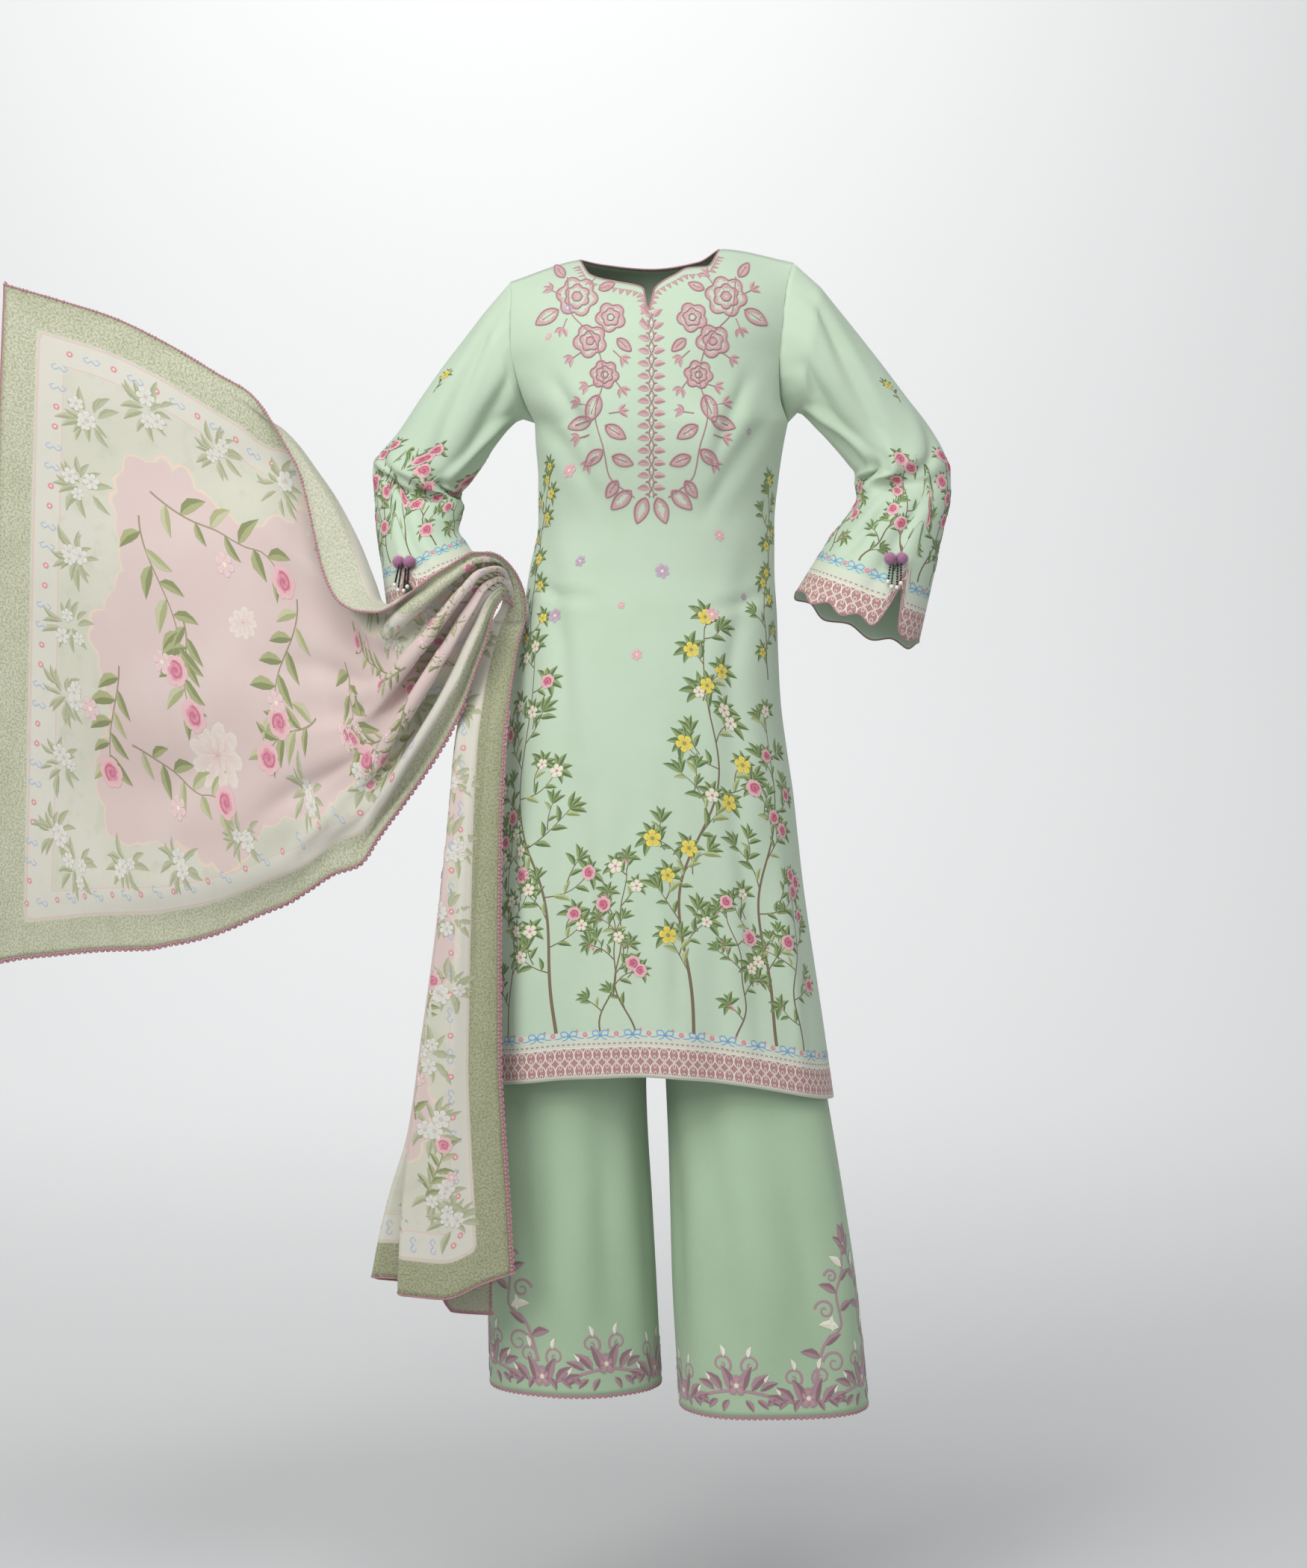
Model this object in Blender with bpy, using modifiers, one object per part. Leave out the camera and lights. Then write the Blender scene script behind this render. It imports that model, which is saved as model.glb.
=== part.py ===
"""Three-piece lawn suit in its worn form: tunic, wide trousers and a long scarf.

Metres, +Z up, the front of the suit faces -Y. The origin is the middle of the
neck at shoulder height. The tables below are in millimetres.
"""
import math

import bpy
import numpy as np

MM = 0.001
TUNIC_WALL = 1.2
TROUSER_WALL = 1.2
BAND_WALL = 3.0
SCARF_WALL = 1.0
SEAM_GAP = 0.3
SLEEVE_SEAM_GAP = 0.9
CENTRE_X = 2.0
UNDERARM_Z = -205.0
LEG_CROTCH_Z = -790.0
ROLL_START = 0.88
CUFF_START = 11.5
CUFF_STEP = 40.0
ARMHOLE_MIDDLE_Z = -118.0
ROLL_LENGTH = 16.0

GREEN = (0.47, 0.72, 0.50)
GREEN_DEEP = (0.40, 0.63, 0.44)
SCARF = (0.66, 0.56, 0.47)
MAUVE = (0.50, 0.28, 0.38)

# height, left, right, front, back of the tunic below the underarm
BODY = (
    (-1020, -216, 223, -143, 126),
    (-923, -211, 209, -141, 126),
    (-759, -196, 185, -136, 126),
    (-705, -189, 179, -133, 125),
    (-650, -182, 173, -131, 124),
    (-596, -175, 165, -128, 121),
    (-541, -170, 158, -124, 116),
    (-487, -162, 155, -119, 107),
    (-433, -153, 153, -113, 95),
    (-379, -144, 150, -108, 84),
    (-325, -134, 150, -109, 82),
    (-271, -134, 155, -118, 89),
    (-230, -137, 161, -125, 95),
    (-205, -138, 166, -127, 98),
)
# share of the way from underarm to shoulder: left, right, front edge, back edge, front, back
YOKE = (
    (0.00, -138, 166, 0, 0, -127, 98),
    (0.16, -151, 156, -26, 34, -125, 99),
    (0.34, -160, 154, -41, 51, -119, 97),
    (0.53, -166, 157, -44, 57, -106, 93),
    (0.76, -166, 161, -35, 47, -76, 81),
    (0.88, -165, 165, -22, 30, -49, 62),
    (1.00, -167, 172, 0, 0, 0, 0),
)
# across, height of the shoulder line
SHOULDER = ((-167, -36), (-85, -10), (0, -2), (84, 3), (172, -13))
# across, height of the front neck edge with its notch
FRONT_NECK = (
    (-84, -10), (-72, -30), (-58, -36), (-40, -40), (-8, -48), (-2, -77),
    (6, -49), (17, -39), (31, -31), (45, -23), (69, -21), (84, 3),
)
BACK_NECK = ((-84, -10), (-60, -14), (0, -18), (60, -10), (84, 3))
FRONT_HEM = ((-216, -1000), (-100, -985), (0, -980), (110, -992), (223, -1019))
BACK_HEM = ((-216, -1004), (0, -992), (223, -1016))
# shares of the half width where the columns of the panels run
FRONT_COLUMNS = (
    -1, -0.985, -0.94, -0.86, -0.76, -0.64, -0.51, -0.43, -0.33, -0.20, -0.06, -0.0265,
    0.02, 0.12, 0.25, 0.37, 0.486, 0.62, 0.75, 0.86, 0.94, 0.985, 1,
)
BACK_COLUMNS = (
    -1, -0.985, -0.94, -0.86, -0.76, -0.64, -0.51, -0.40, -0.27, -0.13, 0,
    0.13, 0.26, 0.38, 0.486, 0.62, 0.75, 0.86, 0.94, 0.985, 1,
)
BODY_ROWS = (0, 0.03, 0.08, 0.15, 0.23, 0.32, 0.41, 0.50, 0.58, 0.66, 0.73, 0.80, 0.87, 0.94, 1)
YOKE_ROWS = (0.07, 0.16, 0.28, 0.41, 0.55, 0.69, 0.81, 0.90, 0.96, 1)

# outer across, outer height, inner across, inner height, middle depth, half depth
SLEEVE_LEFT = (
    (-200, -74, -153, -200, 5, 55),
    (-224, -105, -161, -203, 8, 55),
    (-249, -137, -172, -212, 10, 54),
    (-277, -176, -187, -231, 14, 53),
    (-305, -217, -203, -257, 20, 54),
    (-325, -240, -219, -278, 24, 57),
    (-334, -252, -228, -288, 25, 58),
    (-335, -268, -229, -296, 22, 51),
    (-333, -290, -225, -306, 16, 51),
    (-331, -318, -229, -320, 8, 54),
    (-328, -345, -231, -334, 0, 57),
    (-322, -380, -219, -352, -14, 60),
    (-317, -414, -209, -367, -27, 63),
)
SLEEVE_RIGHT = (
    (205, -42, 178, -192, 5, 56),
    (228, -70, 184, -194, 8, 56),
    (254, -102, 192, -200, 10, 55),
    (282, -137, 204, -213, 14, 54),
    (312, -176, 220, -230, 20, 55),
    (337, -208, 239, -252, 24, 57),
    (355, -238, 249, -266, 25, 59),
    (364, -262, 249, -276, 22, 52),
    (364, -284, 251, -294, 17, 52),
    (361, -308, 243, -311, 12, 56),
    (353, -340, 222, -338, 6, 61),
    (345, -378, 203, -366, 0, 66),
    (331, -440, 189, -388, -7, 69),
)
# turn around the hem, drop of the hem below the last ring
HEM_RIGHT = (
    (0.00, 10), (0.055, 6), (0.105, 13), (0.144, 7), (0.170, -38), (0.223, 11), (0.260, 3),
    (0.300, 12), (0.340, 3), (0.385, 12), (0.43, 2), (0.50, 4), (0.56, 14), (0.62, 11),
    (0.68, 24), (0.74, 18), (0.80, 27), (0.86, 17), (0.92, 22), (0.97, 12),
)
HEM_LEFT = (
    (0.00, 2), (0.055, 6), (0.105, 2), (0.144, 5), (0.170, -32), (0.223, 7), (0.260, 1),
    (0.300, 8), (0.340, 1), (0.385, 8), (0.43, 0), (0.50, 4), (0.56, 9), (0.62, 4),
    (0.68, 14), (0.74, 8), (0.80, 14), (0.86, 6), (0.92, 9), (0.97, 3),
)

# height, inner, outer, middle depth, half depth of each trouser leg
LEG_LEFT = (
    (-1369, 14, -195, 0, 98),
    (-1253, 7, -198, 0, 99),
    (-1143, 1, -202, 0, 97),
    (-1002, -5, -202, 0, 93),
    (-900, -5, -194, 0, 94),
    (-830, -2, -184, 2, 98),
    (-790, 1, -176, 3, 100),
)
LEG_RIGHT = (
    (-1390, 36, 265, -30, 98),
    (-1253, 29, 252, -26, 100),
    (-1143, 26, 236, -20, 98),
    (-1002, 20, 212, -8, 92),
    (-900, 12, 194, -4, 94),
    (-830, 6, 182, 1, 98),
    (-790, 3, 174, 5.5, 101.1),
)
# height, left, right, front, back of the trouser seat
SEAT = (
    (-790, -176, 174, -100, 105),
    (-700, -168, 165, -104, 106),
    (-600, -156, 151, -102, 102),
    (-520, -145, 143, -96, 90),
    (-440, -134, 136, -90, 78),
    (-420, -132, 134, -88, 75),
)
WAIST = ((-419.7, -132, 134, -88, 75), (-400, -129, 132, -86, 72), (-380, -128, 131, -85, 70))

# lower edge across, depth, height; upper fold across, depth, height; upper edge across, depth, height
SCARF_FLY = (
    (-806, 20, -861, -779, 15, -38, -779, 15, -38),
    (-764, 12, -853, -713, 22, -57, -713, 22, -57),
    (-722, 2, -848, -650, 24, -77, -650, 24, -77),
    (-681, -8, -843, -582, 18, -110, -582, 18, -110),
    (-642, -16, -840, -523, 8, -145, -523, 8, -145),
    (-609, -24, -838, -483, 0, -172, -481, -3, -170),
    (-579, -30, -832, -453, -8, -200, -456, -20, -201),
    (-551, -36, -826, -425, -16, -230, -435, -34, -235),
    (-521, -42, -817, -401, -24, -266, -419, -44, -265),
    (-492, -48, -805, -380, -32, -297, -409, -54, -299),
    (-464, -54, -792, -361, -42, -329, -400, -66, -337),
    (-437, -60, -781, -342, -54, -365, -390, -80, -376),
    (-409, -66, -764, -327, -68, -398, -380, -94, -401),
    (-379, -72, -744, -317, -84, -419, -366, -108, -420),
    (-347, -80, -732, -309, -100, -422, -343, -120, -430),
    (-323, -88, -698, -303, -114, -420, -322, -130, -431),
    (-293, -96, -658, -296, -124, -416, -303, -137, -424),
    (-264, -102, -617, -283, -132, -404, -285, -140, -411),
    (-239, -107, -577, -268, -136, -394, -269, -141, -399),
    (-219, -110, -537, -253, -137, -383, -254, -140, -388),
)
SCARF_ARM = (
    (-219, -110, -537, -253, -137, -383, -254, -140, -388),
    (-205, -112, -497, -238, -137, -374, -239, -140, -379),
    (-194, -112, -467, -222, -134, -364, -223, -137, -369),
    (-187, -110, -440, -206, -129, -356, -207, -132, -361),
    (-181, -106, -424, -191, -121, -356, -192, -124, -361),
    (-174, -100, -415, -175, -110, -359, -176, -113, -364),
    (-170, -92, -416, -160, -97, -363, -161, -100, -368),
    (-170, -78, -424, -149, -80, -377, -148, -83, -379),
    (-177, -68, -434, -146, -69, -402, -144, -72, -403),
    (-186, -62, -446, -152, -62, -443, -149, -64, -443),
)
# height, then across for edge, front fold, hidden turn, back fold, back edge, depth of front layer
SCARF_FALL = (
    (-443.5, -149, -189, -160, -190, -148.6, -62.0),
    (-475, -158, -200, -168, -202, -161, -74),
    (-528, -166, -219, -180, -221, -170, -90),
    (-589, -173, -230, -191, -232, -178, -108),
    (-695, -177, -240, -199, -241, -181, -128),
    (-819, -178, -252, -206, -255, -183, -140),
    (-943, -178, -269, -214, -272, -186, -146),
    (-1047, -173, -283, -221, -287, -188, -150),
    (-1121, -168, -292, -230, -309, -189, -152),
    (-1179, -165, -296, -236, -323, -189, -153),
    (-1222, -162, -298, -239, -331, -189, -154),
)
LAYER_STEP = ((-443.5, 6.5), (-528, 8.5), (-695, 11.0), (-1222, 13.0))
# share across from the edge: drop of the hem
FALL_HEM = (
    (0.0, -10), (0.036, 0), (0.09, 19), (0.14, 16), (0.21, 14), (0.29, 10), (0.43, 4),
    (0.57, 3), (0.71, -1), (0.78, -1), (0.86, 3), (0.93, 12), (0.95, 42), (1.0, 46),
)


def smooth_curve(table, at):
    """Value of a monotone cubic through (place, value) rows."""
    rows = sorted((float(a), float(b)) for a, b in table)
    xs = [row[0] for row in rows]
    ys = [row[1] for row in rows]
    at = min(max(at, xs[0]), xs[-1])
    count = len(xs)
    slopes = [(ys[i + 1] - ys[i]) / (xs[i + 1] - xs[i]) for i in range(count - 1)]
    tangents = [slopes[0]]
    for i in range(1, count - 1):
        if slopes[i - 1] * slopes[i] <= 0:
            tangents.append(0.0)
        else:
            tangents.append(2 * slopes[i - 1] * slopes[i] / (slopes[i - 1] + slopes[i]))
    tangents.append(slopes[-1])
    i = 0
    while i < count - 2 and at > xs[i + 1]:
        i += 1
    step = xs[i + 1] - xs[i]
    t = (at - xs[i]) / step
    low = ys[i] * (1 + 2 * t) * (1 - t) ** 2 + step * tangents[i] * t * (1 - t) ** 2
    high = ys[i + 1] * t * t * (3 - 2 * t) - step * tangents[i + 1] * t * t * (1 - t)
    return low + high


def column(table, index, at):
    """Value of one column of a table at a place in its first column."""
    return smooth_curve([(row[0], row[index]) for row in table], at)


def by_order(table, index, share):
    """Value of one column of a table whose rows are evenly spaced, share 0 to 1."""
    return smooth_curve([(k, row[index]) for k, row in enumerate(table)], share * (len(table) - 1))


def ease(value, low, high):
    """Smooth step from 0 at low to 1 at high."""
    t = min(max((value - low) / (high - low), 0.0), 1.0)
    return t * t * (3 - 2 * t)


def dome(share, power):
    """Height of a rounded section at a share of its half width."""
    return max(0.0, 1 - abs(share) ** power) ** (1 / power)


def bump(x, z, centre_x, centre_z, wide, tall):
    """Soft round swelling."""
    return math.exp(-((x - centre_x) / wide) ** 2 - ((z - centre_z) / tall) ** 2)


def body_point(side, share, z):
    """Point of the tunic below the underarm; side -1 is the front, 1 the back."""
    left = column(BODY, 1, z)
    right = column(BODY, 2, z)
    deep = column(BODY, 3 if side < 0 else 4, z)
    low = ease(-z, 480, 1000)
    edge = side * (0.75 + 11 * ease(-z, 520, 1010))
    x = (left + right) / 2 + (right - left) / 2 * share
    y = edge + (deep - edge) * dome(share, 2.3)
    inside = 1 - share ** 4
    wave = 5 * math.sin(7.5 * share + 0.9) + 3 * math.sin(15 * share - 0.6)
    y += side * wave * low * inside
    return x, y, z


def yoke_point(side, share, rise, top):
    """Point of the tunic above the underarm; top is the height where its column ends."""
    left = column(YOKE, 1, rise)
    right = column(YOKE, 2, rise)
    x = (left + right) / 2 + (right - left) / 2 * share
    z = UNDERARM_Z + (top - UNDERARM_Z) * rise
    line = smooth_curve(SHOULDER, x)
    part = (z - UNDERARM_Z) / (line - UNDERARM_Z)
    edge = column(YOKE, 3 if side < 0 else 4, part)
    deep = column(YOKE, 5 if side < 0 else 6, part)
    edge += side * 0.75 * (1 - ease(rise, 0.0, 0.3))
    edge += side * 0.75 * ease(rise, 0.8, 1.0)
    deep += side * 0.75 * ease(rise, 0.8, 1.0)
    flat = 1 - abs(share) ** 2.6
    round_share = dome(share, 2.3)
    y = edge + (deep - edge) * (round_share + (flat - round_share) * ease(rise, 0.0, 0.45))
    return x, y, z


def tunic_point(side, share, row):
    """Point of a tunic panel; row 0 to 1 is hem to underarm, 1 to 2 underarm to shoulder."""
    if row <= 1:
        left = BODY[0][1]
        right = BODY[0][2]
        across = (left + right) / 2 + (right - left) / 2 * share
        hem = smooth_curve(FRONT_HEM if side < 0 else BACK_HEM, across)
        x, y, z = body_point(side, share, hem + (UNDERARM_Z - hem) * row)
    else:
        top_left = YOKE[-1][1]
        top_right = YOKE[-1][2]
        across = (top_left + top_right) / 2 + (top_right - top_left) / 2 * share
        neck = FRONT_NECK if side < 0 else BACK_NECK
        inside_neck = -84 < across < 84
        top = smooth_curve(neck if inside_neck else SHOULDER, across)
        x, y, z = yoke_point(side, share, row - 1, top)
    if side < 0:
        y -= 8 * bump(x, z, -72, -232, 46, 60) + 8 * bump(x, z, 78, -228, 46, 60)
    return x, y, z


def armhole_point(side, turn):
    """Point of the armhole edge; turn 0 shoulder, 0.5 underarm; side -1 left, 1 right."""
    front = turn <= 0.5
    rise = 1 - 2 * turn if front else 2 * turn - 1
    rise = 0.5 - 0.5 * math.cos(math.pi * rise)
    face = -1 if front else 1
    rows = (0.0,) + YOKE_ROWS
    k = 0
    while k < len(rows) - 2 and rise > rows[k + 1]:
        k += 1
    low = np.array(tunic_point(face, side, 1 + rows[k]))
    high = np.array(tunic_point(face, side, 1 + rows[k + 1]))
    return low + (high - low) * (rise - rows[k]) / (rows[k + 1] - rows[k])


def ring_point(rings, at, turn):
    """Point of the sleeve; at counts rings, turn 0 outer, 0.25 front, 0.5 inner."""
    share = at / (len(rings) - 1)
    outer_x = by_order(rings, 0, share)
    outer_z = by_order(rings, 1, share)
    inner_x = by_order(rings, 2, share)
    inner_z = by_order(rings, 3, share)
    middle = by_order(rings, 4, share)
    half = by_order(rings, 5, share)
    swing = math.cos(2 * math.pi * turn)
    x = (outer_x + inner_x) / 2 + (outer_x - inner_x) / 2 * swing
    z = (outer_z + inner_z) / 2 + (outer_z - inner_z) / 2 * swing
    y = middle - half * math.sin(2 * math.pi * turn)
    return x, y, z


def sleeve_point(side, at, turn):
    """Point of a sleeve; at 0 armhole, then the rings, 14 the hem."""
    rings = SLEEVE_LEFT if side < 0 else SLEEVE_RIGHT
    hem = HEM_LEFT if side < 0 else HEM_RIGHT
    if at < 1:
        x, y, z = armhole_point(side, turn)
        x += side * SLEEVE_SEAM_GAP
        z = ARMHOLE_MIDDLE_Z + (z - ARMHOLE_MIDDLE_Z) * 0.99
        y = 5 + (y - 5) * 0.99
        a = np.array((x, y, z))
        b = np.array(ring_point(rings, 0, turn))
        return tuple(a + (b - a) * at)
    last = len(rings)
    if at > CUFF_START:
        drop = smooth_curve(list(hem) + [(1.0, hem[0][1])], turn)
        share = (at - CUFF_START) / (last + 1 - CUFF_START)
        at = CUFF_START + share * (last + 0.5 - CUFF_START + drop / CUFF_STEP)
    x, y, z = ring_point(rings, min(at, last) - 1, turn)
    if at > last:
        here = np.array((x, y, z))
        run = here - np.array(ring_point(rings, last - 1.5, turn))
        x, y, z = here + run / np.linalg.norm(run) * CUFF_STEP * (at - last)
    crease = math.exp(-((at - 8.2 - 0.8 * math.sin(2 * math.pi * turn)) / 0.7) ** 2)
    y += 5 * crease * math.sin(2 * math.pi * turn)
    return x, y, z


def leg_point(side, psi, z):
    """Point of a trouser leg; psi 0 inner, 0.25 front, 0.5 outer, 0.75 back."""
    legs = LEG_LEFT if side < 0 else LEG_RIGHT
    low = max(min(z, LEG_CROTCH_Z), legs[0][0])
    inner = column(legs, 1, low)
    outer = column(legs, 2, low)
    middle = column(legs, 3, low)
    half = column(legs, 4, low)
    angle = 2 * math.pi * psi
    swing = math.cos(angle)
    sway = math.sin(angle)
    power = 0.9
    x = (inner + outer) / 2 + (inner - outer) / 2 * math.copysign(abs(swing) ** power, swing)
    y = middle - half * math.copysign(abs(sway) ** power, sway)
    flare = ease(-z, 900, 1390)
    y += 5 * flare * sway * math.cos(3 * angle + side)
    if z <= LEG_CROTCH_Z:
        return x, y, z
    seat_side = column(SEAT, 1 if side < 0 else 2, z)
    front = column(SEAT, 3, z)
    back = column(SEAT, 4, z)
    mid = CENTRE_X + side * (SEAM_GAP * 0.5 + 0.35)
    bend = math.pi * psi
    seat_x = mid + (seat_side - mid) * abs(math.sin(bend)) ** 0.85
    wide = math.cos(bend)
    deep = front if wide > 0 else back
    seat_y = deep * abs(wide) ** 0.85
    blend = ease(z, LEG_CROTCH_Z, -680) ** 0.6
    return x + (seat_x - x) * blend, y + (seat_y - y) * blend, z


def fly_base(table, share, across):
    """Point of the flying scarf; across 0 lower edge to 1 upper edge."""
    row = [by_order(table, k, share) for k in range(9)]
    low = np.array(row[0:3])
    fold = np.array(row[3:6])
    edge = np.array(row[6:9])
    width = np.linalg.norm(edge - fold)
    chord = fold - low
    fold = fold - chord / np.linalg.norm(chord) * max(0.0, ROLL_LENGTH - width)
    if across <= ROLL_START:
        return low + (fold - low) * (across / ROLL_START)
    part = (across - ROLL_START) / (1 - ROLL_START)
    turn = min(part / 0.4, 1.0)
    curl = ease(width, 3.0, 20.0)
    along = part + (part ** 1.5 - part) * curl
    toward = part + (math.sin(math.pi / 2 * turn) - part) * curl
    point = fold + (edge - fold) * along
    point[1] = fold[1] + (edge[1] - fold[1]) * toward
    return point


def scarf_fly_point(share, across):
    """Point of the scarf between its free end and the forearm, share 0 to 1."""
    x, y, z = fly_base(SCARF_FLY, share, across)
    part = min(across / ROLL_START, 1.0)
    body = math.sin(math.pi * part)
    y -= 26 * body * (1 - ease(share, 0.55, 1.0))
    y += 12 * body * math.sin(9 * share + 4 * part) * (1 - ease(share, 0.5, 0.9))
    y += 7 * math.sin(12 * share) * (1 - part) * (1 - ease(share, 0.5, 0.9))
    y += fold_waves(part, across) * 9 * ease(share, 0.35, 0.95)
    return x, y, z


def fold_waves(part, across):
    """Gathered folds across the scarf, nought at both edges."""
    fade = ease(part, 0.0, 0.1) * (1 - ease(across, 0.76, ROLL_START))
    return fade * math.sin(2 * math.pi * 4 * part)


def folded_section(fall_row, step, index, turn_steps, span_steps):
    """Point of the zigzag section; index counts its columns from the right front edge."""
    places = fall_row[1:6]
    deep = fall_row[6]
    per_layer = span_steps + turn_steps
    layer = min(index // per_layer, 3)
    inside = index - layer * per_layer
    start = places[layer]
    end = places[layer + 1]
    radius = step / 2
    way = math.copysign(1.0, end - start)
    if layer > 0:
        start += way * radius
    if layer < 3:
        end -= way * radius
    y = deep + layer * step
    if inside <= span_steps:
        share = inside / span_steps
        x = start + (end - start) * share
        belly = math.sin(math.pi * share) * abs(end - start) * 0.05
        return x, y - belly * (1 if layer == 0 else 0.3)
    angle = math.pi * (inside - span_steps) / turn_steps
    return end + way * radius * math.sin(angle), y + radius * (1 - math.cos(angle))


SPAN_STEPS = 4
TURN_STEPS = 4
SCARF_COLUMNS = 4 * SPAN_STEPS + 3 * TURN_STEPS


def fall_point(z, index):
    """Point of the hanging end of the scarf at a height."""
    row = [z] + [column(SCARF_FALL, k, z) for k in range(1, 7)]
    step = smooth_curve(LAYER_STEP, z)
    x, y = folded_section(row, step, index, TURN_STEPS, SPAN_STEPS)
    return x, y, z


def scarf_fall_point(row, index):
    """Point of the hanging scarf; row 0 top to 1 hem."""
    share = index / SCARF_COLUMNS
    top = SCARF_FALL[0][0]
    hem = SCARF_FALL[-1][0] - smooth_curve(FALL_HEM, share)
    z = top + (hem - top) * row
    x, y, _ = fall_point(max(z, SCARF_FALL[-1][0]), index)
    return x, y, z


def scarf_arm_point(share, index):
    """Point of the scarf over the forearm and under the hand."""
    across = 1 - index / SCARF_COLUMNS
    x, y, z = fly_base(SCARF_ARM, share, across)
    part = min(across / ROLL_START, 1.0)
    blend = ease(share, 0.5, 1.0)
    y += fold_waves(part, across) * (9 - 6.5 * ease(share, 0.0, 0.6)) * (1 - blend)
    y += 16 * (1 - across) * ease(share, 0.2, 0.7) * (1 - blend)
    if blend > 0:
        fx, fy, fz = fall_point(SCARF_FALL[0][0], index)
        x += (fx - x) * blend
        y += (fy - y) * blend
        z += (fz + 0.4 + SEAM_GAP - z) * blend
    return x, y, z


def material(name, colour, roughness):
    """Plain cloth finish."""
    made = bpy.data.materials.new(name)
    made.use_nodes = True
    shader = made.node_tree.nodes["Principled BSDF"]
    shader.inputs["Base Color"].default_value = (*colour, 1.0)
    shader.inputs["Roughness"].default_value = roughness
    return made


def mesh_object(name, points, faces, finish, collection):
    """Mesh with smooth faces from points in millimetres."""
    mesh = bpy.data.meshes.new(name)
    mesh.from_pydata([tuple(c * MM for c in p) for p in points], [], faces)
    mesh.update()
    for face in mesh.polygons:
        face.use_smooth = True
    mesh.materials.append(finish)
    made = bpy.data.objects.new(name, mesh)
    collection.objects.link(made)
    return made


def thicken(made, wall):
    """Give an open surface its wall, half to each side."""
    modifier = made.modifiers.new("Wall", "SOLIDIFY")
    modifier.thickness = wall * MM
    modifier.offset = 0.0
    return made


def grid_faces(rows, columns, flip):
    """Quads of a grid of rows by columns of points."""
    faces = []
    for i in range(rows - 1):
        for j in range(columns - 1):
            a = i * columns + j
            quad = (a, a + 1, a + columns + 1, a + columns)
            faces.append(quad[::-1] if flip else quad)
    return faces


def ring_faces(rows, columns, flip):
    """Quads of a closed tube of rows of points."""
    faces = []
    for i in range(rows - 1):
        for j in range(columns):
            a = i * columns + j
            b = i * columns + (j + 1) % columns
            quad = (a, b, b + columns, a + columns)
            faces.append(quad[::-1] if flip else quad)
    return faces


def build_panel(name, side, columns, finish, collection):
    """Front or back of the tunic."""
    rows = list(BODY_ROWS) + [1 + r for r in YOKE_ROWS]
    points = [tunic_point(side, share, row) for row in rows for share in columns]
    faces = grid_faces(len(rows), len(columns), side > 0)
    return thicken(mesh_object(name, points, faces, finish, collection), TUNIC_WALL)


def build_sleeve(name, side, finish, collection):
    """Sleeve as a tube from armhole to scalloped hem."""
    hem = HEM_LEFT if side < 0 else HEM_RIGHT
    turns = [row[0] for row in hem]
    stations = [0, 0.5, 1, 2, 3, 4, 5, 6, 7, 7.6, 8.2, 8.8, 9.6, 10.5, 11.5, 12.3, 13, 14]
    points = [sleeve_point(side, at, turn) for at in stations for turn in turns]
    faces = ring_faces(len(stations), len(turns), side < 0)
    return thicken(mesh_object(name, points, faces, finish, collection), TUNIC_WALL)


def build_leg(name, side, finish, collection):
    """Trouser leg, closed below the crotch and open along the centre seam above."""
    legs = LEG_LEFT if side < 0 else LEG_RIGHT
    count = 22
    low = [legs[0][0] + (LEG_CROTCH_Z - legs[0][0]) * k / 9 for k in range(10)]
    high = [-776, -760, -735, -705, -660, -600, -520, -420]
    points = []
    for z in low:
        points += [leg_point(side, k / count, z) for k in range(count)]
    base = len(points)
    for z in high:
        points += [leg_point(side, k / count, z) for k in range(count + 1)]
    flip = side > 0
    faces = ring_faces(len(low), count, flip)
    last = (len(low) - 1) * count
    for k in range(count):
        a = last + k
        b = last + (k + 1) % count
        quad = (a, b, base + k + 1, base + k)
        faces.append(quad[::-1] if flip else quad)
    for quad in grid_faces(len(high), count + 1, flip):
        faces.append(tuple(base + v for v in quad))
    return thicken(mesh_object(name, points, faces, finish, collection), TROUSER_WALL)


def build_waistband(finish, collection):
    """Plain band round the top of the trousers."""
    count = 28
    points = []
    for z, left, right, front, back in WAIST:
        for k in range(count):
            angle = 2 * math.pi * k / count
            swing = math.cos(angle)
            sway = math.sin(angle)
            x = (left + right) / 2 + (right - left) / 2 * math.copysign(abs(swing) ** 0.85, swing)
            y = (front if sway > 0 else back) * abs(sway) ** 0.85
            points.append((x, y, z))
    faces = ring_faces(len(WAIST), count, True)
    return thicken(mesh_object("waistband", points, faces, finish, collection), BAND_WALL)


def build_scarf(finish, collection):
    """The three stretches of the scarf that show."""
    across = [0, 0.05, 0.1, 0.15, 0.2, 0.26, 0.32, 0.38, 0.44, 0.5, 0.56, 0.62,
              0.68, 0.74, 0.8, 0.85, 0.88, 0.89, 0.905, 0.93, 0.965, 1.0]
    shares = [k / 23 for k in range(23)] + [0.9985]
    points = [scarf_fly_point(share, a) for share in shares for a in across]
    faces = grid_faces(len(shares), len(across), True)
    thicken(mesh_object("scarf_fly", points, faces, finish, collection), SCARF_WALL)
    shares = [0.004] + [k / 12 for k in range(1, 13)]
    indices = range(SCARF_COLUMNS + 1)
    points = [scarf_arm_point(share, k) for share in shares for k in indices]
    faces = grid_faces(len(shares), SCARF_COLUMNS + 1, False)
    thicken(mesh_object("scarf_over_arm", points, faces, finish, collection), SCARF_WALL)
    rows = [0, 0.03, 0.07, 0.12, 0.18, 0.26, 0.36, 0.47, 0.58, 0.69, 0.80, 0.90, 1.0]
    points = [scarf_fall_point(row, k) for row in rows for k in indices]
    faces = grid_faces(len(rows), SCARF_COLUMNS + 1, False)
    thicken(mesh_object("scarf_fall", points, faces, finish, collection), SCARF_WALL)


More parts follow.
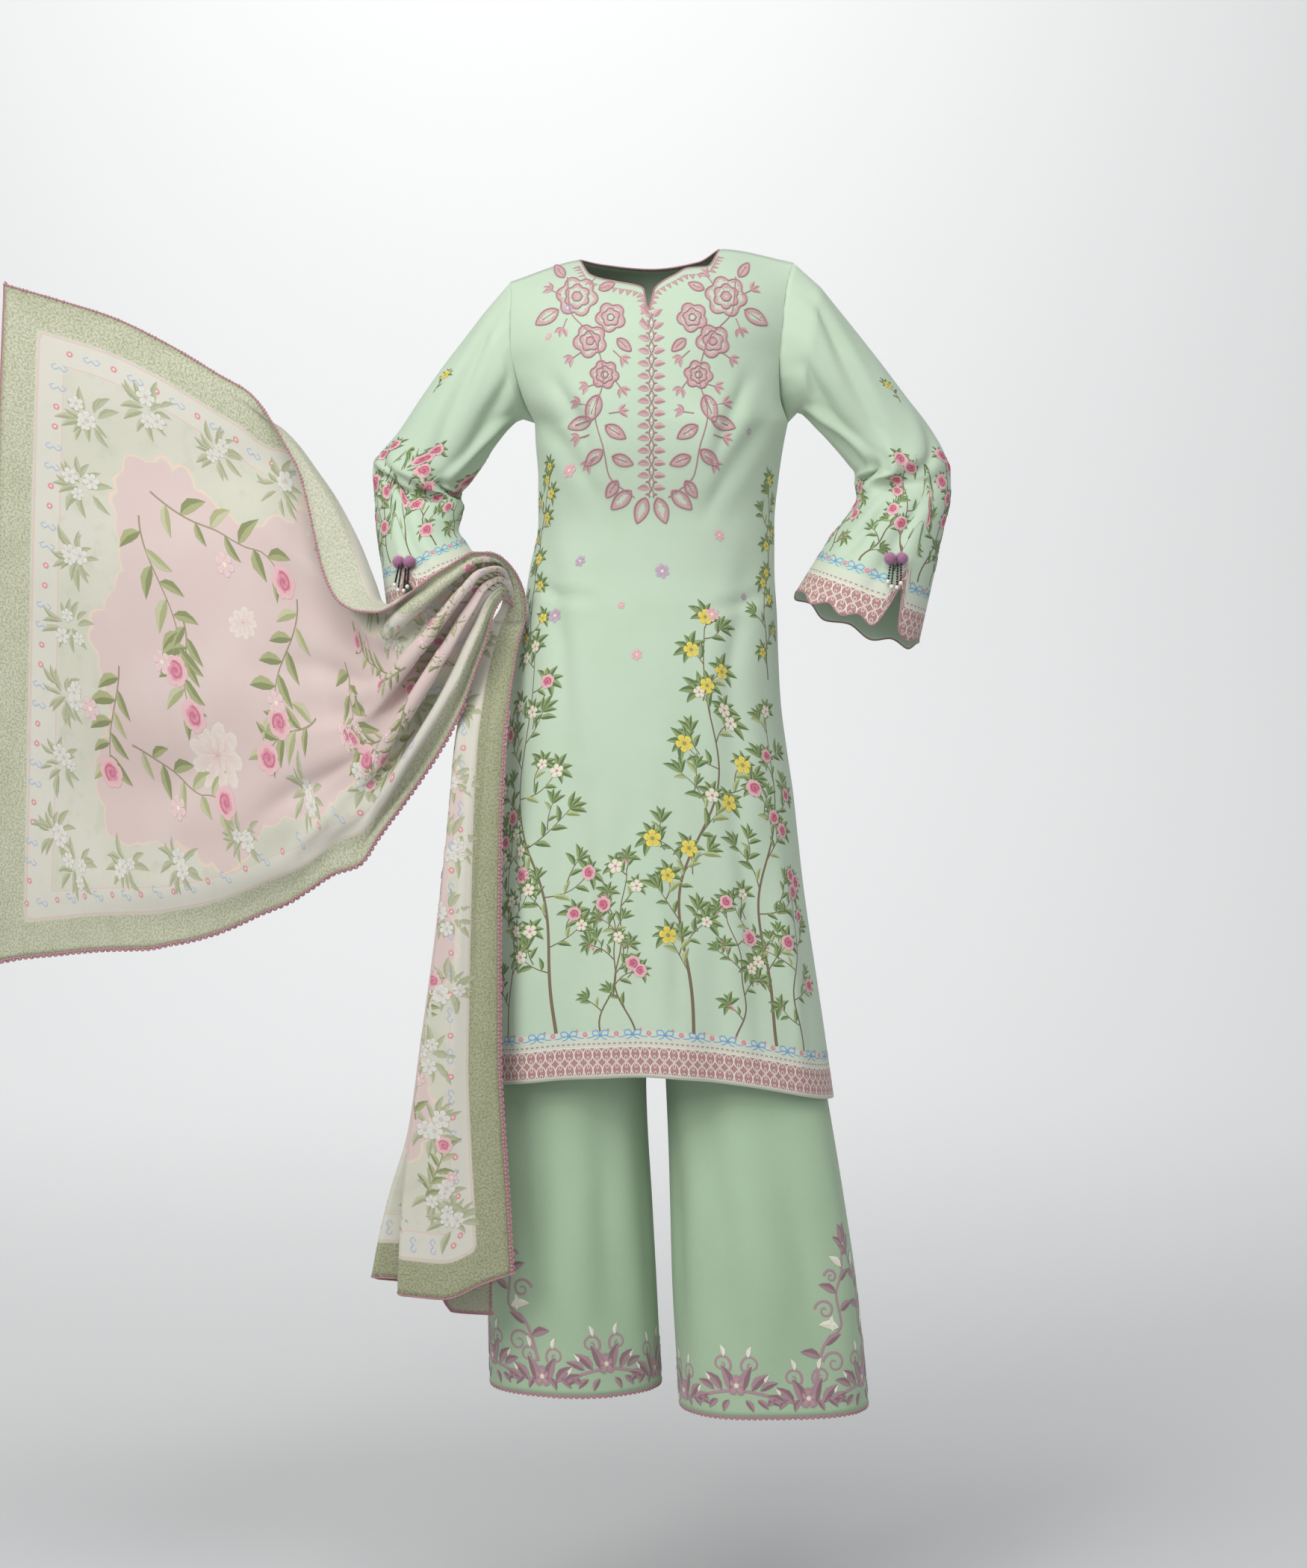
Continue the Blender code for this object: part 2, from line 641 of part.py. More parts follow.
def pompom_head(name, centres, radius, finish, collection):
    """Two round pompoms fused side by side."""
    rings = 12
    around = 10
    start = centres[0][0] - radius
    end = centres[1][0] + radius
    points = []
    for i in range(rings + 1):
        share = 0.5 - 0.5 * math.cos(math.pi * i / rings)
        x = start + (end - start) * share
        size = 0.35 * radius
        for centre in centres:
            reach = radius * radius - (x - centre[0]) ** 2
            size = max(size, math.sqrt(max(reach, 0.0)))
        if i in (0, rings):
            size = 0.4
        for k in range(around):
            angle = 2 * math.pi * k / around
            lean = (x - centres[0][0]) / (centres[1][0] - centres[0][0])
            y = centres[0][1] + (centres[1][1] - centres[0][1]) * lean + size * math.cos(angle)
            z = centres[0][2] + size * math.sin(angle)
            points.append((x, y, z))
    faces = ring_faces(rings + 1, around, True)
    faces.append(tuple(range(around)))
    faces.append(tuple(range(rings * around, (rings + 1) * around))[::-1])
    return mesh_object(name, points, faces, finish, collection)


def strand(name, root, tip, finish, tools):
    """Beaded strand with a small round end."""
    profile = ((0, 0.9), (0.75, 0.9), (0.8, 1.9), (0.9, 2.6), (0.97, 1.9), (1.0, 0.6))
    points = []
    for share, size in profile:
        for k in range(5):
            angle = 2 * math.pi * k / 5 + 0.3
            x = root[0] + (tip[0] - root[0]) * share + size * math.cos(angle)
            y = root[1] + (tip[1] - root[1]) * share + size * math.sin(angle)
            z = root[2] + (tip[2] - root[2]) * share
            points.append((x, y, z))
    faces = ring_faces(len(profile), 5, True)
    faces.append(tuple(range(5)))
    faces.append(tuple(range(5 * len(profile) - 5, 5 * len(profile)))[::-1])
    return mesh_object(name, points, faces, finish, tools)


def build_tassel(name, left_x, y, lean, z, swing, finish, collection, tools):
    """Pair of pompoms with strands; lean and swing bring the right one and the tips forward."""
    radius = 8.0
    centres = ((left_x, y, z), (left_x + 14.0, y - lean, z))
    y = y - 0.5 * lean
    head = pompom_head(name, centres, radius, finish, collection)
    roots = ((-1, 24, -1.5), (3, 30, -6), (9.5, 31, -4), (14, 26, -9))
    for k, (shift, long, lean) in enumerate(roots):
        root = (left_x + 2 + shift * 0.8, y + 1.2 * (-1) ** k, z - 3)
        tip = (left_x + shift - 1.5, y - swing + 1.2 * (-1) ** k, z - 3 - long)
        tool = strand(f"{name}_strand_{k}", root, tip, finish, tools)
        tool.hide_render = True
        join = head.modifiers.new(f"Strand {k}", "BOOLEAN")
        join.operation = "UNION"
        join.solver = "EXACT"
        join.object = tool
    return head


def clear_scene():
    """Remove what the file starts with."""
    for item in list(bpy.data.objects):
        bpy.data.objects.remove(item, do_unlink=True)


def build():
    """Make every named part."""
    clear_scene()
    suit = bpy.data.collections.new("three_piece_suit")
    tools = bpy.data.collections.new("cutters")
    bpy.context.scene.collection.children.link(suit)
    bpy.context.scene.collection.children.link(tools)
    lawn = material("lawn_green", GREEN, 0.8)
    deep = material("trouser_green", GREEN_DEEP, 0.8)
    print_cloth = material("scarf_print", SCARF, 0.8)
    thread = material("tassel_mauve", MAUVE, 0.8)
    build_panel("tunic_front", -1, FRONT_COLUMNS, lawn, suit)
    build_panel("tunic_back", 1, BACK_COLUMNS, lawn, suit)
    build_sleeve("sleeve_left", -1, lawn, suit)
    build_sleeve("sleeve_right", 1, lawn, suit)
    build_leg("trouser_leg_left", -1, deep, suit)
    build_leg("trouser_leg_right", 1, deep, suit)
    build_waistband(deep, suit)
    build_scarf(print_cloth, suit)
    build_tassel("tassel_left", -299.0, -72.8, 8.6, -372.0, 26.0, thread, suit, tools)
    build_tassel("tassel_right", 286.0, -72.4, -3.6, -368.0, 5.0, thread, suit, tools)


build()
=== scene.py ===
"""Looks of the three-piece lawn suit: fine cloth, prints, embroidery, trims, light and camera.

The cloth forms repeat the solids' own tables, in millimetres, and are cut finer here.
"""
import logging
import math
import random
from dataclasses import dataclass, field
from enum import Enum
from typing import Callable, Iterable, Optional, Sequence

import bpy
import numpy as np
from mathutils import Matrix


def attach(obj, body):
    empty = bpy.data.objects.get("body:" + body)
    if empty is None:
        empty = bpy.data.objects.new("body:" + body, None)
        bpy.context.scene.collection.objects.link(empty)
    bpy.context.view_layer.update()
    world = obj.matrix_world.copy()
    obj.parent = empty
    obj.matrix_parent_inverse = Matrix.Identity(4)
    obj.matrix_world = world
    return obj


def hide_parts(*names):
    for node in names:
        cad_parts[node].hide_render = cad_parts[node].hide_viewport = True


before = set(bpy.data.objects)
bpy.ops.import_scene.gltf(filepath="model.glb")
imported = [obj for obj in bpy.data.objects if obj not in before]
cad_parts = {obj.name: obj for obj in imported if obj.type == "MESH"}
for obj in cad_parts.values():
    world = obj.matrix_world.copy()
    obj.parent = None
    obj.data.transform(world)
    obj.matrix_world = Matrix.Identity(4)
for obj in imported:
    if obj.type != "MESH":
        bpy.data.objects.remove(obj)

LOG = logging.getLogger("lawn_suit")
Colour = tuple[float, float, float]
Place = tuple[float, float]
Table = Sequence[Sequence[float]]

MM = 0.001
CENTRE_X = 2.0
UNDERARM_Z = -205.0
LEG_CROTCH_Z = -790.0
ROLL_START = 0.88
ROLL_LENGTH = 16.0
CUFF_START = 11.5
CUFF_STEP = 40.0
SEAM_GAP = 0.3
SEAM_OVERLAP = 0.25
SPAN_STEPS = 4
TURN_STEPS = 4
SCARF_COLUMNS = 4 * SPAN_STEPS + 3 * TURN_STEPS

# height, left, right, front, back of the tunic below the underarm
BODY = (
    (-1020, -216, 223, -143, 126),
    (-923, -211, 209, -141, 126),
    (-759, -196, 185, -136, 126),
    (-705, -189, 179, -133, 125),
    (-650, -182, 173, -131, 124),
    (-596, -175, 165, -128, 121),
    (-541, -170, 158, -124, 116),
    (-487, -162, 155, -119, 107),
    (-433, -153, 153, -113, 95),
    (-379, -144, 150, -108, 84),
    (-325, -134, 150, -109, 82),
    (-271, -134, 155, -118, 89),
    (-230, -137, 161, -125, 95),
    (-205, -138, 166, -127, 98),
)
# share of the way from underarm to shoulder: left, right, front edge, back edge, front, back
YOKE = (
    (0.00, -138, 166, 0, 0, -127, 98),
    (0.16, -151, 156, -26, 34, -125, 99),
    (0.34, -160, 154, -41, 51, -119, 97),
    (0.53, -166, 157, -44, 57, -106, 93),
    (0.76, -166, 161, -35, 47, -76, 81),
    (0.88, -165, 165, -22, 30, -49, 62),
    (1.00, -167, 172, 0, 0, 0, 0),
)
# across, height of the shoulder line
SHOULDER = ((-167, -36), (-85, -10), (0, -2), (84, 3), (172, -13))
# across, height of the front neck edge with its notch
FRONT_NECK = (
    (-84, -10), (-72, -30), (-58, -36), (-40, -40), (-8, -48), (-2, -77),
    (6, -49), (17, -39), (31, -31), (45, -23), (69, -21), (84, 3),
)
BACK_NECK = ((-84, -10), (-60, -14), (0, -18), (60, -10), (84, 3))
FRONT_HEM = ((-216, -1000), (-100, -985), (0, -980), (110, -992), (223, -1019))
BACK_HEM = ((-216, -1004), (0, -992), (223, -1016))
# shares of the yoke's height where the armhole has its points
YOKE_ROWS = (0.07, 0.16, 0.28, 0.41, 0.55, 0.69, 0.81, 0.90, 0.96, 1)

# outer across, outer height, inner across, inner height, middle depth, half depth
SLEEVE_LEFT = (
    (-200, -74, -153, -200, 5, 55),
    (-224, -105, -161, -203, 8, 55),
    (-249, -137, -172, -212, 10, 54),
    (-277, -176, -187, -231, 14, 53),
    (-305, -217, -203, -257, 20, 54),
    (-325, -240, -219, -278, 24, 57),
    (-334, -252, -228, -288, 25, 58),
    (-335, -268, -229, -296, 22, 51),
    (-333, -290, -225, -306, 16, 51),
    (-331, -318, -229, -320, 8, 54),
    (-328, -345, -231, -334, 0, 57),
    (-322, -380, -219, -352, -14, 60),
    (-317, -414, -209, -367, -27, 63),
)
SLEEVE_RIGHT = (
    (205, -42, 178, -192, 5, 56),
    (228, -70, 184, -194, 8, 56),
    (254, -102, 192, -200, 10, 55),
    (282, -137, 204, -213, 14, 54),
    (312, -176, 220, -230, 20, 55),
    (337, -208, 239, -252, 24, 57),
    (355, -238, 249, -266, 25, 59),
    (364, -262, 249, -276, 22, 52),
    (364, -284, 251, -294, 17, 52),
    (361, -308, 243, -311, 12, 56),
    (353, -340, 222, -338, 6, 61),
    (345, -378, 203, -366, 0, 66),
    (331, -440, 189, -388, -7, 69),
)
# turn around the hem, drop of the hem below the last ring
HEM_RIGHT = (
    (0.00, 10), (0.055, 6), (0.105, 13), (0.144, 7), (0.170, -38), (0.223, 11), (0.260, 3),
    (0.300, 12), (0.340, 3), (0.385, 12), (0.43, 2), (0.50, 4), (0.56, 14), (0.62, 11),
    (0.68, 24), (0.74, 18), (0.80, 27), (0.86, 17), (0.92, 22), (0.97, 12),
)
HEM_LEFT = (
    (0.00, 2), (0.055, 6), (0.105, 2), (0.144, 5), (0.170, -32), (0.223, 7), (0.260, 1),
    (0.300, 8), (0.340, 1), (0.385, 8), (0.43, 0), (0.50, 4), (0.56, 9), (0.62, 4),
    (0.68, 14), (0.74, 8), (0.80, 14), (0.86, 6), (0.92, 9), (0.97, 3),
)

# height, inner, outer, middle depth, half depth of each trouser leg
LEG_LEFT = (
    (-1369, 14, -195, 0, 98),
    (-1253, 7, -198, 0, 99),
    (-1143, 1, -202, 0, 97),
    (-1002, -5, -202, 0, 93),
    (-900, -5, -194, 0, 94),
    (-830, -2, -184, 2, 98),
    (-790, 1, -176, 3, 100),
)
LEG_RIGHT = (
    (-1390, 36, 265, -30, 98),
    (-1253, 29, 252, -26, 100),
    (-1143, 26, 236, -20, 98),
    (-1002, 20, 212, -8, 92),
    (-900, 12, 194, -4, 94),
    (-830, 6, 182, 1, 98),
    (-790, 3, 174, 5.5, 101.1),
)
# height, left, right, front, back of the trouser seat
SEAT = (
    (-790, -176, 174, -100, 105),
    (-700, -168, 165, -104, 106),
    (-600, -156, 151, -102, 102),
    (-520, -145, 143, -96, 90),
    (-440, -134, 136, -90, 78),
    (-420, -132, 134, -88, 75),
)
WAIST = ((-419.7, -132, 134, -88, 75), (-400, -129, 132, -86, 72), (-380, -128, 131, -85, 70))

# lower edge across, depth, height; upper fold across, depth, height; upper edge across, depth, height
SCARF_FLY = (
    (-806, 20, -861, -779, 15, -38, -779, 15, -38),
    (-764, 12, -853, -713, 22, -57, -713, 22, -57),
    (-722, 2, -848, -650, 24, -77, -650, 24, -77),
    (-681, -8, -843, -582, 18, -110, -582, 18, -110),
    (-642, -16, -840, -523, 8, -145, -523, 8, -145),
    (-609, -24, -838, -483, 0, -172, -481, -3, -170),
    (-579, -30, -832, -453, -8, -200, -456, -20, -201),
    (-551, -36, -826, -425, -16, -230, -435, -34, -235),
    (-521, -42, -817, -401, -24, -266, -419, -44, -265),
    (-492, -48, -805, -380, -32, -297, -409, -54, -299),
    (-464, -54, -792, -361, -42, -329, -400, -66, -337),
    (-437, -60, -781, -342, -54, -365, -390, -80, -376),
    (-409, -66, -764, -327, -68, -398, -380, -94, -401),
    (-379, -72, -744, -317, -84, -419, -366, -108, -420),
    (-347, -80, -732, -309, -100, -422, -343, -120, -430),
    (-323, -88, -698, -303, -114, -420, -322, -130, -431),
    (-293, -96, -658, -296, -124, -416, -303, -137, -424),
    (-264, -102, -617, -283, -132, -404, -285, -140, -411),
    (-239, -107, -577, -268, -136, -394, -269, -141, -399),
    (-219, -110, -537, -253, -137, -383, -254, -140, -388),
)
SCARF_ARM = (
    (-219, -110, -537, -253, -137, -383, -254, -140, -388),
    (-205, -112, -497, -238, -137, -374, -239, -140, -379),
    (-194, -112, -467, -222, -134, -364, -223, -137, -369),
    (-187, -110, -440, -206, -129, -356, -207, -132, -361),
    (-181, -106, -424, -191, -121, -356, -192, -124, -361),
    (-174, -100, -415, -175, -110, -359, -176, -113, -364),
    (-170, -92, -416, -160, -97, -363, -161, -100, -368),
    (-170, -78, -424, -149, -80, -377, -148, -83, -379),
    (-177, -68, -434, -146, -69, -402, -144, -72, -403),
    (-186, -62, -446, -152, -62, -443, -149, -64, -443),
)
# height, then across for edge, front fold, hidden turn, back fold, back edge, depth of front layer
SCARF_FALL = (
    (-443.5, -149, -189, -160, -190, -148.6, -62.0),
    (-475, -158, -200, -168, -202, -161, -74),
    (-528, -166, -219, -180, -221, -170, -90),
    (-589, -173, -230, -191, -232, -178, -108),
    (-695, -177, -240, -199, -241, -181, -128),
    (-819, -178, -252, -206, -255, -183, -140),
    (-943, -178, -269, -214, -272, -186, -146),
    (-1047, -173, -283, -221, -287, -188, -150),
    (-1121, -168, -292, -230, -309, -189, -152),
    (-1179, -165, -296, -236, -323, -189, -153),
    (-1222, -162, -298, -239, -331, -189, -154),
)
LAYER_STEP = ((-443.5, 6.5), (-528, 8.5), (-695, 11.0), (-1222, 13.0))
# share across from the edge: drop of the hem
FALL_HEM = (
    (0.0, -10), (0.036, 0), (0.09, 19), (0.14, 16), (0.21, 14), (0.29, 10), (0.43, 4),
    (0.57, 3), (0.71, -1), (0.78, -1), (0.86, 3), (0.93, 12), (0.95, 42), (1.0, 46),
)


class Side(Enum):
    """Side of the picture."""

    LEFT = -1
    RIGHT = 1


class Curve:
    """Monotone cubic through (place, value) rows."""

    def __init__(self, rows: Iterable[Place]) -> None:
        """Sort the rows and find the slopes.

        Args:
            rows: Places and their values.
        """
        pairs = np.array(sorted((float(a), float(b)) for a, b in rows))
        self.xs, self.ys = pairs[:, 0], pairs[:, 1]
        slopes = np.diff(self.ys) / np.diff(self.xs)
        before, after = slopes[:-1], slopes[1:]
        turning = before * after <= 0
        total = np.where(turning, 1.0, before + after)
        inner = np.where(turning, 0.0, 2 * before * after / total)
        self.slopes = np.concatenate([slopes[:1], inner, slopes[-1:]])

    def __call__(self, at: np.ndarray | float) -> np.ndarray:
        """Values at the given places, held level past both ends."""
        at = np.clip(np.asarray(at, dtype=float), self.xs[0], self.xs[-1])
        k = np.clip(np.searchsorted(self.xs, at) - 1, 0, len(self.xs) - 2)
        step = self.xs[k + 1] - self.xs[k]
        t = (at - self.xs[k]) / step
        low = self.ys[k] * (1 + 2 * t) * (1 - t) ** 2 + step * self.slopes[k] * t * (1 - t) ** 2
        high = self.ys[k + 1] * t * t * (3 - 2 * t) - step * self.slopes[k + 1] * t * t * (1 - t)
        return low + high


def columns(table: Table) -> list[Curve]:
    """Curves of the columns of a table over its first column."""
    return [Curve((row[0], row[k]) for row in table) for k in range(len(table[0]))]


def ordered(table: Table) -> list[Curve]:
    """Curves of the columns of a table over the share 0 to 1 of its rows."""
    last = len(table) - 1
    return [Curve((i / last, row[k]) for i, row in enumerate(table)) for k in range(len(table[0]))]


def ease(value: np.ndarray | float, low: float, high: float) -> np.ndarray:
    """Smooth step from 0 at low to 1 at high."""
    t = np.clip((np.asarray(value, dtype=float) - low) / (high - low), 0.0, 1.0)
    return t * t * (3 - 2 * t)


def dome(share: np.ndarray, power: float) -> np.ndarray:
    """Height of a rounded section at a share of its half width."""
    return np.maximum(0.0, 1 - np.abs(share) ** power) ** (1 / power)


def swell(x: np.ndarray, z: np.ndarray, at_x: float, at_z: float, wide: float, tall: float) -> np.ndarray:
    """Soft round swelling."""
    return np.exp(-((x - at_x) / wide) ** 2 - ((z - at_z) / tall) ** 2)


def stack(x: np.ndarray, y: np.ndarray, z: np.ndarray) -> np.ndarray:
    """Three coordinate arrays as one array of points."""
    return np.stack(np.broadcast_arrays(x, y, z), axis=-1)


@dataclass
class TunicForm:
    """Form of the worn tunic; side -1 is the front, 1 the back."""

    body: list[Curve] = field(default_factory=lambda: columns(BODY))
    yoke: list[Curve] = field(default_factory=lambda: columns(YOKE))
    shoulder: Curve = field(default_factory=lambda: Curve(SHOULDER))
    necks: dict[int, Curve] = field(default_factory=lambda: {-1: Curve(FRONT_NECK), 1: Curve(BACK_NECK)})
    hems: dict[int, Curve] = field(default_factory=lambda: {-1: Curve(FRONT_HEM), 1: Curve(BACK_HEM)})

    def below(self, side: int, share: np.ndarray, z: np.ndarray) -> np.ndarray:
        """Points below the underarm at a share of the half width and a height."""
        left, right = self.body[1](z), self.body[2](z)
        deep = self.body[3 if side < 0 else 4](z)
        edge = side * (0.75 + 11 * ease(-z, 520, 1010))
        x = (left + right) / 2 + (right - left) / 2 * share
        y = edge + (deep - edge) * dome(share, 2.3)
        wave = 5 * np.sin(7.5 * share + 0.9) + 3 * np.sin(15 * share - 0.6)
        y = y + side * wave * ease(-z, 480, 1000) * (1 - share**4)
        return stack(x, y, z)

    def above(self, side: int, share: np.ndarray, rise: np.ndarray, top: np.ndarray) -> np.ndarray:
        """Points above the underarm; top is the height where a column ends."""
        left, right = self.yoke[1](rise), self.yoke[2](rise)
        x = (left + right) / 2 + (right - left) / 2 * share
        z = UNDERARM_Z + (top - UNDERARM_Z) * rise
        part = (z - UNDERARM_Z) / (self.shoulder(x) - UNDERARM_Z)
        edge = self.yoke[3 if side < 0 else 4](part)
        deep = self.yoke[5 if side < 0 else 6](part)
        edge = edge + side * 0.75 * (1 - ease(rise, 0.0, 0.3)) + side * 0.75 * ease(rise, 0.8, 1.0)
        deep = deep + side * 0.75 * ease(rise, 0.8, 1.0)
        flat = 1 - np.abs(share) ** 2.6
        curved = dome(share, 2.3)
        y = edge + (deep - edge) * (curved + (flat - curved) * ease(rise, 0.0, 0.45))
        return stack(x, y, z)

    def point(self, side: int, share: np.ndarray, row: np.ndarray) -> np.ndarray:
        """Points of a panel.

        Args:
            side: -1 for the front, 1 for the back.
            share: Share of the half width, -1 to 1.
            row: 0 to 1 from hem to underarm, 1 to 2 on to the shoulder or the neck edge.

        Returns:
            Points in millimetres.
        """
        share, row = np.broadcast_arrays(np.asarray(share, float), np.asarray(row, float))
        left, right = BODY[0][1], BODY[0][2]
        hem = self.hems[side]((left + right) / 2 + (right - left) / 2 * share)
        low = self.below(side, share, hem + (UNDERARM_Z - hem) * np.minimum(row, 1))
        left, right = YOKE[-1][1], YOKE[-1][2]
        across = (left + right) / 2 + (right - left) / 2 * share
        in_neck = np.abs(across) < 84
        top = np.where(in_neck, self.necks[side](across), self.shoulder(across))
        high = self.above(side, share, np.clip(row - 1, 0, 1), top)
        points = np.where((row <= 1)[..., None], low, high)
        if side < 0:
            x, z = points[..., 0], points[..., 2]
            points[..., 1] -= 8 * swell(x, z, -72, -232, 46, 60) + 8 * swell(x, z, 78, -228, 46, 60)
        return points

    def armhole(self, side: int, turn: np.ndarray) -> np.ndarray:
        """Points of an armhole; turn 0 shoulder, 0.5 underarm; side -1 left, 1 right."""
        turn = np.asarray(turn, float) % 1.0
        front = turn <= 0.5
        rise = np.where(front, 1 - 2 * turn, 2 * turn - 1)
        rise = 0.5 - 0.5 * np.cos(np.pi * rise)
        rows = np.array((0.0,) + YOKE_ROWS)
        k = np.clip(np.searchsorted(rows, rise) - 1, 0, len(rows) - 2)
        edges = [self.point(face, np.full(len(rows), float(side)), 1 + rows) for face in (-1, 1)]
        run = ((rise - rows[k]) / (rows[k + 1] - rows[k]))[..., None]
        ends = [edge[k] + (edge[k + 1] - edge[k]) * run for edge in edges]
        return np.where(front[..., None], ends[0], ends[1])


@dataclass
class SleeveForm:
    """Form of a sleeve; side -1 is the left of the picture, 1 the right."""

    side: int
    tunic: TunicForm

    def __post_init__(self) -> None:
        """Keep the curves of the rings and the hem."""
        table = SLEEVE_LEFT if self.side < 0 else SLEEVE_RIGHT
        hem = HEM_LEFT if self.side < 0 else HEM_RIGHT
        self.count = len(table)
        self.rings = ordered(table)
        self.hem = Curve(list(hem) + [(1.0, hem[0][1])])

    def ring(self, at: np.ndarray, turn: np.ndarray) -> np.ndarray:
        """Points on the rings; at counts rings from 0."""
        outer_x, outer_z, inner_x, inner_z, middle, half = [c(at / (self.count - 1)) for c in self.rings]
        swing = np.cos(2 * np.pi * turn)
        x = (outer_x + inner_x) / 2 + (outer_x - inner_x) / 2 * swing
        z = (outer_z + inner_z) / 2 + (outer_z - inner_z) / 2 * swing
        return stack(x, middle - half * np.sin(2 * np.pi * turn), z)

    def reach(self, at: np.ndarray, turn: np.ndarray) -> np.ndarray:
        """Place along the sleeve with the scalloped hem taken in, counted in rings."""
        last = self.count
        share = (at - CUFF_START) / (last + 1 - CUFF_START)
        length = last + 0.5 - CUFF_START + self.hem(turn) / CUFF_STEP
        return np.where(at > CUFF_START, CUFF_START + share * length, at)

    def point(self, at: np.ndarray, turn: np.ndarray) -> np.ndarray:
        """Points of the sleeve.

        Args:
            at: 0 armhole, then the rings, one past the last is the hem.
            turn: 0 outer, 0.25 front, 0.5 inner, 0.75 back.

        Returns:
            Points in millimetres.
        """
        at, turn = np.broadcast_arrays(np.asarray(at, float), np.asarray(turn, float))
        turn = turn % 1.0
        start = self.tunic.armhole(self.side, turn)
        start[..., 0] -= self.side * SEAM_OVERLAP
        first = self.ring(np.zeros_like(turn), turn)
        top = start + (first - start) * np.clip(at, 0, 1)[..., None]
        last = self.count
        there = self.reach(at, turn)
        body = self.ring(np.clip(there, 1, last) - 1, turn)
        run = self.ring(np.full_like(turn, last - 1.0), turn) - self.ring(np.full_like(turn, last - 1.5), turn)
        run /= np.linalg.norm(run, axis=-1, keepdims=True)
        body = body + run * (CUFF_STEP * np.maximum(there - last, 0))[..., None]
        crease = np.exp(-((there - 8.2 - 0.8 * np.sin(2 * np.pi * turn)) / 0.7) ** 2)
        body[..., 1] += 5 * crease * np.sin(2 * np.pi * turn)
        return np.where((at < 1)[..., None], top, body)


@dataclass
class LegForm:
    """Form of a trouser leg; side -1 is the left of the picture, 1 the right."""

    side: int

    def __post_init__(self) -> None:
        """Keep the curves of the leg and the seat."""
        self.table = LEG_LEFT if self.side < 0 else LEG_RIGHT
        self.leg = columns(self.table)
        self.seat = columns(SEAT)

    def point(self, psi: np.ndarray, z: np.ndarray) -> np.ndarray:
        """Points of the leg; psi 0 inner, 0.25 front, 0.5 outer, 0.75 back."""
        psi, z = np.broadcast_arrays(np.asarray(psi, float), np.asarray(z, float))
        low = np.clip(z, self.table[0][0], LEG_CROTCH_Z)
        inner, outer, middle, half = [self.leg[k](low) for k in range(1, 5)]
        angle = 2 * np.pi * psi
        swing, sway = np.cos(angle), np.sin(angle)
        x = (inner + outer) / 2 + (inner - outer) / 2 * np.sign(swing) * np.abs(swing) ** 0.9
        y = middle - half * np.sign(sway) * np.abs(sway) ** 0.9
        y = y + 5 * ease(-z, 900, 1390) * sway * np.cos(3 * angle + self.side)
        edge = self.seat[1 if self.side < 0 else 2](z)
        mid = CENTRE_X + self.side * (SEAM_GAP * 0.5 + 0.35)
        bend = np.pi * psi
        seat_x = mid + (edge - mid) * np.abs(np.sin(bend)) ** 0.85
        wide = np.cos(bend)
        seat_y = np.where(wide > 0, self.seat[3](z), self.seat[4](z)) * np.abs(wide) ** 0.85
        blend = np.where(z > LEG_CROTCH_Z, ease(z, LEG_CROTCH_Z, -680) ** 0.6, 0.0)
        return stack(x + (seat_x - x) * blend, y + (seat_y - y) * blend, z)


